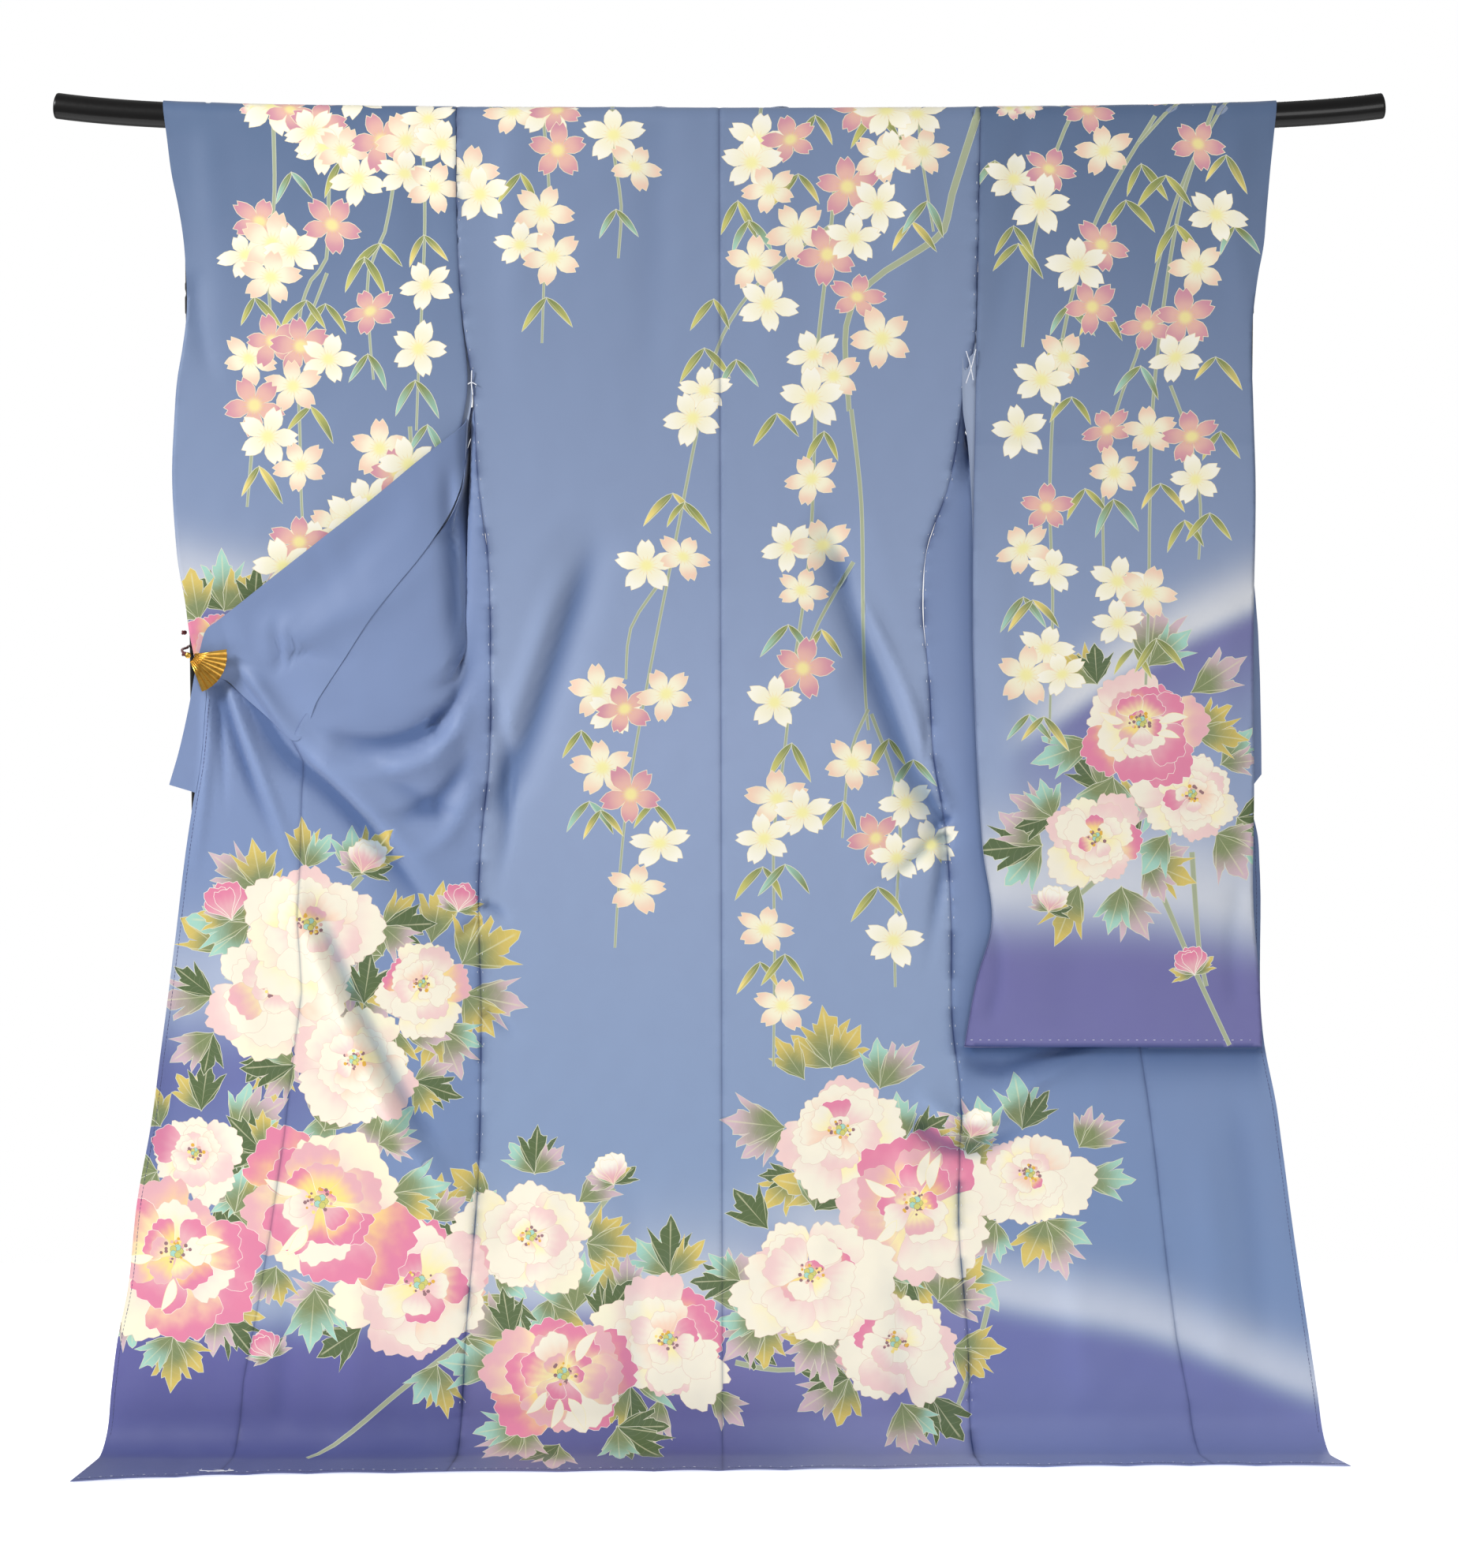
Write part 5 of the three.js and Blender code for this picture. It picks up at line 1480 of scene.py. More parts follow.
class SpreadCloth(Cloth):
    """A piece whose whole width hangs on the viewing side: a back, or an overlap."""

    def __init__(self, name: str, low: Callable, high: Callable, top: float | None,
                 edges: tuple[Edge, Edge]) -> None:
        """Takes the two outlines as functions of the tables' keys, and the top where it isn't the crest."""
        super().__init__(name, Ground(BODY_HAZES) if name.startswith("back") else FRONT_SHADED_GROUND, edges)
        self.low_key, self.high_key, self.flat_top = low, high, top
        self.hem_x = tuple(float(np.atleast_1d(edge(np.array([HEM_KEY])))[0]) for edge in (low, high))

    def low(self, v: Array) -> Array:
        """The lower-x edge."""
        return self.low_key(DRAPE.key(v, self.hem_x[0]))

    def high(self, v: Array) -> Array:
        """The higher-x edge."""
        return self.high_key(DRAPE.key(v, self.hem_x[1]))

    def start_x(self, side: int) -> float:
        """The hem's own end."""
        return self.hem_x[side]

    def bounds(self) -> tuple[Callable[[Array], Array], Callable[[Array], Array]]:
        """From the hem up to the crest, or to the flat top."""
        top = self.flat_top
        crest = (lambda x: DRAPE.crest(x) - 0.3) if top is None else (lambda x: np.full_like(x, top))
        return DRAPE.hem, crest

    def base(self, flat: Array) -> Array:
        """Straight down, round the bend and out on the floor."""
        x, v = flat.T
        return DRAPE.place(x, v, DRAPE.hang(x, np.clip(v, DRAPE.bend, DRAPE.axis_height)))

    def folds(self, flat: Array, world: Array) -> Array:
        """The body's folds, and long soft waves that deepen towards the hem."""
        lift = body_relief(flat)
        lower = smooth((620 - flat[:, 1]) / 600)
        return lift * self.depth + lower * 1.3 * waves(31, flat, 210.0, 5.0)

    def fold_list(self) -> tuple[Fold, ...]:
        """The body's folds."""
        return BODY_FOLDS

    def facing(self, flat: Array, world: Array) -> Array:
        """How far the piece hangs straight at points, from 0 to 1."""
        v = flat[:, 1]
        return smooth((v - 60) / 40) * smooth((DRAPE.axis(world[:, 0]) - 30 - v) / 60)

    def ways(self, flat: Array, world: Array) -> Array:
        """Straight out where the piece hangs, so that pieces that meet stay together."""
        return mix(super().ways(flat, world), np.array([0.0, -1.0, 0.0]), self.facing(flat, world)[:, None])

    def surface(self, flat: Array) -> Array:
        """Where points of the cut hang, clear of the sleeve behind them."""
        return DRAPE.cleared(super().surface(flat))


CUT_LEFT = (
    (1706, -327.7, 17.4, -270, 17.4, -213, 17.4, -156, 17.4, -97, 17.4),
    (1662, -327.7, 17.4, -270, 17.4, -213, 17.4, -158, 17.4, -104, 17.6),
    (1560, -326, 17.5, -286, 18, -246, 18.5, -204, 19, -160, 20),
    (1450, -320, 16, -298, 18, -274, 20, -250, 21, -221, 22),
    (1397, -315.5, 11, -304, 16, -290, 20, -273, 22, -252, 23),
    (1345, -307.7, -6, -310, 4, -304.5, 19, -296, 25, -284, 24),
    (1328, -307.2, -13, -310, 1, -306, 17, -300, 29, -292, 34),
    (1312, -306.8, -19, -311, -4, -305.5, 20, -303, 36, -301, 46),
    (1290, -306, -20, -311.5, -6, -301, 28, -307, 42, -313, 28),
    (1269, -304.6, -21, -312, -7, -300, 33, -312, 32, -317, -6),
    (1220, -301, -21, -314, -10, -297, 42, -319, 14, -323, -26),
    (1175, -296, -22, -316, -12, -299, 42, -327, -8, -344, -33),
    (1142, -291, -22, -317, -13, -301, 38, -329, -24, -371, -36),
    (1100, -289, -22, -318, -14, -309, 28, -329, -28, -405, -38),
    (1060, -288, -22, -319, -16, -317, 18, -330, -29, -437, -39),
    (1007, -288, -22, -319, -18, -326, -6, -337, -31, -472, -39),
    (960, -288, -22, -321, -22, -345, -27, -395, -36, -503, -39),
)
CUT_RIGHT = (
    (1706, 324.7, 17.4, 270, 17.4, 213, 17.4, 156, 17.4, 97, 17.4),
    (1662, 324.7, 17.4, 270, 17.4, 213, 17.4, 158, 17.4, 104, 17.6),
    (1560, 323.5, 17.5, 286, 18, 246, 18.5, 204, 19, 160, 20),
    (1450, 320, 16, 298, 18, 274, 20, 250, 21, 221, 22),
    (1397, 316, 10, 304, 15, 290, 19, 273, 21, 252, 22),
    (1345, 306.3, -9, 309, 2, 304, 14, 296, 20, 284, 20),
    (1328, 304, -14, 308.5, 0, 305, 17, 299, 29, 292, 34),
    (1312, 302, -18, 309, -4, 306, 20, 303, 36, 302, 46),
    (1290, 299, -20, 308, -8, 308, 12, 308, 30, 313, 24),
    (1269, 296.2, -20.5, 304, -14, 310, -2, 314, 5, 316, -3),
    (1220, 286, -21, 297, -19, 307, -17.5, 315, -17, 321, -17.5),
    (1175, 270, -21.5, 290, -20, 307, -18.7, 325, -18.7, 344, -18.7),
    (1142, 260.2, -21.5, 288, -20, 315, -18.7, 343, -18.7, 371, -18.7),
    (1100, 257, -21.5, 292, -20, 330, -18.7, 368, -18.7, 405, -18.7),
    (1060, 257, -21.5, 297, -20, 343, -18.7, 390, -18.7, 437, -18.7),
    (1007, 261.5, -21.5, 305, -20, 358, -18.7, 412, -18.7, 465, -18.7),
    (960, 265.5, -21.5, 314, -19.5, 373, -18.7, 433, -18.7, 493, -18.7),
)


class FrontCloth(SpreadCloth):
    """A front: it hangs from the rail's far side, turns out through the slit, and lies beside the back."""

    join = (905.0, 962.0)
    seam_at, side_at = 620.0, 330.0

    def __init__(self, name: str, cuts: Sequence[Sequence[float]], side: Callable, seam: Callable,
                 edges: tuple[Edge, Edge]) -> None:
        """Takes the cuts across its upper part, its side seam and the seam of its overlap."""
        self.out = -1.0 if cuts[0][1] < 0 else 1.0
        low, high = (seam, side) if self.out < 0 else (side, seam)
        super().__init__(name, low, high, None, edges)
        self.side, self.seam = side, seam
        rows = [list(cut) for cut in cuts]
        last = np.array(cuts[-1][1:]).reshape(5, 2)
        shares = (last[:, 0] - last[0, 0]) / (last[4, 0] - last[0, 0])
        for z in (908.0, 879.0, 840.0):
            ends = [float(edge(np.array([z]))[0]) for edge in (side, seam)]
            x = mix(ends[0], ends[1], shares)
            y = DRAPE.hang(x, np.full(5, z))
            rows.append([z, *np.stack([x, y], axis=1).ravel()])
        self.cut_rows = flowing(rows)
        table = np.array(sorted(rows))
        points = table[:, 1:].reshape(len(table), 5, 2)
        steps = np.linalg.norm(np.diff(points, axis=1), axis=2)
        run = np.concatenate([np.zeros((len(table), 1)), np.cumsum(steps, axis=1)], axis=1)
        self.heights, self.widths = table[:, 0], run[:, -1]
        self.shares = run / run[:, -1:]

    def width(self, v: Array) -> Array:
        """The flat width of the front at a height."""
        spread = np.abs(self.seam(DRAPE.key(v, self.out * self.seam_at)) - self.side_x(v))
        return mix(spread, np.interp(v, self.heights, self.widths), smooth((v - 896) / 14))

    def side_x(self, v: Array) -> Array:
        """The flat place of the side seam."""
        return self.side(DRAPE.key(v, self.out * self.side_at))

    def low(self, v: Array) -> Array:
        """The lower-x edge of the flat cut."""
        return self.side_x(v) - self.width(v) if self.out < 0 else self.side_x(v)

    def high(self, v: Array) -> Array:
        """The higher-x edge of the flat cut."""
        return self.side_x(v) if self.out < 0 else self.side_x(v) + self.width(v)

    def base(self, flat: Array) -> Array:
        """The upper part from its cuts, and the lower part beside the back."""
        x, v = flat.T
        spread = super().base(flat)
        upper = v > self.join[0]
        if not upper.any():
            return spread
        x, v = x[upper], v[upper]
        share = np.clip(self.out * (x - self.side_x(v)) / self.width(v), -0.02, 1.02)
        knots = np.stack([np.interp(v, self.heights, self.shares[:, k]) for k in range(5)], axis=1)
        place = sum(np.clip((share - knots[:, k]) / (knots[:, k + 1] - knots[:, k]), 0, 1) for k in range(4))
        across = through(self.cut_rows(v).reshape(-1, 5, 2), place)
        axis = DRAPE.axis(across[:, 0])
        over = np.clip((v - axis) / DRAPE.radius, 0, QUARTER)
        y = np.where(v > axis, DRAPE.radius * np.cos(over), across[:, 1])
        height = np.where(v > axis, axis + DRAPE.radius * np.sin(over), v)
        turned = np.stack([across[:, 0], y, height], axis=1)
        weight = smooth((v - self.join[0]) / (self.join[1] - self.join[0]))[:, None]
        spread[upper] = mix(spread[upper], turned, weight)
        return spread

    def facing(self, flat: Array, world: Array) -> Array:
        """How far the front shows and hangs straight at points, from 0 to 1."""
        seen = np.where(flat[:, 1] < self.join[0], 1.0, outward(world))
        return super().facing(flat, world) * seen

    def folds(self, flat: Array, world: Array) -> Array:
        """The body's folds where the front shows, and soft waves where it hangs on the far side."""
        v = flat[:, 1]
        seen = np.where(v < self.join[0], 1.0, outward(world))
        lift = body_relief(world[:, [0, 2]]) * seen
        lower = smooth((620 - v) / 600)
        far = smooth((v - 1380) / 60) * smooth((1690 - v) / 60)
        lift = lift * self.depth + lower * 1.3 * waves(31, flat, 210.0, 5.0)
        return lift + far * 1.6 * waves(41, flat, 130.0, 5.0)

    def build(self, design: list[Patch], materials: Sequence[bpy.types.Material]) -> bpy.types.Object:
        """Builds the front, without the design that belongs to the cloth in front of its upper part."""
        top = self.join[0] + 60
        mine = [p for p in design if p.outline[:, 1].max() < top or p.origin[1] < 800]
        return super().build(mine, materials)


@dataclass(frozen=True)
class SleeveShape:
    """The outline and the depths of one sleeve."""

    inner: Callable
    inner_far: Callable
    edge: Callable
    near: Callable
    far: Callable
    side: Callable
    folds: tuple[Fold, ...]


SLEEVE_LEFT = SleeveShape(
    SLEEVE_LEFT_INNER, SLEEVE_LEFT_FAR, SLEEVE_LEFT_EDGE,
    flowing([(1700, -17.4), (1605, -17.8), (1534, -18.4), (1500, -18.8), (1475, -19.4), (1300, -21),
             (521, -21.5)]),
    flowing([(1700, 17.4), (1640, 17.3), (1605, 16.8), (1580, 12), (1534, -3), (1500, -14.4), (1475, -15.2),
             (1300, -15.6),
             (521, -15.8)]),
    SIDE_LEFT, SLEEVE_FOLDS_LEFT)
SLEEVE_RIGHT = SleeveShape(
    SLEEVE_RIGHT_INNER, SLEEVE_RIGHT_FAR, SLEEVE_RIGHT_EDGE,
    flowing([(1700, -17.4), (1605, -17.8), (1534, -18.4), (1500, -19), (1475, -20), (1390, -24), (1300, -29),
             (1000, -31), (521, -32)]),
    flowing([(1700, 17.4), (1640, 17.3), (1605, 16.8), (1580, 12), (1534, -3), (1500, -14.4), (1475, -15.2),
             (1390, -18.5),
             (1300, -22.8), (1000, -24), (521, -25)]),
    SIDE_RIGHT, SLEEVE_FOLDS_RIGHT)


class SleeveCloth(Cloth):
    """A sleeve: one strip folded over the rail, closed along its bottom and below the wrist."""

    foot, wrist, notch, notch_top, lip = DRAPE.sleeve_foot, 1461.0, 634.0, 1593.0, 3.2
    turn = 1706.25

    def __init__(self, name: str, shape: SleeveShape, ground: Ground) -> None:
        """Takes the sleeve's shape and its ground."""
        self.shape = shape
        self.out = -1.0 if shape.edge(np.array([600.0]))[0] < 0 else 1.0
        edges = (FREE_EDGE, SHOULDER_SEAM) if self.out < 0 else (SHOULDER_SEAM, FREE_EDGE)
        super().__init__(name, ground, edges)

    def height(self, v: Array) -> Array:
        """The height of a cloth coordinate on either half of the strip."""
        return np.where(v > self.turn, 2 * self.turn - v, v)

    def inner_x(self, v: Array) -> Array:
        """The edge beside the body."""
        return np.where(v > self.turn, self.shape.inner_far(self.height(v)), self.shape.inner(self.height(v)))

    def outer_x(self, v: Array) -> Array:
        """The wrist's edge, which steps in on the far half where the post passes it."""
        z = self.height(v)
        edge = self.shape.edge(z)
        notched = smooth((self.notch_top + 10 - z) / 16) * smooth((z - self.wrist + 8) / 16) * (v > self.turn)
        return mix(edge, self.out * self.notch, notched)

    def low(self, v: Array) -> Array:
        """The lower-x edge."""
        return self.outer_x(v) if self.out < 0 else self.inner_x(v)

    def high(self, v: Array) -> Array:
        """The higher-x edge."""
        return self.inner_x(v) if self.out < 0 else self.outer_x(v)

    def start_x(self, side: int) -> float:
        """The end of the sleeve's foot."""
        return float((self.low if side == 0 else self.high)(np.array([self.foot]))[0])

    def bounds(self) -> tuple[Callable[[Array], Array], Callable[[Array], Array]]:
        """From the foot of the near half to the foot of the far half."""
        return (lambda x: np.full_like(x, self.foot)), (lambda x: np.full_like(x, 2 * self.turn - self.foot))

    def base(self, flat: Array) -> Array:
        """Up the near half, over the rail, and down the far half."""
        x, v = flat.T
        crest = DRAPE.crest(x)
        shift = crest - self.turn
        far = v > self.turn
        z = self.height(v)
        near_y, far_y = self.shape.near(z), self.shape.far(z)
        seam = np.atleast_1d(self.shape.side(np.clip(z, 0, 1680)))
        beside = smooth(1 - np.abs(x - self.inner_x(v)) / 45) * smooth((z - 1485) / 50)
        near_y = mix(near_y, DRAPE.hang(seam * 0.999, np.minimum(z, 1679)), beside)
        middle, half = (near_y + far_y) / 2, np.abs(near_y - far_y) / 2
        to_edge = np.abs(x - self.outer_x(v))
        to_edge = np.where(z < self.wrist, to_edge, to_edge + (z - self.wrist) * 0.5)
        t = np.clip(np.minimum(to_edge, z - self.foot) / self.lip, 0, 1)
        round_off = np.sqrt(np.clip(1 - (1 - t) ** 2, 0, 1))
        gap = np.maximum(half * round_off, np.minimum(half, self.thickness * 0.52))
        depth = np.where(far, middle + np.sign(far_y - near_y) * gap, middle - np.sign(far_y - near_y) * gap)
        axis = DRAPE.axis(x)
        rise = smooth((z - 1560) / 120) * shift
        lifted = z + rise
        over = np.clip((lifted - axis) / DRAPE.radius, 0, QUARTER)
        y = np.where(lifted > axis, np.where(far, 1, -1) * DRAPE.radius * np.cos(over), depth)
        height = np.where(lifted > axis, axis + DRAPE.radius * np.sin(over), lifted)
        return np.stack([x, y, height], axis=1)

    def folds(self, flat: Array, world: Array) -> Array:
        """The sleeve's folds, the same on its two halves, which lie on each other."""
        seen = np.stack([flat[:, 0], self.height(flat[:, 1])], axis=1)
        lift = sum(fold.relief(seen) for fold in self.shape.folds) + 0.7 * waves(51, seen, 190.0, 4.0)
        return np.where(flat[:, 1] > self.turn, -lift, lift)

    def relief(self, flat: Array, world: Array) -> Array:
        """The folds and the seams."""
        x, v = flat.T
        lift = self.folds(flat, world) * smooth((np.abs(v - self.turn) - 24) / 60)
        lift = lift + self.edges[0].relief(x - self.low(v), v) + self.edges[1].relief(self.high(v) - x, v)
        return lift + 0.12 * waves(22, flat, 58.0, 1.6)

    def fold_list(self) -> tuple[Fold, ...]:
        """The sleeve's folds."""
        return self.shape.folds

    def seen(self, flat: Array, world: Array) -> Array:
        """Both halves take the ground at their height."""
        return np.stack([flat[:, 0], self.height(flat[:, 1])], axis=1)


COLLAR_LEFT = (
    (1662, None, -58, 19.5, 1634), (1560, None, -108, 22, 1528), (1450, None, -168, 25, 1418),
    (1397, None, -204, 27, 1368), (1345, None, -252, 34, 1338), (1328, None, -290, 54, 1334),
    (1312, None, -316, 34, 1326), (1290, None, -318, -2, 1316), (1269, None, -318.5, -27, 1302),
    (1220, None, -346, -34, 1279), (1175, None, -380, -37, 1252), (1142, None, -410, -38, 1227),
    (1100, None, -447, -39, 1197), (1060, None, -483, -40, 1169), (1007, None, -524, -40, 1137),
    (960, None, -560, -40, 1109), (908, -537, -598, -40, 1079), (930, -562, -612, -40, 1068),
    (960, -596, -629, -40, 1055), (985, -625, -644, -40, 1041), (985, -642, -650, -40, 1020),
    (960, -644, -657, -39, 990), (930, -647, -664, -39, 953), (908, -649, -670, -39, 925),
    (879, -652.6, -678, -39, 893), (840, -659.5, -691, -38, 850))
COLLAR_RIGHT = (
    (1662, None, 58, 19.5, 1634), (1560, None, 108, 22, 1528), (1450, None, 168, 25, 1418),
    (1397, None, 204, 26, 1368), (1345, None, 252, 34, 1338), (1328, None, 290, 54, 1334),
    (1312, None, 314, 34, 1326), (1290, None, 317, -2, 1316), (1269, None, 317.5, -18, 1302),
    (1220, None, 362, -18.7, 1281), (1175, None, 392, -18.7, 1262), (1142, None, 418, -18.7, 1249),
    (1100, None, 460, -18.7, 1226), (1060, None, 502, -18.7, 1203), (1007, None, 545, -18.7, 1180),
    (960, None, 590, -18.7, 1155), (908, 520, 630, -18.7, 1134), (930, 552.6, 648, -18.7, 1124),
    (960, 597, 661, -18.7, 1116), (985, 634, 671, -18.7, 1106), (985, 655, 676, -18.7, 1060),
    (960, 657, 679, -18.7, 1015), (930, 659.4, 681, -18.7, 970), (908, 661, 682, -18.7, 940),
    (879, 663.6, 683, -18.7, 905), (840, 667, 684, -18.7, 862))
COLLAR_NECK = ((95.4, 27.2, 59, 68), (95.4, 22.5, 60, 67.5), (95.4, 18, 60, 67), (94.6, 12.5, 61, 66),
               (92, 8, 61, 65), (45, 6, 32, 60), (0, 6, 0, 58))


class CollarCloth(Cloth):
    """The collar band: up one front, round the neck on the far side of the rail, and down the other."""

    shares = np.array([0.0, 0.15, 0.3, 0.45, 1.0])
    turn, lap, lift = 12.0, 1.6, 0.9

    def __init__(self) -> None:
        """Works out the band's rows and their places along it."""
        super().__init__("collar_band", FRONT_SHADED_GROUND)
        rows = [*self.front_rows(COLLAR_LEFT, CUT_LEFT)[::-1], *self.neck_rows(-1),
                *self.neck_rows(1)[-2::-1],
                *self.front_rows(COLLAR_RIGHT, CUT_RIGHT)]
        grid = np.array(rows)
        middle = grid.mean(axis=1)
        steps = np.linalg.norm(np.diff(middle, axis=0), axis=1)
        self.run = np.concatenate([[0.0], np.cumsum(np.maximum(steps, 4.0))])
        self.rows = flowing(np.concatenate([self.run[:, None], grid.reshape(len(grid), -1)], axis=1))

    def front_rows(self, steps: Sequence, cuts: Sequence[Sequence[float]]) -> list[Array]:
        """The rows beside one front, each from its seam to its free edge."""
        seams = {cut[0]: (cut[9], cut[10], cut[0]) for cut in cuts}
        rows = []
        for seam_z, seam_x, *free in steps:
            if seam_x is None:
                seam = np.array(seams[seam_z], dtype=float)
            else:
                depth = float(DRAPE.hang(np.array([seam_x]), np.array([float(seam_z)]))[0])
                seam = np.array([seam_x, depth, seam_z], dtype=float)
            free = np.array(free, dtype=float)
            turning = seam_x is None and 1160 < seam_z < 1360
            reach = np.linalg.norm(free - seam)
            start = (3.0 if turning else -self.lap) / reach
            if seam_z <= 1160 or seam_x is not None:
                seam[1] -= self.lift
                free[1] -= self.lift * 0.5
            rows.append(np.array([mix(seam, free, mix(start, 1, share)) for share in self.shares]))
        return rows

    def neck_rows(self, side: int) -> list[Array]:
        """The rows round one half of the neck, over the far side of the rail."""
        rows = []
        quarter = DRAPE.radius * QUARTER
        for seam_x, seam_drop, free_x, free_drop in COLLAR_NECK:
            on_bar = max(quarter, seam_drop + self.turn)
            drops = [mix(seam_drop, on_bar, k / 3) for k in range(4)] + [free_drop]
            row = []
            for drop in drops:
                x = side * mix(seam_x, free_x, (drop - seam_drop) / (free_drop - seam_drop))
                axis = float(DRAPE.axis(np.array([x]))[0])
                if drop < quarter:
                    angle = drop / DRAPE.radius
                    row.append((x, DRAPE.radius * math.sin(angle), axis + DRAPE.radius * math.cos(angle)))
                else:
                    row.append((x, DRAPE.radius + (drop - quarter) * 0.04, axis - (drop - quarter)))
            rows.append(np.array(row))
        return rows

    def base(self, flat: Array) -> Array:
        """Points of the band: along it, and from its seam at 0 to its free edge at 4."""
        along, across = flat.T
        return through(self.rows(along).reshape(-1, 5, 3), np.clip(across, 0, 4))

    def folds(self, flat: Array, world: Array) -> Array:
        """The body's folds where the band shows."""
        at = world[:, [0, 2]]
        waved = 0.55 * waves(21, at, 260.0, 2.4) + 0.16 * waves(22, at, 58.0, 1.6)
        return (body_relief(at) * self.depth + waved) * outward(world)

    def relief(self, flat: Array, world: Array) -> Array:
        """The folds, and the fuller roll of the free edge."""
        along, across = flat.T
        puckers = 0.25 * np.sin(along / 9.0 + np.sin(along / 31.0))
        return self.folds(flat, world) + puckers * smooth(across / 4)

    def build(self, design: list[Patch], materials: Sequence[bpy.types.Material]) -> bpy.types.Object:
        """Builds the plain dyed band."""
        rows = np.linspace(0.4, self.run[-1] - 0.4, round(self.run[-1] / 5.0))
        columns = np.linspace(0, 4, 21)
        along, across = np.meshgrid(rows, columns, indexing="ij")
        flat = np.stack([along.ravel(), across.ravel()], axis=1)
        wide = len(columns)
        corner = (np.arange(len(rows) - 1)[:, None] * wide + np.arange(wide - 1)).ravel()
        tris = np.concatenate([np.stack([corner, corner + 1, corner + wide + 1], axis=1),
                               np.stack([corner, corner + wide + 1, corner + wide], axis=1)])
        band = Sheet(flat * (1.0, 15.0), tris, np.zeros(len(tris), dtype=int))
        band.hang(self.base(flat))
        seen = (band.world[:, 0] < -400) & (band.world[:, 2] > 1000)
        if band.normals[seen, 1].mean() > 0:
            band.tris = band.tris[:, ::-1]
            band.hang(band.world)
        ways = mix(band.normals, np.array([0.0, -1.0, 0.0]), outward(band.world)[:, None])
        band.hang(DRAPE.cleared(band.world + ways * self.relief(flat, band.world)[:, None]))
        paint = self.ground.colour(self.seen(flat, band.world))[band.tris]
        return self.shell(band, band, (paint, paint.copy(), np.zeros(paint.shape)), materials)

    def seen(self, flat: Array, world: Array) -> Array:
        """The band takes the ground at its place in the world."""
        return world[:, [0, 2]]


# ---------------------------------------------------------------- the layout of the design


@dataclass(frozen=True)
class Strand:
    """A hanging strand of weeping cherry: its twigs, its blossoms with their tints, and its leaf pairs."""

    twigs: tuple[tuple[tuple[float, float], ...], ...] = ()
    blooms: tuple[tuple, ...] = ()
    leaves: tuple[tuple[float, float], ...] = ()
    width: float = 3.6


SLEEVE_LEFT_CHERRY = Strand(
    twigs=(
        ((-555, 1715), (-555, 1590), (-560, 1510), (-560, 1420)),
        ((-370, 1715), (-370, 1580), (-370, 1470), (-375, 1370), (-380, 1295)),
        ((-410, 1590), (-420, 1540), (-435, 1490), (-440, 1420), (-435, 1355)),
        ((-485, 1600), (-490, 1510), (-510, 1480), (-525, 1420), (-525, 1280), (-525, 1200), (-520, 1120)),
        ((-490, 1490), (-515, 1420)), ((-585, 1280), (-590, 1200)),
        ((-390, 1300), (-385, 1240), (-405, 1200), (-440, 1140)),
    ),
    blooms=(
        (-585, 1690, "b"), (-560, 1690), (-535, 1685, "p"), (-500, 1670, "p"), (-495, 1640), (-510, 1665),
        (-470, 1640, "h"), (-450, 1610), (-425, 1655, "p"), (-390, 1655, "h"), (-365, 1680), (-350, 1645),
        (-390, 1610), (-360, 1600, "h"), (-570, 1550, "p"), (-595, 1515), (-560, 1525, "h"), (-530, 1515),
        (-560, 1480, "h"), (-485, 1550, "p"), (-435, 1445, "p"), (-370, 1470), (-375, 1395),
        (-585, 1380, "h"),
        (-560, 1405, "p"), (-520, 1395, "p"), (-485, 1380), (-530, 1350, "h"), (-585, 1325, "p"),
        (-570, 1290),
        (-520, 1250, "h"), (-430, 1270, "h"), (-445, 1210), (-405, 1240, "p"), (-390, 1250),
        (-485, 1175, "h"),
        (-460, 1180), (-510, 1150), (-530, 1150, "p"), (-545, 1120),
    ),
    leaves=(
        (-585, 1455), (-475, 1630), (-535, 1610), (-500, 1420), (-495, 1455), (-510, 1325), (-440, 1390),
        (-370, 1535), (-425, 1525), (-440, 1505), (-380, 1360), (-580, 1245), (-530, 1115), (-515, 1460),
        (-370, 1300),
    ),
)
BACK_LEFT_CHERRY = Strand(
    twigs=(
        ((-290, 1715), (-280, 1680)), ((-220, 1715), (-215, 1590), (-220, 1500), (-220, 1405)),
        ((-135, 1715), (-130, 1640), (-120, 1570), (-125, 1505)),
    ),
    blooms=(
        (-310, 1615, "h"), (-255, 1685, "h"), (-220, 1690), (-205, 1695, "p"), (-200, 1640, "p"),
        (-220, 1565, "h"),
        (-245, 1520), (-210, 1505, "h"), (-135, 1660), (-110, 1620, "h"), (-300, 1585),
    ),
    leaves=((-245, 1610), (-220, 1455), (-125, 1570)),
)
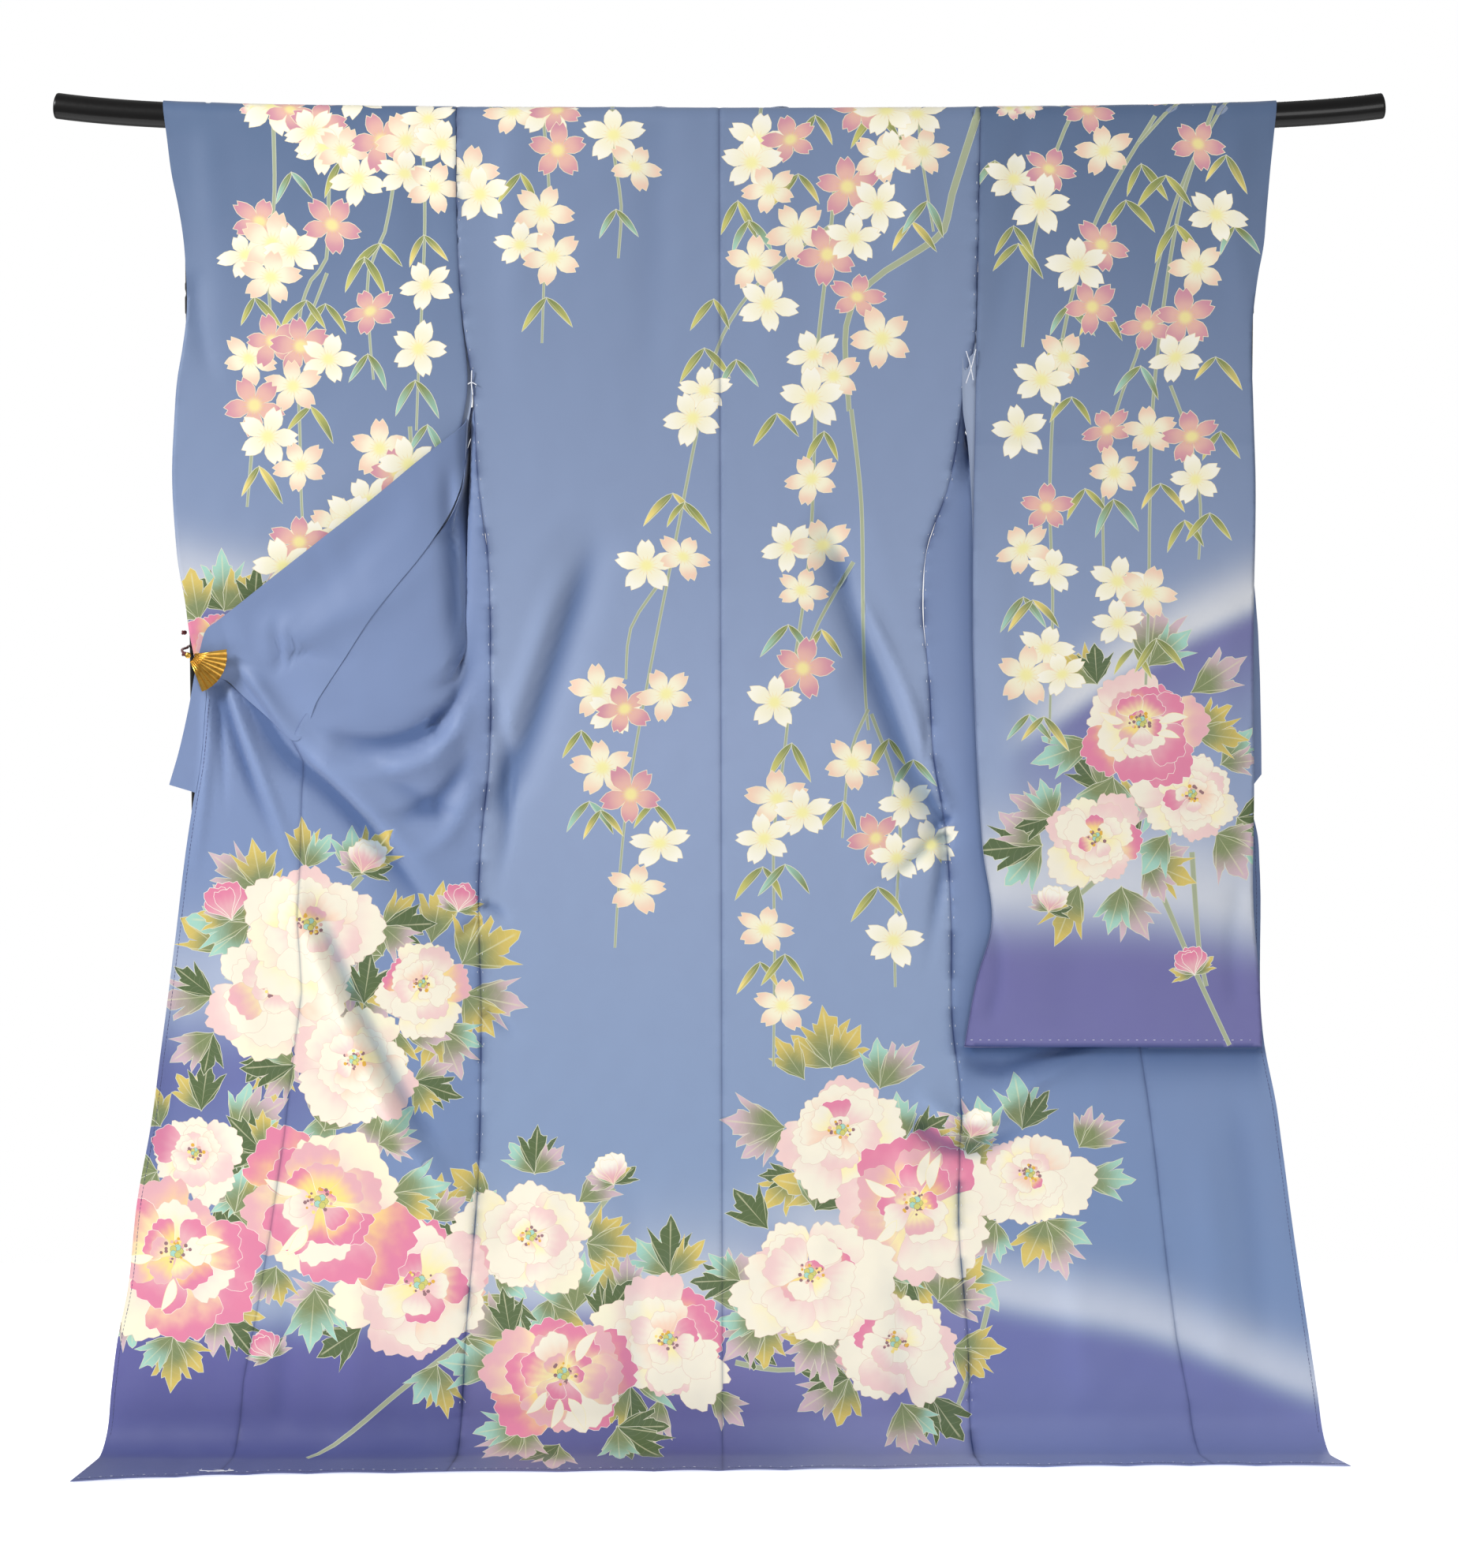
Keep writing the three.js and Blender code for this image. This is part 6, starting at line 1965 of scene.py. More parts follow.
BACK_CHERRY = Strand(
    twigs=(
        ((140, 1550), (70, 1495), (25, 1450), (-5, 1385), (-25, 1295), (-55, 1150), (-85, 995), (-115, 845),
         (-125, 735), (-130, 640)),
        ((-80, 1100), (-110, 1045), (-120, 980)),
        ((145, 1600), (140, 1530), (125, 1400), (120, 1280), (110, 1140), (95, 995), (80, 885), (70, 785),
         (70, 645), (70, 490)),
        ((170, 1130), (125, 1055), (100, 995)),
        ((165, 1320), (175, 1200), (180, 1065), (185, 955), (190, 920)),
        ((190, 940), (220, 855), (230, 785), (225, 665), (220, 590)), ((185, 945), (165, 885), (155, 780)),
        ((55, 1715), (50, 1640)), ((245, 1715), (250, 1640), (265, 1540)),
    ),
    blooms=(
        (50, 1655), (90, 1650, "p"), (35, 1625), (60, 1595, "h"), (45, 1500, "h"), (60, 1450), (-15, 1340),
        (-35, 1305), (-95, 1125), (-50, 1135, "h"), (-155, 965, "h"), (-135, 940), (-120, 950, "p"),
        (-70, 965, "h"), (-150, 870, "h"), (-110, 835, "p"), (-80, 775), (-110, 715, "h"), (155, 1600, "p"),
        (200, 1575), (100, 1540, "h"), (135, 1510, "p"), (170, 1535), (195, 1630, "h"), (175, 1695, "p"),
        (215, 1635), (250, 1635, "h"), (245, 1690), (205, 1690), (175, 1455, "p"), (200, 1410, "h"),
        (120, 1390),
        (145, 1360, "h"), (115, 1330), (120, 1235, "h"), (90, 1150), (125, 1155, "h"), (100, 1090, "h"),
        (105, 995, "p"), (65, 950), (70, 830, "h"), (105, 810), (60, 785), (60, 670, "h"), (75, 570, "h"),
        (165, 880, "h"), (240, 830), (195, 785, "p"), (225, 755), (265, 775), (220, 650),
    ),
    leaves=(
        (-5, 1460), (-20, 1400), (20, 1385), (-60, 1215), (-40, 1200), (-170, 915), (-165, 825), (-145, 820),
        (-85, 825), (20, 1575), (40, 1550), (100, 1610), (75, 1320), (135, 1295), (85, 1050), (130, 1045),
        (95, 900), (55, 745), (85, 745), (55, 625), (80, 630), (200, 1685), (230, 1660), (115, 1680),
        (155, 825),
        (215, 910), (245, 885), (235, 1550), (205, 715), (260, 785), (255, 1580),
    ),
)
BRANCH = Strand(twigs=(((330, 1715), (290, 1585), (280, 1545), (250, 1515), (190, 1475), (160, 1425),
                        (165, 1320)),),
                width=8.0)
SLEEVE_RIGHT_CHERRY = Strand(
    twigs=(
        ((455, 1715), (420, 1640), (395, 1540), (385, 1470), (380, 1400)),
        ((540, 1680), (485, 1580), (445, 1490), (420, 1360), (415, 1220), (420, 1085), (415, 985),
         (415, 900)),
        ((640, 1710), (585, 1610), (555, 1520), (525, 1410), (495, 1320), (480, 1230), (480, 1100)),
        ((615, 1690), (575, 1580), (555, 1440), (540, 1320), (540, 1200), (535, 1085), (535, 975)),
        ((565, 1350), (590, 1280), (600, 1200), (600, 1135)), ((585, 1715), (525, 1650)),
    ),
    blooms=(
        (360, 1695, "b"), (385, 1695, "b"), (455, 1690, "p"), (365, 1605), (410, 1615, "p"), (405, 1570),
        (480, 1640, "h"), (595, 1645, "p"), (615, 1565), (595, 1495, "h"), (480, 1525, "p"), (450, 1495),
        (470, 1450, "p"), (535, 1425, "p"), (585, 1435, "p"), (565, 1380), (435, 1385, "h"), (405, 1360),
        (375, 1290), (485, 1295, "p"), (540, 1295, "h"), (590, 1290, "p"), (590, 1235), (495, 1240, "h"),
        (410, 1200, "p"), (385, 1150, "h"), (420, 1115), (500, 1105), (535, 1095, "h"), (495, 1055),
        (405, 1020),
        (385, 985, "h"), (435, 985),
    ),
    leaves=(
        (525, 1625), (555, 1610), (345, 1625), (630, 1635), (375, 1525), (510, 1575), (430, 1445),
        (470, 1445),
        (440, 1330), (425, 1410), (530, 1370), (615, 1385), (630, 1295), (455, 1220), (495, 1205),
        (555, 1225),
        (580, 1185), (615, 1190), (385, 1090), (395, 1085), (515, 1025), (545, 1035), (385, 940), (410, 940),
        (370, 1550), (565, 1545), (645, 1550),
    ),
)


@dataclass(frozen=True)
class Peony:
    """One peony of the layout: its centre, its radius and how pink it is."""

    x: float
    z: float
    radius: float
    pink: float = 0.1


BODY_PEONIES = (
    Peony(-665, 380, 60), Peony(-375, 595, 62), Peony(-560, 590, 92), Peony(-515, 670, 86),
    Peony(-460, 500, 76),
    Peony(-240, 270, 80), Peony(-380, 210, 104, 0.3), Peony(-505, 315, 104, 0.85),
    Peony(-690, 250, 100, 0.75),
    Peony(-65, 135, 85), Peony(-200, 90, 92, 0.9), Peony(395, 350, 70), Peony(155, 405, 84),
    Peony(250, 310, 100, 0.85), Peony(225, 130, 84), Peony(115, 220, 90),
)
BODY_BUDS = ((-615, 680, 46, 0.3, 1), (-450, 740, 40, -0.3, 0), (-135, 340, 38, 0.2, 0),
             (-330, 690, 34, -0.2, 3),
             (320, 400, 36, -0.4, 2), (-570, 120, 34, 0.5, 5))
BODY_STEMS = (
    ((-310, 150), (-390, 90), (-450, 40), (-520, -20)), ((345, 190), (325, 110), (300, 40)),
    ((20, 110), (75, 100), (145, 105)), ((-560, 540), (-590, 440), (-585, 380)),
    ((250, 240), (300, 200), (345, 190)),
    ((-450, 735), (-480, 700), (-500, 660)), ((-135, 335), (-160, 300), (-200, 270)),
)
SLEEVE_PEONIES = (Peony(475, 780, 66), Peony(595, 835, 64), Peony(530, 925, 76, 0.6))
SLEEVE_BUDS = ((600, 610, 34, 0.3, 1), (415, 690, 32, -0.3, 0))
SLEEVE_STEMS = (((525, 785), (565, 695), (600, 615), (645, 520)), ((595, 765), (605, 645), (615, 595)),
                ((475, 730), (440, 700), (415, 690)))


class Layout:
    """Lays the dyed design out over the garment: cherry above, peonies below."""

    def __init__(self) -> None:
        """Makes the three lists: the body's and each sleeve's, whose far half repeats its near half."""
        self.body = self.garden(BODY_PEONIES, BODY_BUDS, BODY_STEMS,
                                (BACK_LEFT_CHERRY, BRANCH, BACK_CHERRY), 100)
        self.sleeve_right = self.garden(SLEEVE_PEONIES, SLEEVE_BUDS, SLEEVE_STEMS,
                                        (SLEEVE_RIGHT_CHERRY,), 300)
        far = [Peony(-p.x + 6, p.z - 24, p.radius, 0.7 - p.pink) for p in SLEEVE_PEONIES]
        buds = [(-x, z, size, -turn, seed + 1) for x, z, size, turn, seed in SLEEVE_BUDS]
        stems = [[(-x, z) for x, z in stem] for stem in SLEEVE_STEMS]
        far.append(Peony(-620, 1030, 44, 0.95))
        self.sleeve_left = self.garden(far, buds, stems, (SLEEVE_LEFT_CHERRY,), 500)
        for near, about in ((self.sleeve_left, -505.0), (self.sleeve_right, 505.0)):
            near += self.flipped([self.folded(p) for p in near], about)

    def garden(self, peonies: Sequence[Peony], buds: Sequence, stems: Sequence, strands: Sequence[Strand],
               seed: int) -> list[Patch]:
        """One list of shapes, lowest first: stems and leaves, then flowers, then cherry."""
        design = Design()
        for stem in stems:
            design.twig(stem, 6.0, 0.7)
        for k, peony in enumerate(peonies):
            design.leaves_round(peony.x, peony.z, peony.radius, 8 if peony.radius > 80 else 7, seed + k)
        for x, z, size, turn, number in buds:
            design.peony_bud(x, z, size, turn, number)
        for k, peony in enumerate(peonies):
            design.peony(peony.x, peony.z, peony.radius, peony.pink, seed + 50 + k)
        for strand in strands:
            rng = np.random.default_rng(seed + 7)
            for twig in strand.twigs:
                moved = [(x + rng.uniform(-3, 3), z + rng.uniform(-3, 3)) for x, z in twig]
                design.twig(moved, strand.width * rng.uniform(0.8, 1.2))
            for k, (x, z) in enumerate(strand.leaves):
                design.leaf_pair(x + rng.uniform(-5, 5), z + rng.uniform(-5, 5), seed + 80 + k)
            for k, (x, z, *tint) in enumerate(strand.blooms):
                design.blossom(x, z, tint[0] if tint else "", seed + 200 + k)
        return design.patches

    def folded(self, patch: Patch) -> Patch:
        """A patch upside down beyond the crest, where the strip comes down again on the far side."""
        turn = np.array([[1.0, 0.0], [0.0, -1.0]])
        shift = np.array([0.0, 2 * SleeveCloth.turn])
        return Patch(patch.outline @ turn + shift, patch.kind, patch.inner, patch.outer,
                     patch.origin @ turn + shift, turn @ patch.axes)

    def flipped(self, patches: Sequence[Patch], about: float) -> list[Patch]:
        """Patches swapped left and right about a line."""
        turn = np.array([[-1.0, 0.0], [0.0, 1.0]])
        shift = np.array([2 * about, 0.0])
        return [Patch(p.outline @ turn + shift, p.kind, p.inner, p.outer, p.origin @ turn + shift,
                      turn @ p.axes)
                for p in patches]


# ---------------------------------------------------------------- repeated small shapes


class Bead(Enum):
    """The small shape that a row repeats."""

    STITCH = "GeometryNodeMeshUVSphere"
    RIB = "GeometryNodeMeshCone"


@dataclass
class Row:
    """Many small shapes along given places, made by Geometry Nodes as one plain mesh.

    Attributes:
        name: The piece's name.
        bead: Which shape is repeated.
        length: The shape's length, in metres.
        thickness: Its thickness, in metres.
        uneven: The share by which the shapes differ in size.
        flatness: How thick the shape is across its outside, as a share of its width.
        seed: The random seed.
        points: Where the shapes lie, a list of runs.
        ways: The way that each shape lies.
        ups: The way that each shape's outside faces.
    """

    name: str
    bead: Bead
    length: float
    thickness: float
    uneven: float = 0.15
    flatness: float = 1.0
    seed: int = 1
    points: list[Array] = field(default_factory=list)
    ways: list[Array] = field(default_factory=list)
    ups: list[Array] = field(default_factory=list)

    def put(self, points: Array, ways: Array, ups: Array) -> None:
        """Adds places, the way that the shape lies at each, and the way that its outside faces."""
        self.points.append(np.asarray(points))
        self.ways.append(np.asarray(ways))
        self.ups.append(np.asarray(ups))

    def tree(self, material: bpy.types.Material) -> bpy.types.NodeTree:
        """The node tree that sets a small shape at each point."""
        tree = bpy.data.node_groups.new(self.name + "_row", "GeometryNodeTree")
        for title, kind in (("Places", "Geometry"), ("Length", "Float"), ("Thickness", "Float"),
                            ("Flatness", "Float"), ("Unevenness", "Float"), ("Seed", "Int")):
            tree.interface.new_socket(title, in_out="INPUT", socket_type=f"NodeSocket{kind}")
        tree.interface.new_socket("Row", in_out="OUTPUT", socket_type="NodeSocketGeometry")

        def add(kind: str, settings: dict | None = None, **values: object) -> bpy.types.Node:
            """Adds a node, with its settings first and then its sockets' values or links."""
            node = tree.nodes.new(kind)
            for key, value in (settings or {}).items():
                setattr(node, key, value)
            for key, value in values.items():
                entry = node.inputs[key.replace("_", " ")]
                if isinstance(value, bpy.types.NodeSocket):
                    tree.links.new(value, entry)
                else:
                    entry.default_value = value
            return node

        start = add("NodeGroupInput").outputs
        if self.bead is Bead.STITCH:
            shape = add(self.bead.value, Segments=6, Rings=4, Radius=0.5).outputs["Mesh"]
        else:
            shape = add(self.bead.value, Vertices=10, Radius_Top=0.5, Radius_Bottom=0.22,
                        Depth=1.0).outputs["Mesh"]
        size = add("ShaderNodeCombineXYZ")
        flat = add("ShaderNodeMath", {"operation": "MULTIPLY"})
        tree.links.new(start["Thickness"], flat.inputs[0])
        tree.links.new(start["Flatness"], flat.inputs[1])
        for entry, value in zip(size.inputs, (start["Thickness"], flat.outputs[0], start["Length"])):
            tree.links.new(value, entry)
        shape = add("GeometryNodeTransform", Geometry=shape, Scale=size.outputs[0]).outputs[0]
        way = add("GeometryNodeInputNamedAttribute", {"data_type": "FLOAT_VECTOR"}, Name="way").outputs[0]
        up = add("GeometryNodeInputNamedAttribute", {"data_type": "FLOAT_VECTOR"}, Name="up").outputs[0]
        lie = add("FunctionNodeAlignRotationToVector", {"axis": "Z"}, Vector=way).outputs[0]
        lie = add("FunctionNodeAlignRotationToVector", {"axis": "Y", "pivot_axis": "Z"}, Rotation=lie,
                  Vector=up).outputs[0]
        low = add("ShaderNodeMath", {"operation": "SUBTRACT"})
        low.inputs[0].default_value = 1.0
        tree.links.new(start["Unevenness"], low.inputs[1])
        high = add("ShaderNodeMath", {"operation": "ADD"})
        high.inputs[0].default_value = 1.0
        tree.links.new(start["Unevenness"], high.inputs[1])
        grow = tree.nodes.new("FunctionNodeRandomValue")
        grow.data_type = "FLOAT"
        tree.links.new(low.outputs[0], grow.inputs[2])
        tree.links.new(high.outputs[0], grow.inputs[3])
        tree.links.new(start["Seed"], next(s for s in grow.inputs if s.name == "Seed"))
        dots = add("GeometryNodeMeshToPoints", Mesh=start["Places"]).outputs[0]
        placed = add("GeometryNodeInstanceOnPoints", Points=dots, Instance=shape, Rotation=lie,
                     Scale=grow.outputs[1]).outputs[0]
        solid = add("GeometryNodeRealizeInstances", Geometry=placed).outputs[0]
        smooth_shape = add("GeometryNodeSetShadeSmooth", Geometry=solid).outputs[0]
        dressed = add("GeometryNodeSetMaterial", Geometry=smooth_shape, Material=material).outputs[0]
        tree.links.new(dressed, tree.nodes.new("NodeGroupOutput").inputs[0])
        return tree

    def make(self, material: bpy.types.Material) -> bpy.types.Object:
        """Makes the row a plain mesh."""
        points, ways, ups = (np.concatenate(rows) for rows in (self.points, self.ways, self.ups))
        mesh = bpy.data.meshes.new(self.name + "_places")
        mesh.from_pydata(points.tolist(), [], [])
        for name, values in (("way", ways), ("up", ups)):
            held = mesh.attributes.new(name, "FLOAT_VECTOR", "POINT")
            held.data.foreach_set("vector", values.astype(np.float32).ravel())
        places = bpy.data.objects.new(self.name + "_places", mesh)
        bpy.context.collection.objects.link(places)
        modifier = places.modifiers.new("row", "NODES")
        modifier.node_group = self.tree(material)
        values = {"Length": self.length, "Thickness": self.thickness, "Flatness": self.flatness,
                  "Unevenness": self.uneven, "Seed": self.seed}
        for socket in modifier.node_group.interface.items_tree:
            if socket.in_out == "INPUT" and socket.name in values:
                modifier[socket.identifier] = values[socket.name]
        graph = bpy.context.evaluated_depsgraph_get()
        plain = bpy.data.meshes.new_from_object(places.evaluated_get(graph), depsgraph=graph)
        plain.name = self.name
        bpy.data.objects.remove(places)
        piece = bpy.data.objects.new(self.name, plain)
        bpy.context.collection.objects.link(piece)
        LOG.info("%s: %d shapes", self.name, len(points))
        return piece


# ---------------------------------------------------------------- the stand and the clip


def tube(name: str, path: Array, radii: Array, material: bpy.types.Material, sides: int = 40,
         squash: float = 1.0) -> bpy.types.Object:
    """A round bar along a path, closed at both ends.

    Args:
        name: The piece's name.
        path: Its centreline, in metres.
        radii: Its radius at each point.
        material: Its finish.
        sides: How many sides it has.
        squash: Its depth as a share of its width.

    Returns:
        The bar.
    """
    path, radii = np.asarray(path, dtype=float), np.asarray(radii, dtype=float)
    ahead = np.gradient(path, axis=0)
    ahead /= np.maximum(np.linalg.norm(ahead, axis=1, keepdims=True), 1e-12)
    side = np.cross(ahead[0], (0.0, 1.0, 0.0) if abs(ahead[0][1]) < 0.9 else (1.0, 0.0, 0.0))
    turns = np.linspace(0, 2 * math.pi, sides, endpoint=False)
    rings = []
    for point, way, radius in zip(path, ahead, radii):
        side = side - way * np.dot(side, way)
        side /= np.linalg.norm(side)
        other = np.cross(way, side)
        round_it = np.cos(turns)[:, None] * side + squash * np.sin(turns)[:, None] * other
        rings.append(point + radius * round_it)
    vertices = np.concatenate([*rings, [path[0], path[-1]]])
    faces = []
    for ring in range(len(path) - 1):
        for k in range(sides):
            a, b = ring * sides + k, ring * sides + (k + 1) % sides
            faces.append((a, b, b + sides, a + sides))
    first, last, base = len(vertices) - 2, len(vertices) - 1, (len(path) - 1) * sides
    faces += [(first, (k + 1) % sides, k) for k in range(sides)]
    faces += [(last, base + k, base + (k + 1) % sides) for k in range(sides)]
    return solid(name, vertices, faces, material)


def solid(name: str, vertices: Array, faces: Sequence, material: bpy.types.Material) -> bpy.types.Object:
    """A smooth-shaded mesh object in metres."""
    mesh = bpy.data.meshes.new(name)
    mesh.from_pydata(np.asarray(vertices).tolist(), [], [tuple(int(i) for i in face) for face in faces])
    mesh.materials.append(material)
    mesh.polygons.foreach_set("use_smooth", [True] * len(mesh.polygons))
    mesh.set_sharp_from_angle(angle=math.radians(38))
    piece = bpy.data.objects.new(name, mesh)
    bpy.context.collection.objects.link(piece)
    return piece


def capped(path: Array, radius: float, ease: float, steps: int = 5) -> tuple[Array, Array]:
    """A path and its radii with softly rounded ends."""
    path = np.asarray(path, dtype=float)
    share = np.sin(np.linspace(0, QUARTER, steps + 1))[:-1]
    first, last = path[1] - path[0], path[-1] - path[-2]
    first, last = first / np.linalg.norm(first), last / np.linalg.norm(last)
    inset = ease * (1 - share)[:, None]
    shrink = radius - ease + ease * np.sqrt(1 - (1 - share) ** 2)
    head, tail = path[0] + first * (ease - inset), path[-1] - last * (ease - inset)
    whole = np.concatenate([head, [path[0] + first * ease], path[1:-1], [path[-1] - last * ease], tail[::-1]])
    radii = np.concatenate([shrink, np.full(len(path), radius), shrink[::-1]])
    return whole, radii


@dataclass
class Stand:
    """The lacquered stand: a bowed rail on two jointed posts, with feet and a low stretcher."""

    rail_radius: float = 16.0
    post_x: float = 657.0
    post_radius: float = 13.0
    joint: float = 1466.0
    foot_back: float = 172.0
    foot_front: float = -15.0
    foot_width: float = 40.0
    foot_height: float = 28.0
    stretcher_radius: float = 9.0
    stretcher_z: float = 160.0
    gap: float = 0.3

    def build(self, lacquer: bpy.types.Material) -> list[tuple[bpy.types.Object, tuple[str, ...]]]:
        """Builds all parts, each with the CAD nodes that it stands for."""
        xs = np.linspace(-DRAPE.half_length, DRAPE.half_length, 91)
        line = np.stack([xs, 0 * xs, DRAPE.axis(xs)], axis=1) * MM
        rail = tube("lacquer_rail", *capped(line, self.rail_radius * MM, 3.5 * MM), lacquer, 48)
        made = [(rail, ("rail",))]
        for side, word in ((-1, "left"), (1, "right")):
            made += self.post(side, word, lacquer)
            made.append((self.foot(side, word, lacquer), (f"foot_{word}",)))
        reach = (self.post_x - self.post_radius - self.gap) * MM
        bar = np.stack([np.linspace(-reach, reach, 9), np.zeros(9), np.full(9, self.stretcher_z * MM)],
                       axis=1)
        stretcher = tube("lacquer_stretcher", *capped(bar, self.stretcher_radius * MM, 1.0 * MM), lacquer, 32)
        made.append((stretcher, ("stretcher",)))
        return made

    def post(self, side: int, word: str, lacquer: bpy.types.Material) -> list:
        """One post in its two lengths, with a beaded joint between them."""
        x = side * self.post_x
        top = float(DRAPE.axis(np.array([x]))[0]) - self.rail_radius - 0.6
        heights = [28.3, 29.0, 36.0, 39.0, 60.0, 900.0, self.joint - 26, self.joint - 24, self.joint - 5,
                   self.joint - 3, self.joint - self.gap]
        swell = [1.06, 1.14, 1.14, 1.0, 1.0, 1.0, 1.0, 1.07, 1.07, 1.0, 0.97]
        lower = tube(f"lacquer_post_{word}_lower", self.column(x, heights),
                     np.array(swell) * self.post_radius * MM,
                     lacquer, 36)
        heights = [self.joint + self.gap, self.joint + 3, self.joint + 5, self.joint + 12, self.joint + 14,
                   1550.0, top - 2, top]
        swell = [0.97, 1.0, 1.05, 1.05, 1.0, 1.0, 1.0, 0.9]
        upper = tube(f"lacquer_post_{word}_upper", self.column(x, heights),
                     np.array(swell) * self.post_radius * MM,
                     lacquer, 36)
        return [(lower, (f"post_{word}_lower",)), (upper, (f"post_{word}_upper",))]

    def column(self, x: float, heights: Sequence[float]) -> Array:
        """A vertical centreline through heights."""
        return np.array([(x, 0.0, z) for z in heights]) * MM

    def foot(self, side: int, word: str, lacquer: bpy.types.Material) -> bpy.types.Object:
        """One foot: a long rail on the floor with eased edges and a lowered back end."""
        x, half = side * self.post_x, self.foot_width / 2
        profile = [(self.foot_front, 0.0), (self.foot_back, 0.0), (self.foot_back, self.foot_height - 14),
                   (self.foot_back - 4, self.foot_height - 8), (self.foot_back - 16, self.foot_height - 3),
                   (self.foot_back - 34, self.foot_height), (self.foot_front + 6, self.foot_height),
                   (self.foot_front + 2, self.foot_height - 2), (self.foot_front, self.foot_height - 6)]
        count = len(profile)
        vertices = [(x + s * half, y, z) for s in (-1, 1) for y, z in profile]
        faces = [tuple(range(count)), tuple(range(2 * count - 1, count - 1, -1))]
        faces += [(k, k + count, (k + 1) % count + count, (k + 1) % count) for k in range(count)]
        foot = solid(f"lacquer_foot_{word}", np.array(vertices) * MM, [face[::-1] for face in faces], lacquer)
        bevel = foot.modifiers.new("eased", "BEVEL")
        bevel.width, bevel.segments = 1.6 * MM, 3
        bevel.limit_method, bevel.angle_limit = "ANGLE", math.radians(50)
        return foot


@dataclass
class Clip:
    """The gilt fan clip that holds the left front's flap to the post, on its cord with two knots."""

    x: float = -664.0
    y: float = -45.6
    z: float = 1013.0
    radius: float = 49.0
    first: float = 9.0
    last: float = -70.0
    ribs: int = 9
    wall: float = 2.4
    cord_radius: float = 1.6
    cord_turn: float = 16.0
    post_x: float = -657.0
    knots: tuple[tuple[float, float, float], ...] = ((-675.5, -9.0, 1014.0), (-675.5, -9.0, 1041.0))

    def build(self, gilt: bpy.types.Material, cord: bpy.types.Material) -> list:
        """Builds the fan, the cord and the knots, each with the CAD nodes that it stands for."""
        made = [(self.fan(gilt), ("clip_fan",))]
        start = [(self.x - 1, -43.8, self.z + 1), (self.x - 8, -37, self.z + 4),
                 (self.x - 12, -18, self.z + 7)]
        angles = [math.radians(196 - 26 * k) for k in range(9)]
        turns = [(self.post_x + self.cord_turn * math.cos(angle), self.cord_turn * math.sin(angle),
                  self.z + 9 + 1.2 * k) for k, angle in enumerate(angles)]
        line = smooth_line(start + turns, 1.2) * MM
        wave = 1 + 0.10 * np.sin(np.arange(len(line)) * 1.25)
        loop = tube("clip_cord_twisted", line, wave * self.cord_radius * 0.95 * MM, cord, 12)
        made.append((loop, ("clip_cord",)))
        for knot, word in zip(self.knots, ("low", "high")):
            made.append((self.knot(knot, word, cord), (f"clip_knot_{word}",)))
        return made

    def fan(self, gilt: bpy.types.Material) -> bpy.types.Object:
        """Tapered ribs over a thin pleated leaf, with a knob on the pivot."""
        row = Row("clip_gilt_ribs", Bead.RIB, self.radius * 0.80 * MM, 2.6 * MM, 0.0, 0.5)
        angles = np.radians(np.linspace(self.first - 3, self.last + 3, self.ribs))
        ways = np.stack([np.cos(angles), 0 * angles, np.sin(angles)], axis=1)
        pivot = np.array([self.x, self.y + self.wall * 0.5 - 0.4, self.z])
        row.put((pivot + ways * self.radius * 0.96) * MM, -ways, np.tile((0.0, -1.0, 0.0), (self.ribs, 1)))
        fan = row.make(gilt)
        vertices, faces = [], []
        turns = np.radians(np.linspace(self.first, self.last, self.ribs * 4 + 1))
        for face in (0, 1):
            for reach in (8.0, 24.0, self.radius - 0.4):
                for k, turn in enumerate(turns):
                    pleat = 1.25 * math.cos(k * QUARTER) * (reach / self.radius)
                    y = self.y + (0.4 if face else 1.3) + pleat
                    vertices.append((self.x + reach * math.cos(turn), y, self.z + reach * math.sin(turn)))
        wide, rows = len(turns), 3
        for face in (0, 1):
            for r in range(rows - 1):
                for k in range(wide - 1):
                    a = face * wide * rows + r * wide + k
                    quad = (a, a + 1, a + wide + 1, a + wide)
                    faces.append(quad if face else quad[::-1])
        border = list(range(wide)) + [r * wide + wide - 1 for r in range(1, rows)]
        border += [(rows - 1) * wide + k for k in range(wide - 2, -1, -1)]
        border += [r * wide for r in range(rows - 2, 0, -1)]
        for a, b in zip(border, border[1:] + border[:1]):
            faces.append((a, b, b + wide * rows, a + wide * rows))
        leaf = solid("clip_leaf", np.array(vertices) * MM, faces, gilt)
        heights = np.array([0.2, 1.0, 1.9, 2.4, 2.6]) * -1.0
        radii = np.array([3.6, 3.8, 3.1, 1.8, 0.3])
        path = np.array([(self.x, self.y + 1.0 + h, self.z) for h in heights]) * MM
        knob = tube("clip_knob", path, radii * MM, gilt, 20)
        return joined(fan, leaf, knob)

    def knot(self, centre: tuple[float, float, float], word: str,
             cord: bpy.types.Material) -> bpy.types.Object:
        """One round crown knot of the cord."""
        turns = np.linspace(0, 2 * math.pi, 61)
        swing = 2.5 + 0.85 * np.cos(3 * turns)
        line = np.stack([centre[0] + swing * np.cos(2 * turns) * 0.72,
                         centre[1] + swing * np.sin(2 * turns) * 0.72,
                         centre[2] + 2.0 * np.sin(3 * turns) * 0.8], axis=1)
        return tube(f"clip_knot_{word}_tied", line * MM, np.full(61, 1.25 * MM), cord, 10)


def joined(*pieces: bpy.types.Object) -> bpy.types.Object:
    """Several objects as one, under the first one's name."""
    bpy.ops.object.select_all(action="DESELECT")
    for piece in pieces:
        piece.select_set(True)
    bpy.context.view_layer.objects.active = pieces[0]
    bpy.ops.object.join()
    return pieces[0]


# ---------------------------------------------------------------- sewing


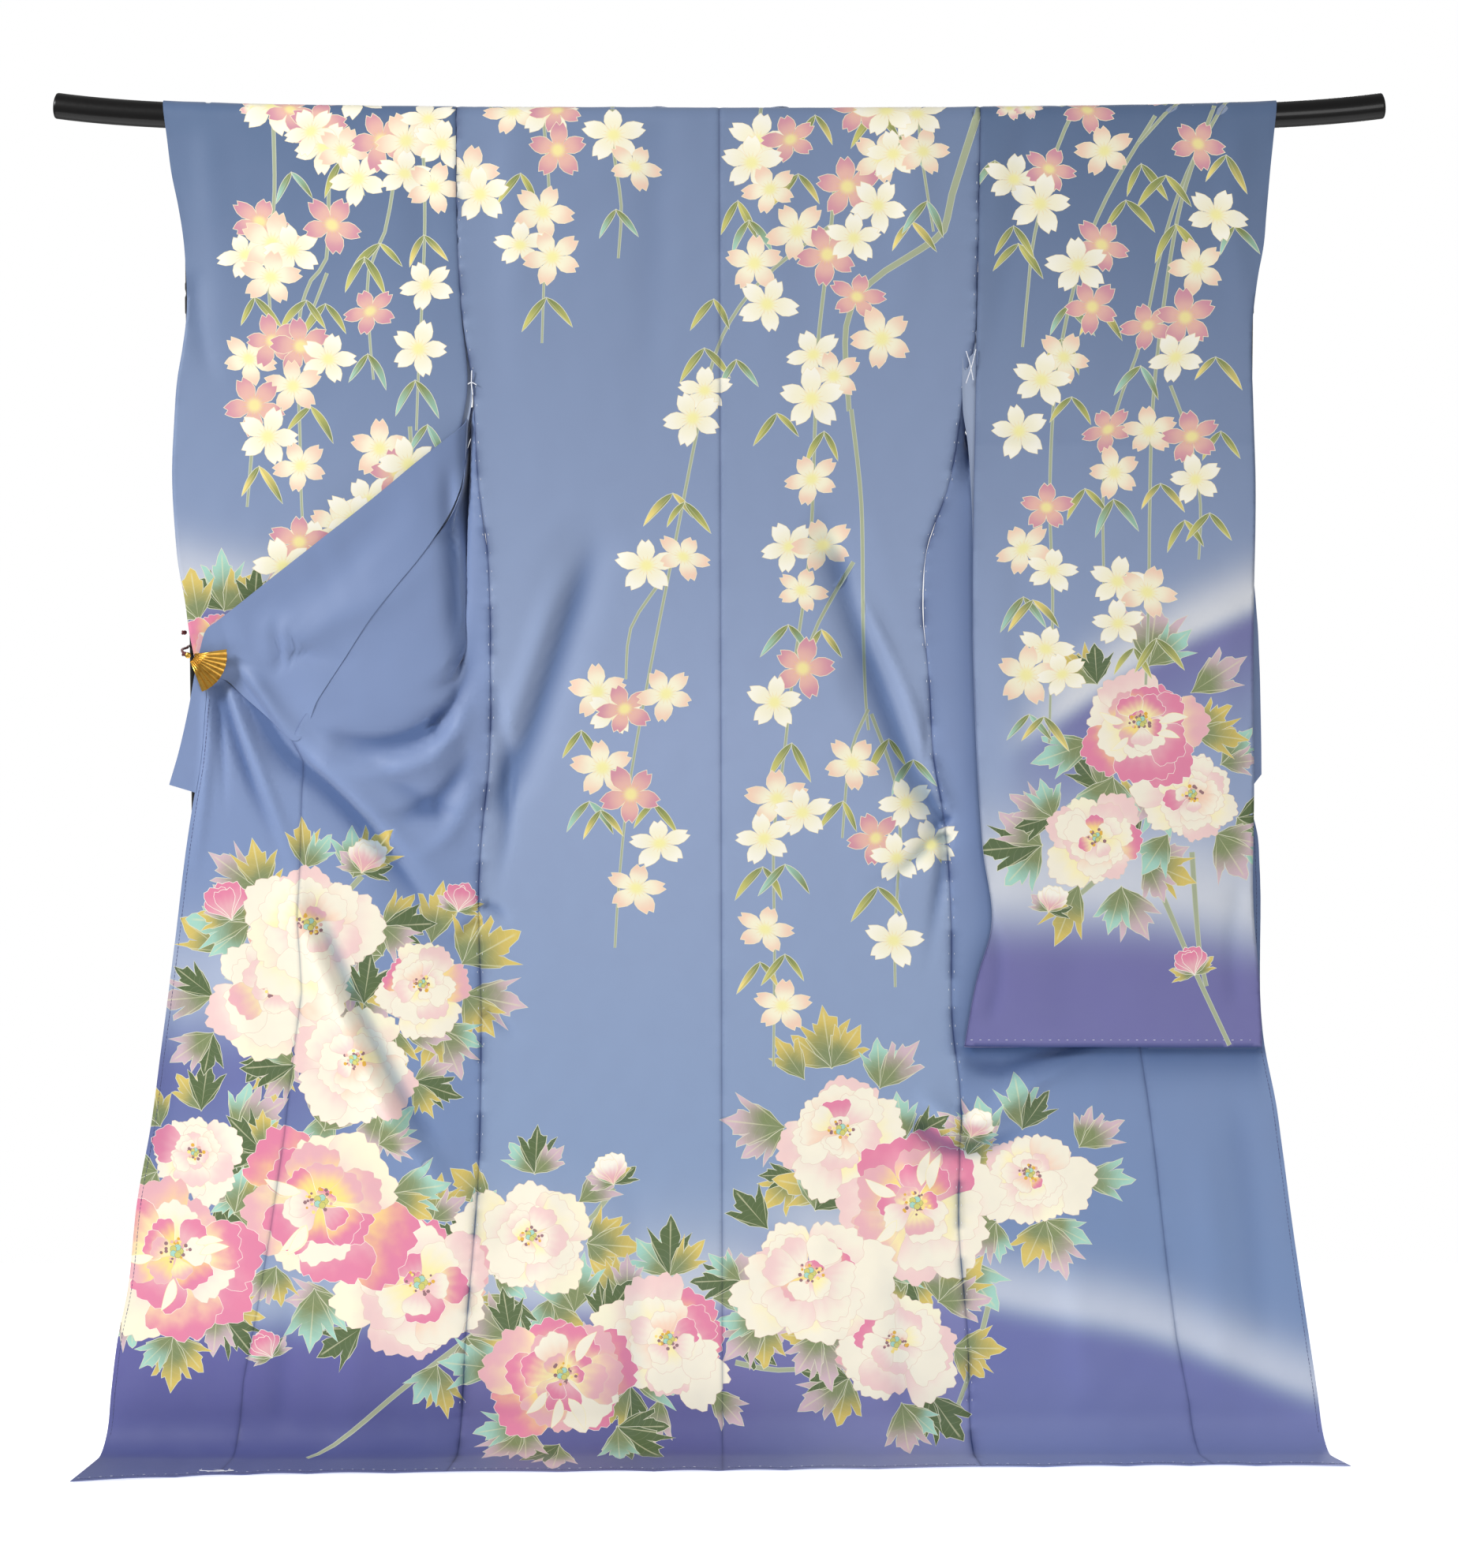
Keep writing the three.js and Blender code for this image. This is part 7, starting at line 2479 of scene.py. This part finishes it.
@dataclass
class Sewing:
    """The threads that show: tacks beside the seams, rows above the hems, and a few loose ends."""

    seed: int = 12

    def rows(self, pieces: dict[str, Cloth]) -> list[Row]:
        """Fills the rows of stitches for the cloth pieces."""
        white = Row("tacking_threads", Bead.STITCH, 2.8 * MM, 0.6 * MM, 0.3, 0.8, self.seed)
        dark = Row("seam_threads", Bead.STITCH, 4.6 * MM, 0.7 * MM, 0.2, 0.8, self.seed + 1)
        for name in ("back_left", "back_right", "front_left", "front_right", "overlap_left", "overlap_right"):
            cloth = pieces[name]
            self.above_hem(cloth, white, 11.0, 13.0)
            self.above_hem(cloth, dark, 7.0, 4.2)
        for name in ("sleeve_left", "sleeve_right"):
            cloth = pieces[name]
            x0, x1 = (float(edge(np.array([cloth.foot]))[0]) for edge in (cloth.low, cloth.high))
            xs = np.arange(x0 + 9, x1 - 6, 11.0)
            for v in (cloth.foot + 9.5, 2 * cloth.turn - cloth.foot - 9.5):
                self.line(cloth, np.stack([xs, np.full_like(xs, v)], axis=1), white)
        for kind, left_side, row, *where in (("back", -1, white, 60, 1640, 23.0, 3.4),
                                             ("front", 1, white, 60, 1300, 23.0, 3.4),
                                             ("overlap", -1, dark, 20, 960, 5.2, 5.0)):
            self.beside(pieces[f"{kind}_left"], left_side, row, *where)
            self.beside(pieces[f"{kind}_right"], -left_side, row, *where)
        return [white, dark]

    def line(self, cloth: Cloth, flat: Array, row: Row) -> None:
        """Sews a row along points of a piece."""
        here, out = cloth.sewn_line(flat, 0.12)
        row.put(here, unit(np.gradient(here, axis=0)), out)

    def above_hem(self, cloth: Cloth, row: Row, rise: float, step: float) -> None:
        """A row above the hem."""
        xs = np.arange(min(cloth.hem_x) + 8, max(cloth.hem_x) - 6, step)
        self.line(cloth, np.stack([xs, DRAPE.hem(xs) + rise], axis=1), row)

    def beside(self, cloth: Cloth, side: int, row: Row, low: float, high: float, step: float,
               inset: float) -> None:
        """A row beside one edge."""
        vs = np.arange(low, high, step)
        x = cloth.low(vs) + inset if side < 0 else cloth.high(vs) - inset
        self.line(cloth, np.stack([x, vs], axis=1), row)

    def loose(self, thread: bpy.types.Material) -> bpy.types.Object:
        """The ties at the two slits and the loose ends at the left hem."""
        rng = np.random.default_rng(self.seed)
        ends = [
            ([(-309, -27, 1368), (-309.5, -27, 1352), (-308, -26.5, 1338)], 0.7),
            ([(-314, -27, 1351), (-309, -28, 1353), (-303, -27.5, 1350)], 0.7),
            ([(320, -27, 1394), (315, -30, 1374), (308, -27, 1352)], 0.6),
            ([(308, -27, 1392), (313, -30, 1374), (317, -27, 1356)], 0.6),
        ]
        for k in range(3):
            x = -640 + 12 * k
            line = [(x + rng.uniform(-4, 4) + j * rng.uniform(-3, 5), -120 - j * 4.0,
                     2.2 + 0.3 * j) for j in range(5)]
            ends.append((line, 0.45))
        tubes = []
        for k, (line, radius) in enumerate(ends):
            path = smooth_line(line, 2.0) * MM
            tubes.append(tube(f"thread_{k}", path, np.full(len(path), radius * MM), thread, 6))
        piece = joined(*tubes)
        piece.name = piece.data.name = "loose_threads"
        return piece


# ---------------------------------------------------------------- the garment and the studio


@dataclass(frozen=True)
class CutSize:
    """The flat cut of one piece in metres, its area where it isn't a rectangle, and what it rests on."""

    width: float
    length: float
    area: float | None = None
    rests_on: tuple[str, ...] = ("lacquer_rail",)


CUT_SIZES = {"collar": CutSize(0.085, 2.30)}
for half in ("left", "right"):
    CUT_SIZES |= {
        f"back_{half}": CutSize(0.325, 1.79),
        f"front_{half}": CutSize(0.300, 1.80, 0.42),
        f"overlap_{half}": CutSize(0.178, 1.10, 0.150, (f"front_{half}_silk",)),
        f"sleeve_{half}": CutSize(0.365, 2.36),
    }


@dataclass
class Kimono:
    """The garment: two backs, two fronts, two overlaps, the collar band and two sleeves."""

    silk: bpy.types.Material
    reverse: bpy.types.Material

    def cloths(self) -> dict[str, Cloth]:
        """The pieces of cloth by the names of the CAD nodes that they stand for."""
        both = (SIDE_SEAM_LEFT, CENTRE_SEAM), (CENTRE_SEAM, SIDE_SEAM_RIGHT)
        return {
            "back_left": SpreadCloth("back_left_silk", SIDE_LEFT, CENTRE, None, both[0]),
            "back_right": SpreadCloth("back_right_silk", CENTRE, SIDE_RIGHT, None, both[1]),
            "front_left": FrontCloth("front_left_silk", CUT_LEFT, SIDE_LEFT, OVERLAP_SEAM_LEFT,
                                     (OVERLAP_SEAM, SIDE_SEAM_LEFT)),
            "front_right": FrontCloth("front_right_silk", CUT_RIGHT, SIDE_RIGHT,
                                      OVERLAP_SEAM_RIGHT, (SIDE_SEAM_RIGHT, OVERLAP_SEAM)),
            "overlap_left": SpreadCloth("overlap_left_silk", EDGE_LEFT, OVERLAP_SEAM_LEFT, 985.0,
                                        (FREE_EDGE, OVERLAP_SEAM)),
            "overlap_right": SpreadCloth("overlap_right_silk", OVERLAP_SEAM_RIGHT, EDGE_RIGHT,
                                         985.0, (OVERLAP_SEAM, FREE_EDGE)),
            "collar": CollarCloth(),
            "sleeve_left": SleeveCloth("sleeve_left_silk", SLEEVE_LEFT,
                                       Ground(SLEEVE_LEFT_HAZES, DYES.blue_sleeve)),
            "sleeve_right": SleeveCloth("sleeve_right_silk", SLEEVE_RIGHT,
                                        Ground(SLEEVE_RIGHT_HAZES, DYES.blue_sleeve)),
        }

    def build(self, cloths: dict[str, Cloth], layout: Layout) -> list[tuple[bpy.types.Object, str]]:
        """Cuts, dyes and hangs every piece."""
        designs = {"sleeve_left": layout.sleeve_left, "sleeve_right": layout.sleeve_right}
        return [(cloth.build(designs.get(node, layout.body), (self.silk, self.reverse)), node)
                for node, cloth in cloths.items()]


@dataclass(frozen=True)
class Softbox:
    """One area light."""

    name: str
    place: tuple[float, float, float]
    aim: tuple[float, float, float]
    size: tuple[float, float]
    power: float

    def light(self) -> None:
        """Hangs the light."""
        data = bpy.data.lights.new(self.name, "AREA")
        data.shape, data.energy = "RECTANGLE", self.power
        data.size, data.size_y = self.size
        lamp = bpy.data.objects.new(self.name, data)
        lamp.location = self.place
        lamp.rotation_euler = (Vector(self.aim) - Vector(self.place)).to_track_quat("-Z", "Y").to_euler()
        bpy.context.collection.objects.link(lamp)


@dataclass
class Studio:
    """A white floor, white surroundings, soft light and the camera."""

    lens: float = 65.70
    place: tuple[float, float, float] = (0.012, -3.625, 1.077)
    pitch: float = 3.6
    white: float = 1.0
    ambient: float = 0.34
    lights: tuple[Softbox, ...] = (
        Softbox("key", (-2.7, -2.1, 2.7), (0.0, 0.0, 0.9), (1.0, 1.0), 110.0),
        Softbox("fill", (1.2, -3.6, 1.3), (0.0, 0.0, 0.9), (1.6, 1.6), 28.0),
        Softbox("rear", (0.6, 3.4, 2.4), (0.0, 0.0, 0.9), (2.0, 2.0), 60.0),
    )

    def camera(self) -> None:
        """Sets the camera up."""
        data = bpy.data.cameras.new("camera")
        data.sensor_fit, data.sensor_width, data.lens = "AUTO", 36.0, self.lens
        data.clip_end = 60.0
        camera = bpy.data.objects.new("camera", data)
        camera.location = self.place
        camera.rotation_euler = (math.radians(90.0 - self.pitch), 0.0, 0.0)
        bpy.context.collection.objects.link(camera)
        bpy.context.scene.camera = camera

    def light(self, floor_white: bpy.types.Material) -> None:
        """Lights the studio and lays its floor."""
        world = bpy.data.worlds.new("studio")
        world.use_nodes = True
        tree = world.node_tree
        seen, lit = tree.nodes["Background"], tree.nodes.new("ShaderNodeBackground")
        for back, strength in ((seen, self.white), (lit, self.ambient)):
            back.inputs["Color"].default_value = (1.0, 1.0, 1.0, 1.0)
            back.inputs["Strength"].default_value = strength
        either, path = tree.nodes.new("ShaderNodeMixShader"), tree.nodes.new("ShaderNodeLightPath")
        tree.links.new(path.outputs["Is Camera Ray"], either.inputs[0])
        tree.links.new(lit.outputs[0], either.inputs[1])
        tree.links.new(seen.outputs[0], either.inputs[2])
        tree.links.new(either.outputs[0], tree.nodes["World Output"].inputs["Surface"])
        bpy.context.scene.world = world
        bpy.context.scene.view_settings.view_transform = "Standard"
        for lamp in self.lights:
            lamp.light()
        x, y = np.meshgrid(np.linspace(-1.6, 1.6, 9), np.linspace(-1.0, 1.0, 9))
        vertices = np.stack([x.ravel(), y.ravel(), np.full(81, -0.0006)], axis=1)
        faces = [(r * 9 + c, r * 9 + c + 1, r * 9 + c + 10,
                  r * 9 + c + 9) for r in range(8) for c in range(8)]
        floor = solid("studio_floor", vertices, faces, floor_white)


def settle(piece: bpy.types.Object, slot: str, nodes: Sequence[str]) -> None:
    """Hangs a finished piece in the frame: on the one body, in place of its CAD nodes."""
    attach(piece, BODY)
    if nodes:
        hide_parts(*nodes)
    LOG.info("piece %s for %s", piece.name, ", ".join(nodes) or "the garment")


def main() -> None:
    """Builds the stand, the garment, its threads and the studio."""
    logging.basicConfig(level=logging.INFO, format="%(message)s")
    studio = Studio()
    studio.camera()
    lacquer, gilt = Lacquer("black_lacquer").make(), Gilt("gilt").make()
    cord = Thread("dark_red_cord", dye(110, 30, 34), dye(60, 12, 16)).make()
    white = Thread("white_thread", dye(238, 240, 244), dye(196, 200, 214)).make()
    navy = Thread("navy_thread", dye(72, 78, 124), dye(48, 52, 92)).make()
    for piece, nodes in Stand().build(lacquer):
        settle(piece, "lacquer", nodes)
    for piece, nodes in Clip().build(gilt, cord):
        settle(piece, "gilt" if "ribs" in piece.name else "cord", nodes)

    kimono = Kimono(Silk("dyed_silk").make(), Silk("silk_reverse", 0.35, 0.6, 0.2).make())
    cloths = kimono.cloths()
    made = kimono.build(cloths, Layout())
    for piece, node in made:
        settle(piece, "silk", (node,))
        cut = CUT_SIZES[node]
        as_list(cut.rests_on)

    sewing = Sewing()
    for row, thread in zip(sewing.rows(cloths), (white, navy)):
        settle(row.make(thread), "silk", ())
    settle(sewing.loose(white), "silk", ())
    studio.light(StudioWhite("studio_white", 0.55).make())


if __name__ == "__main__":
    main()
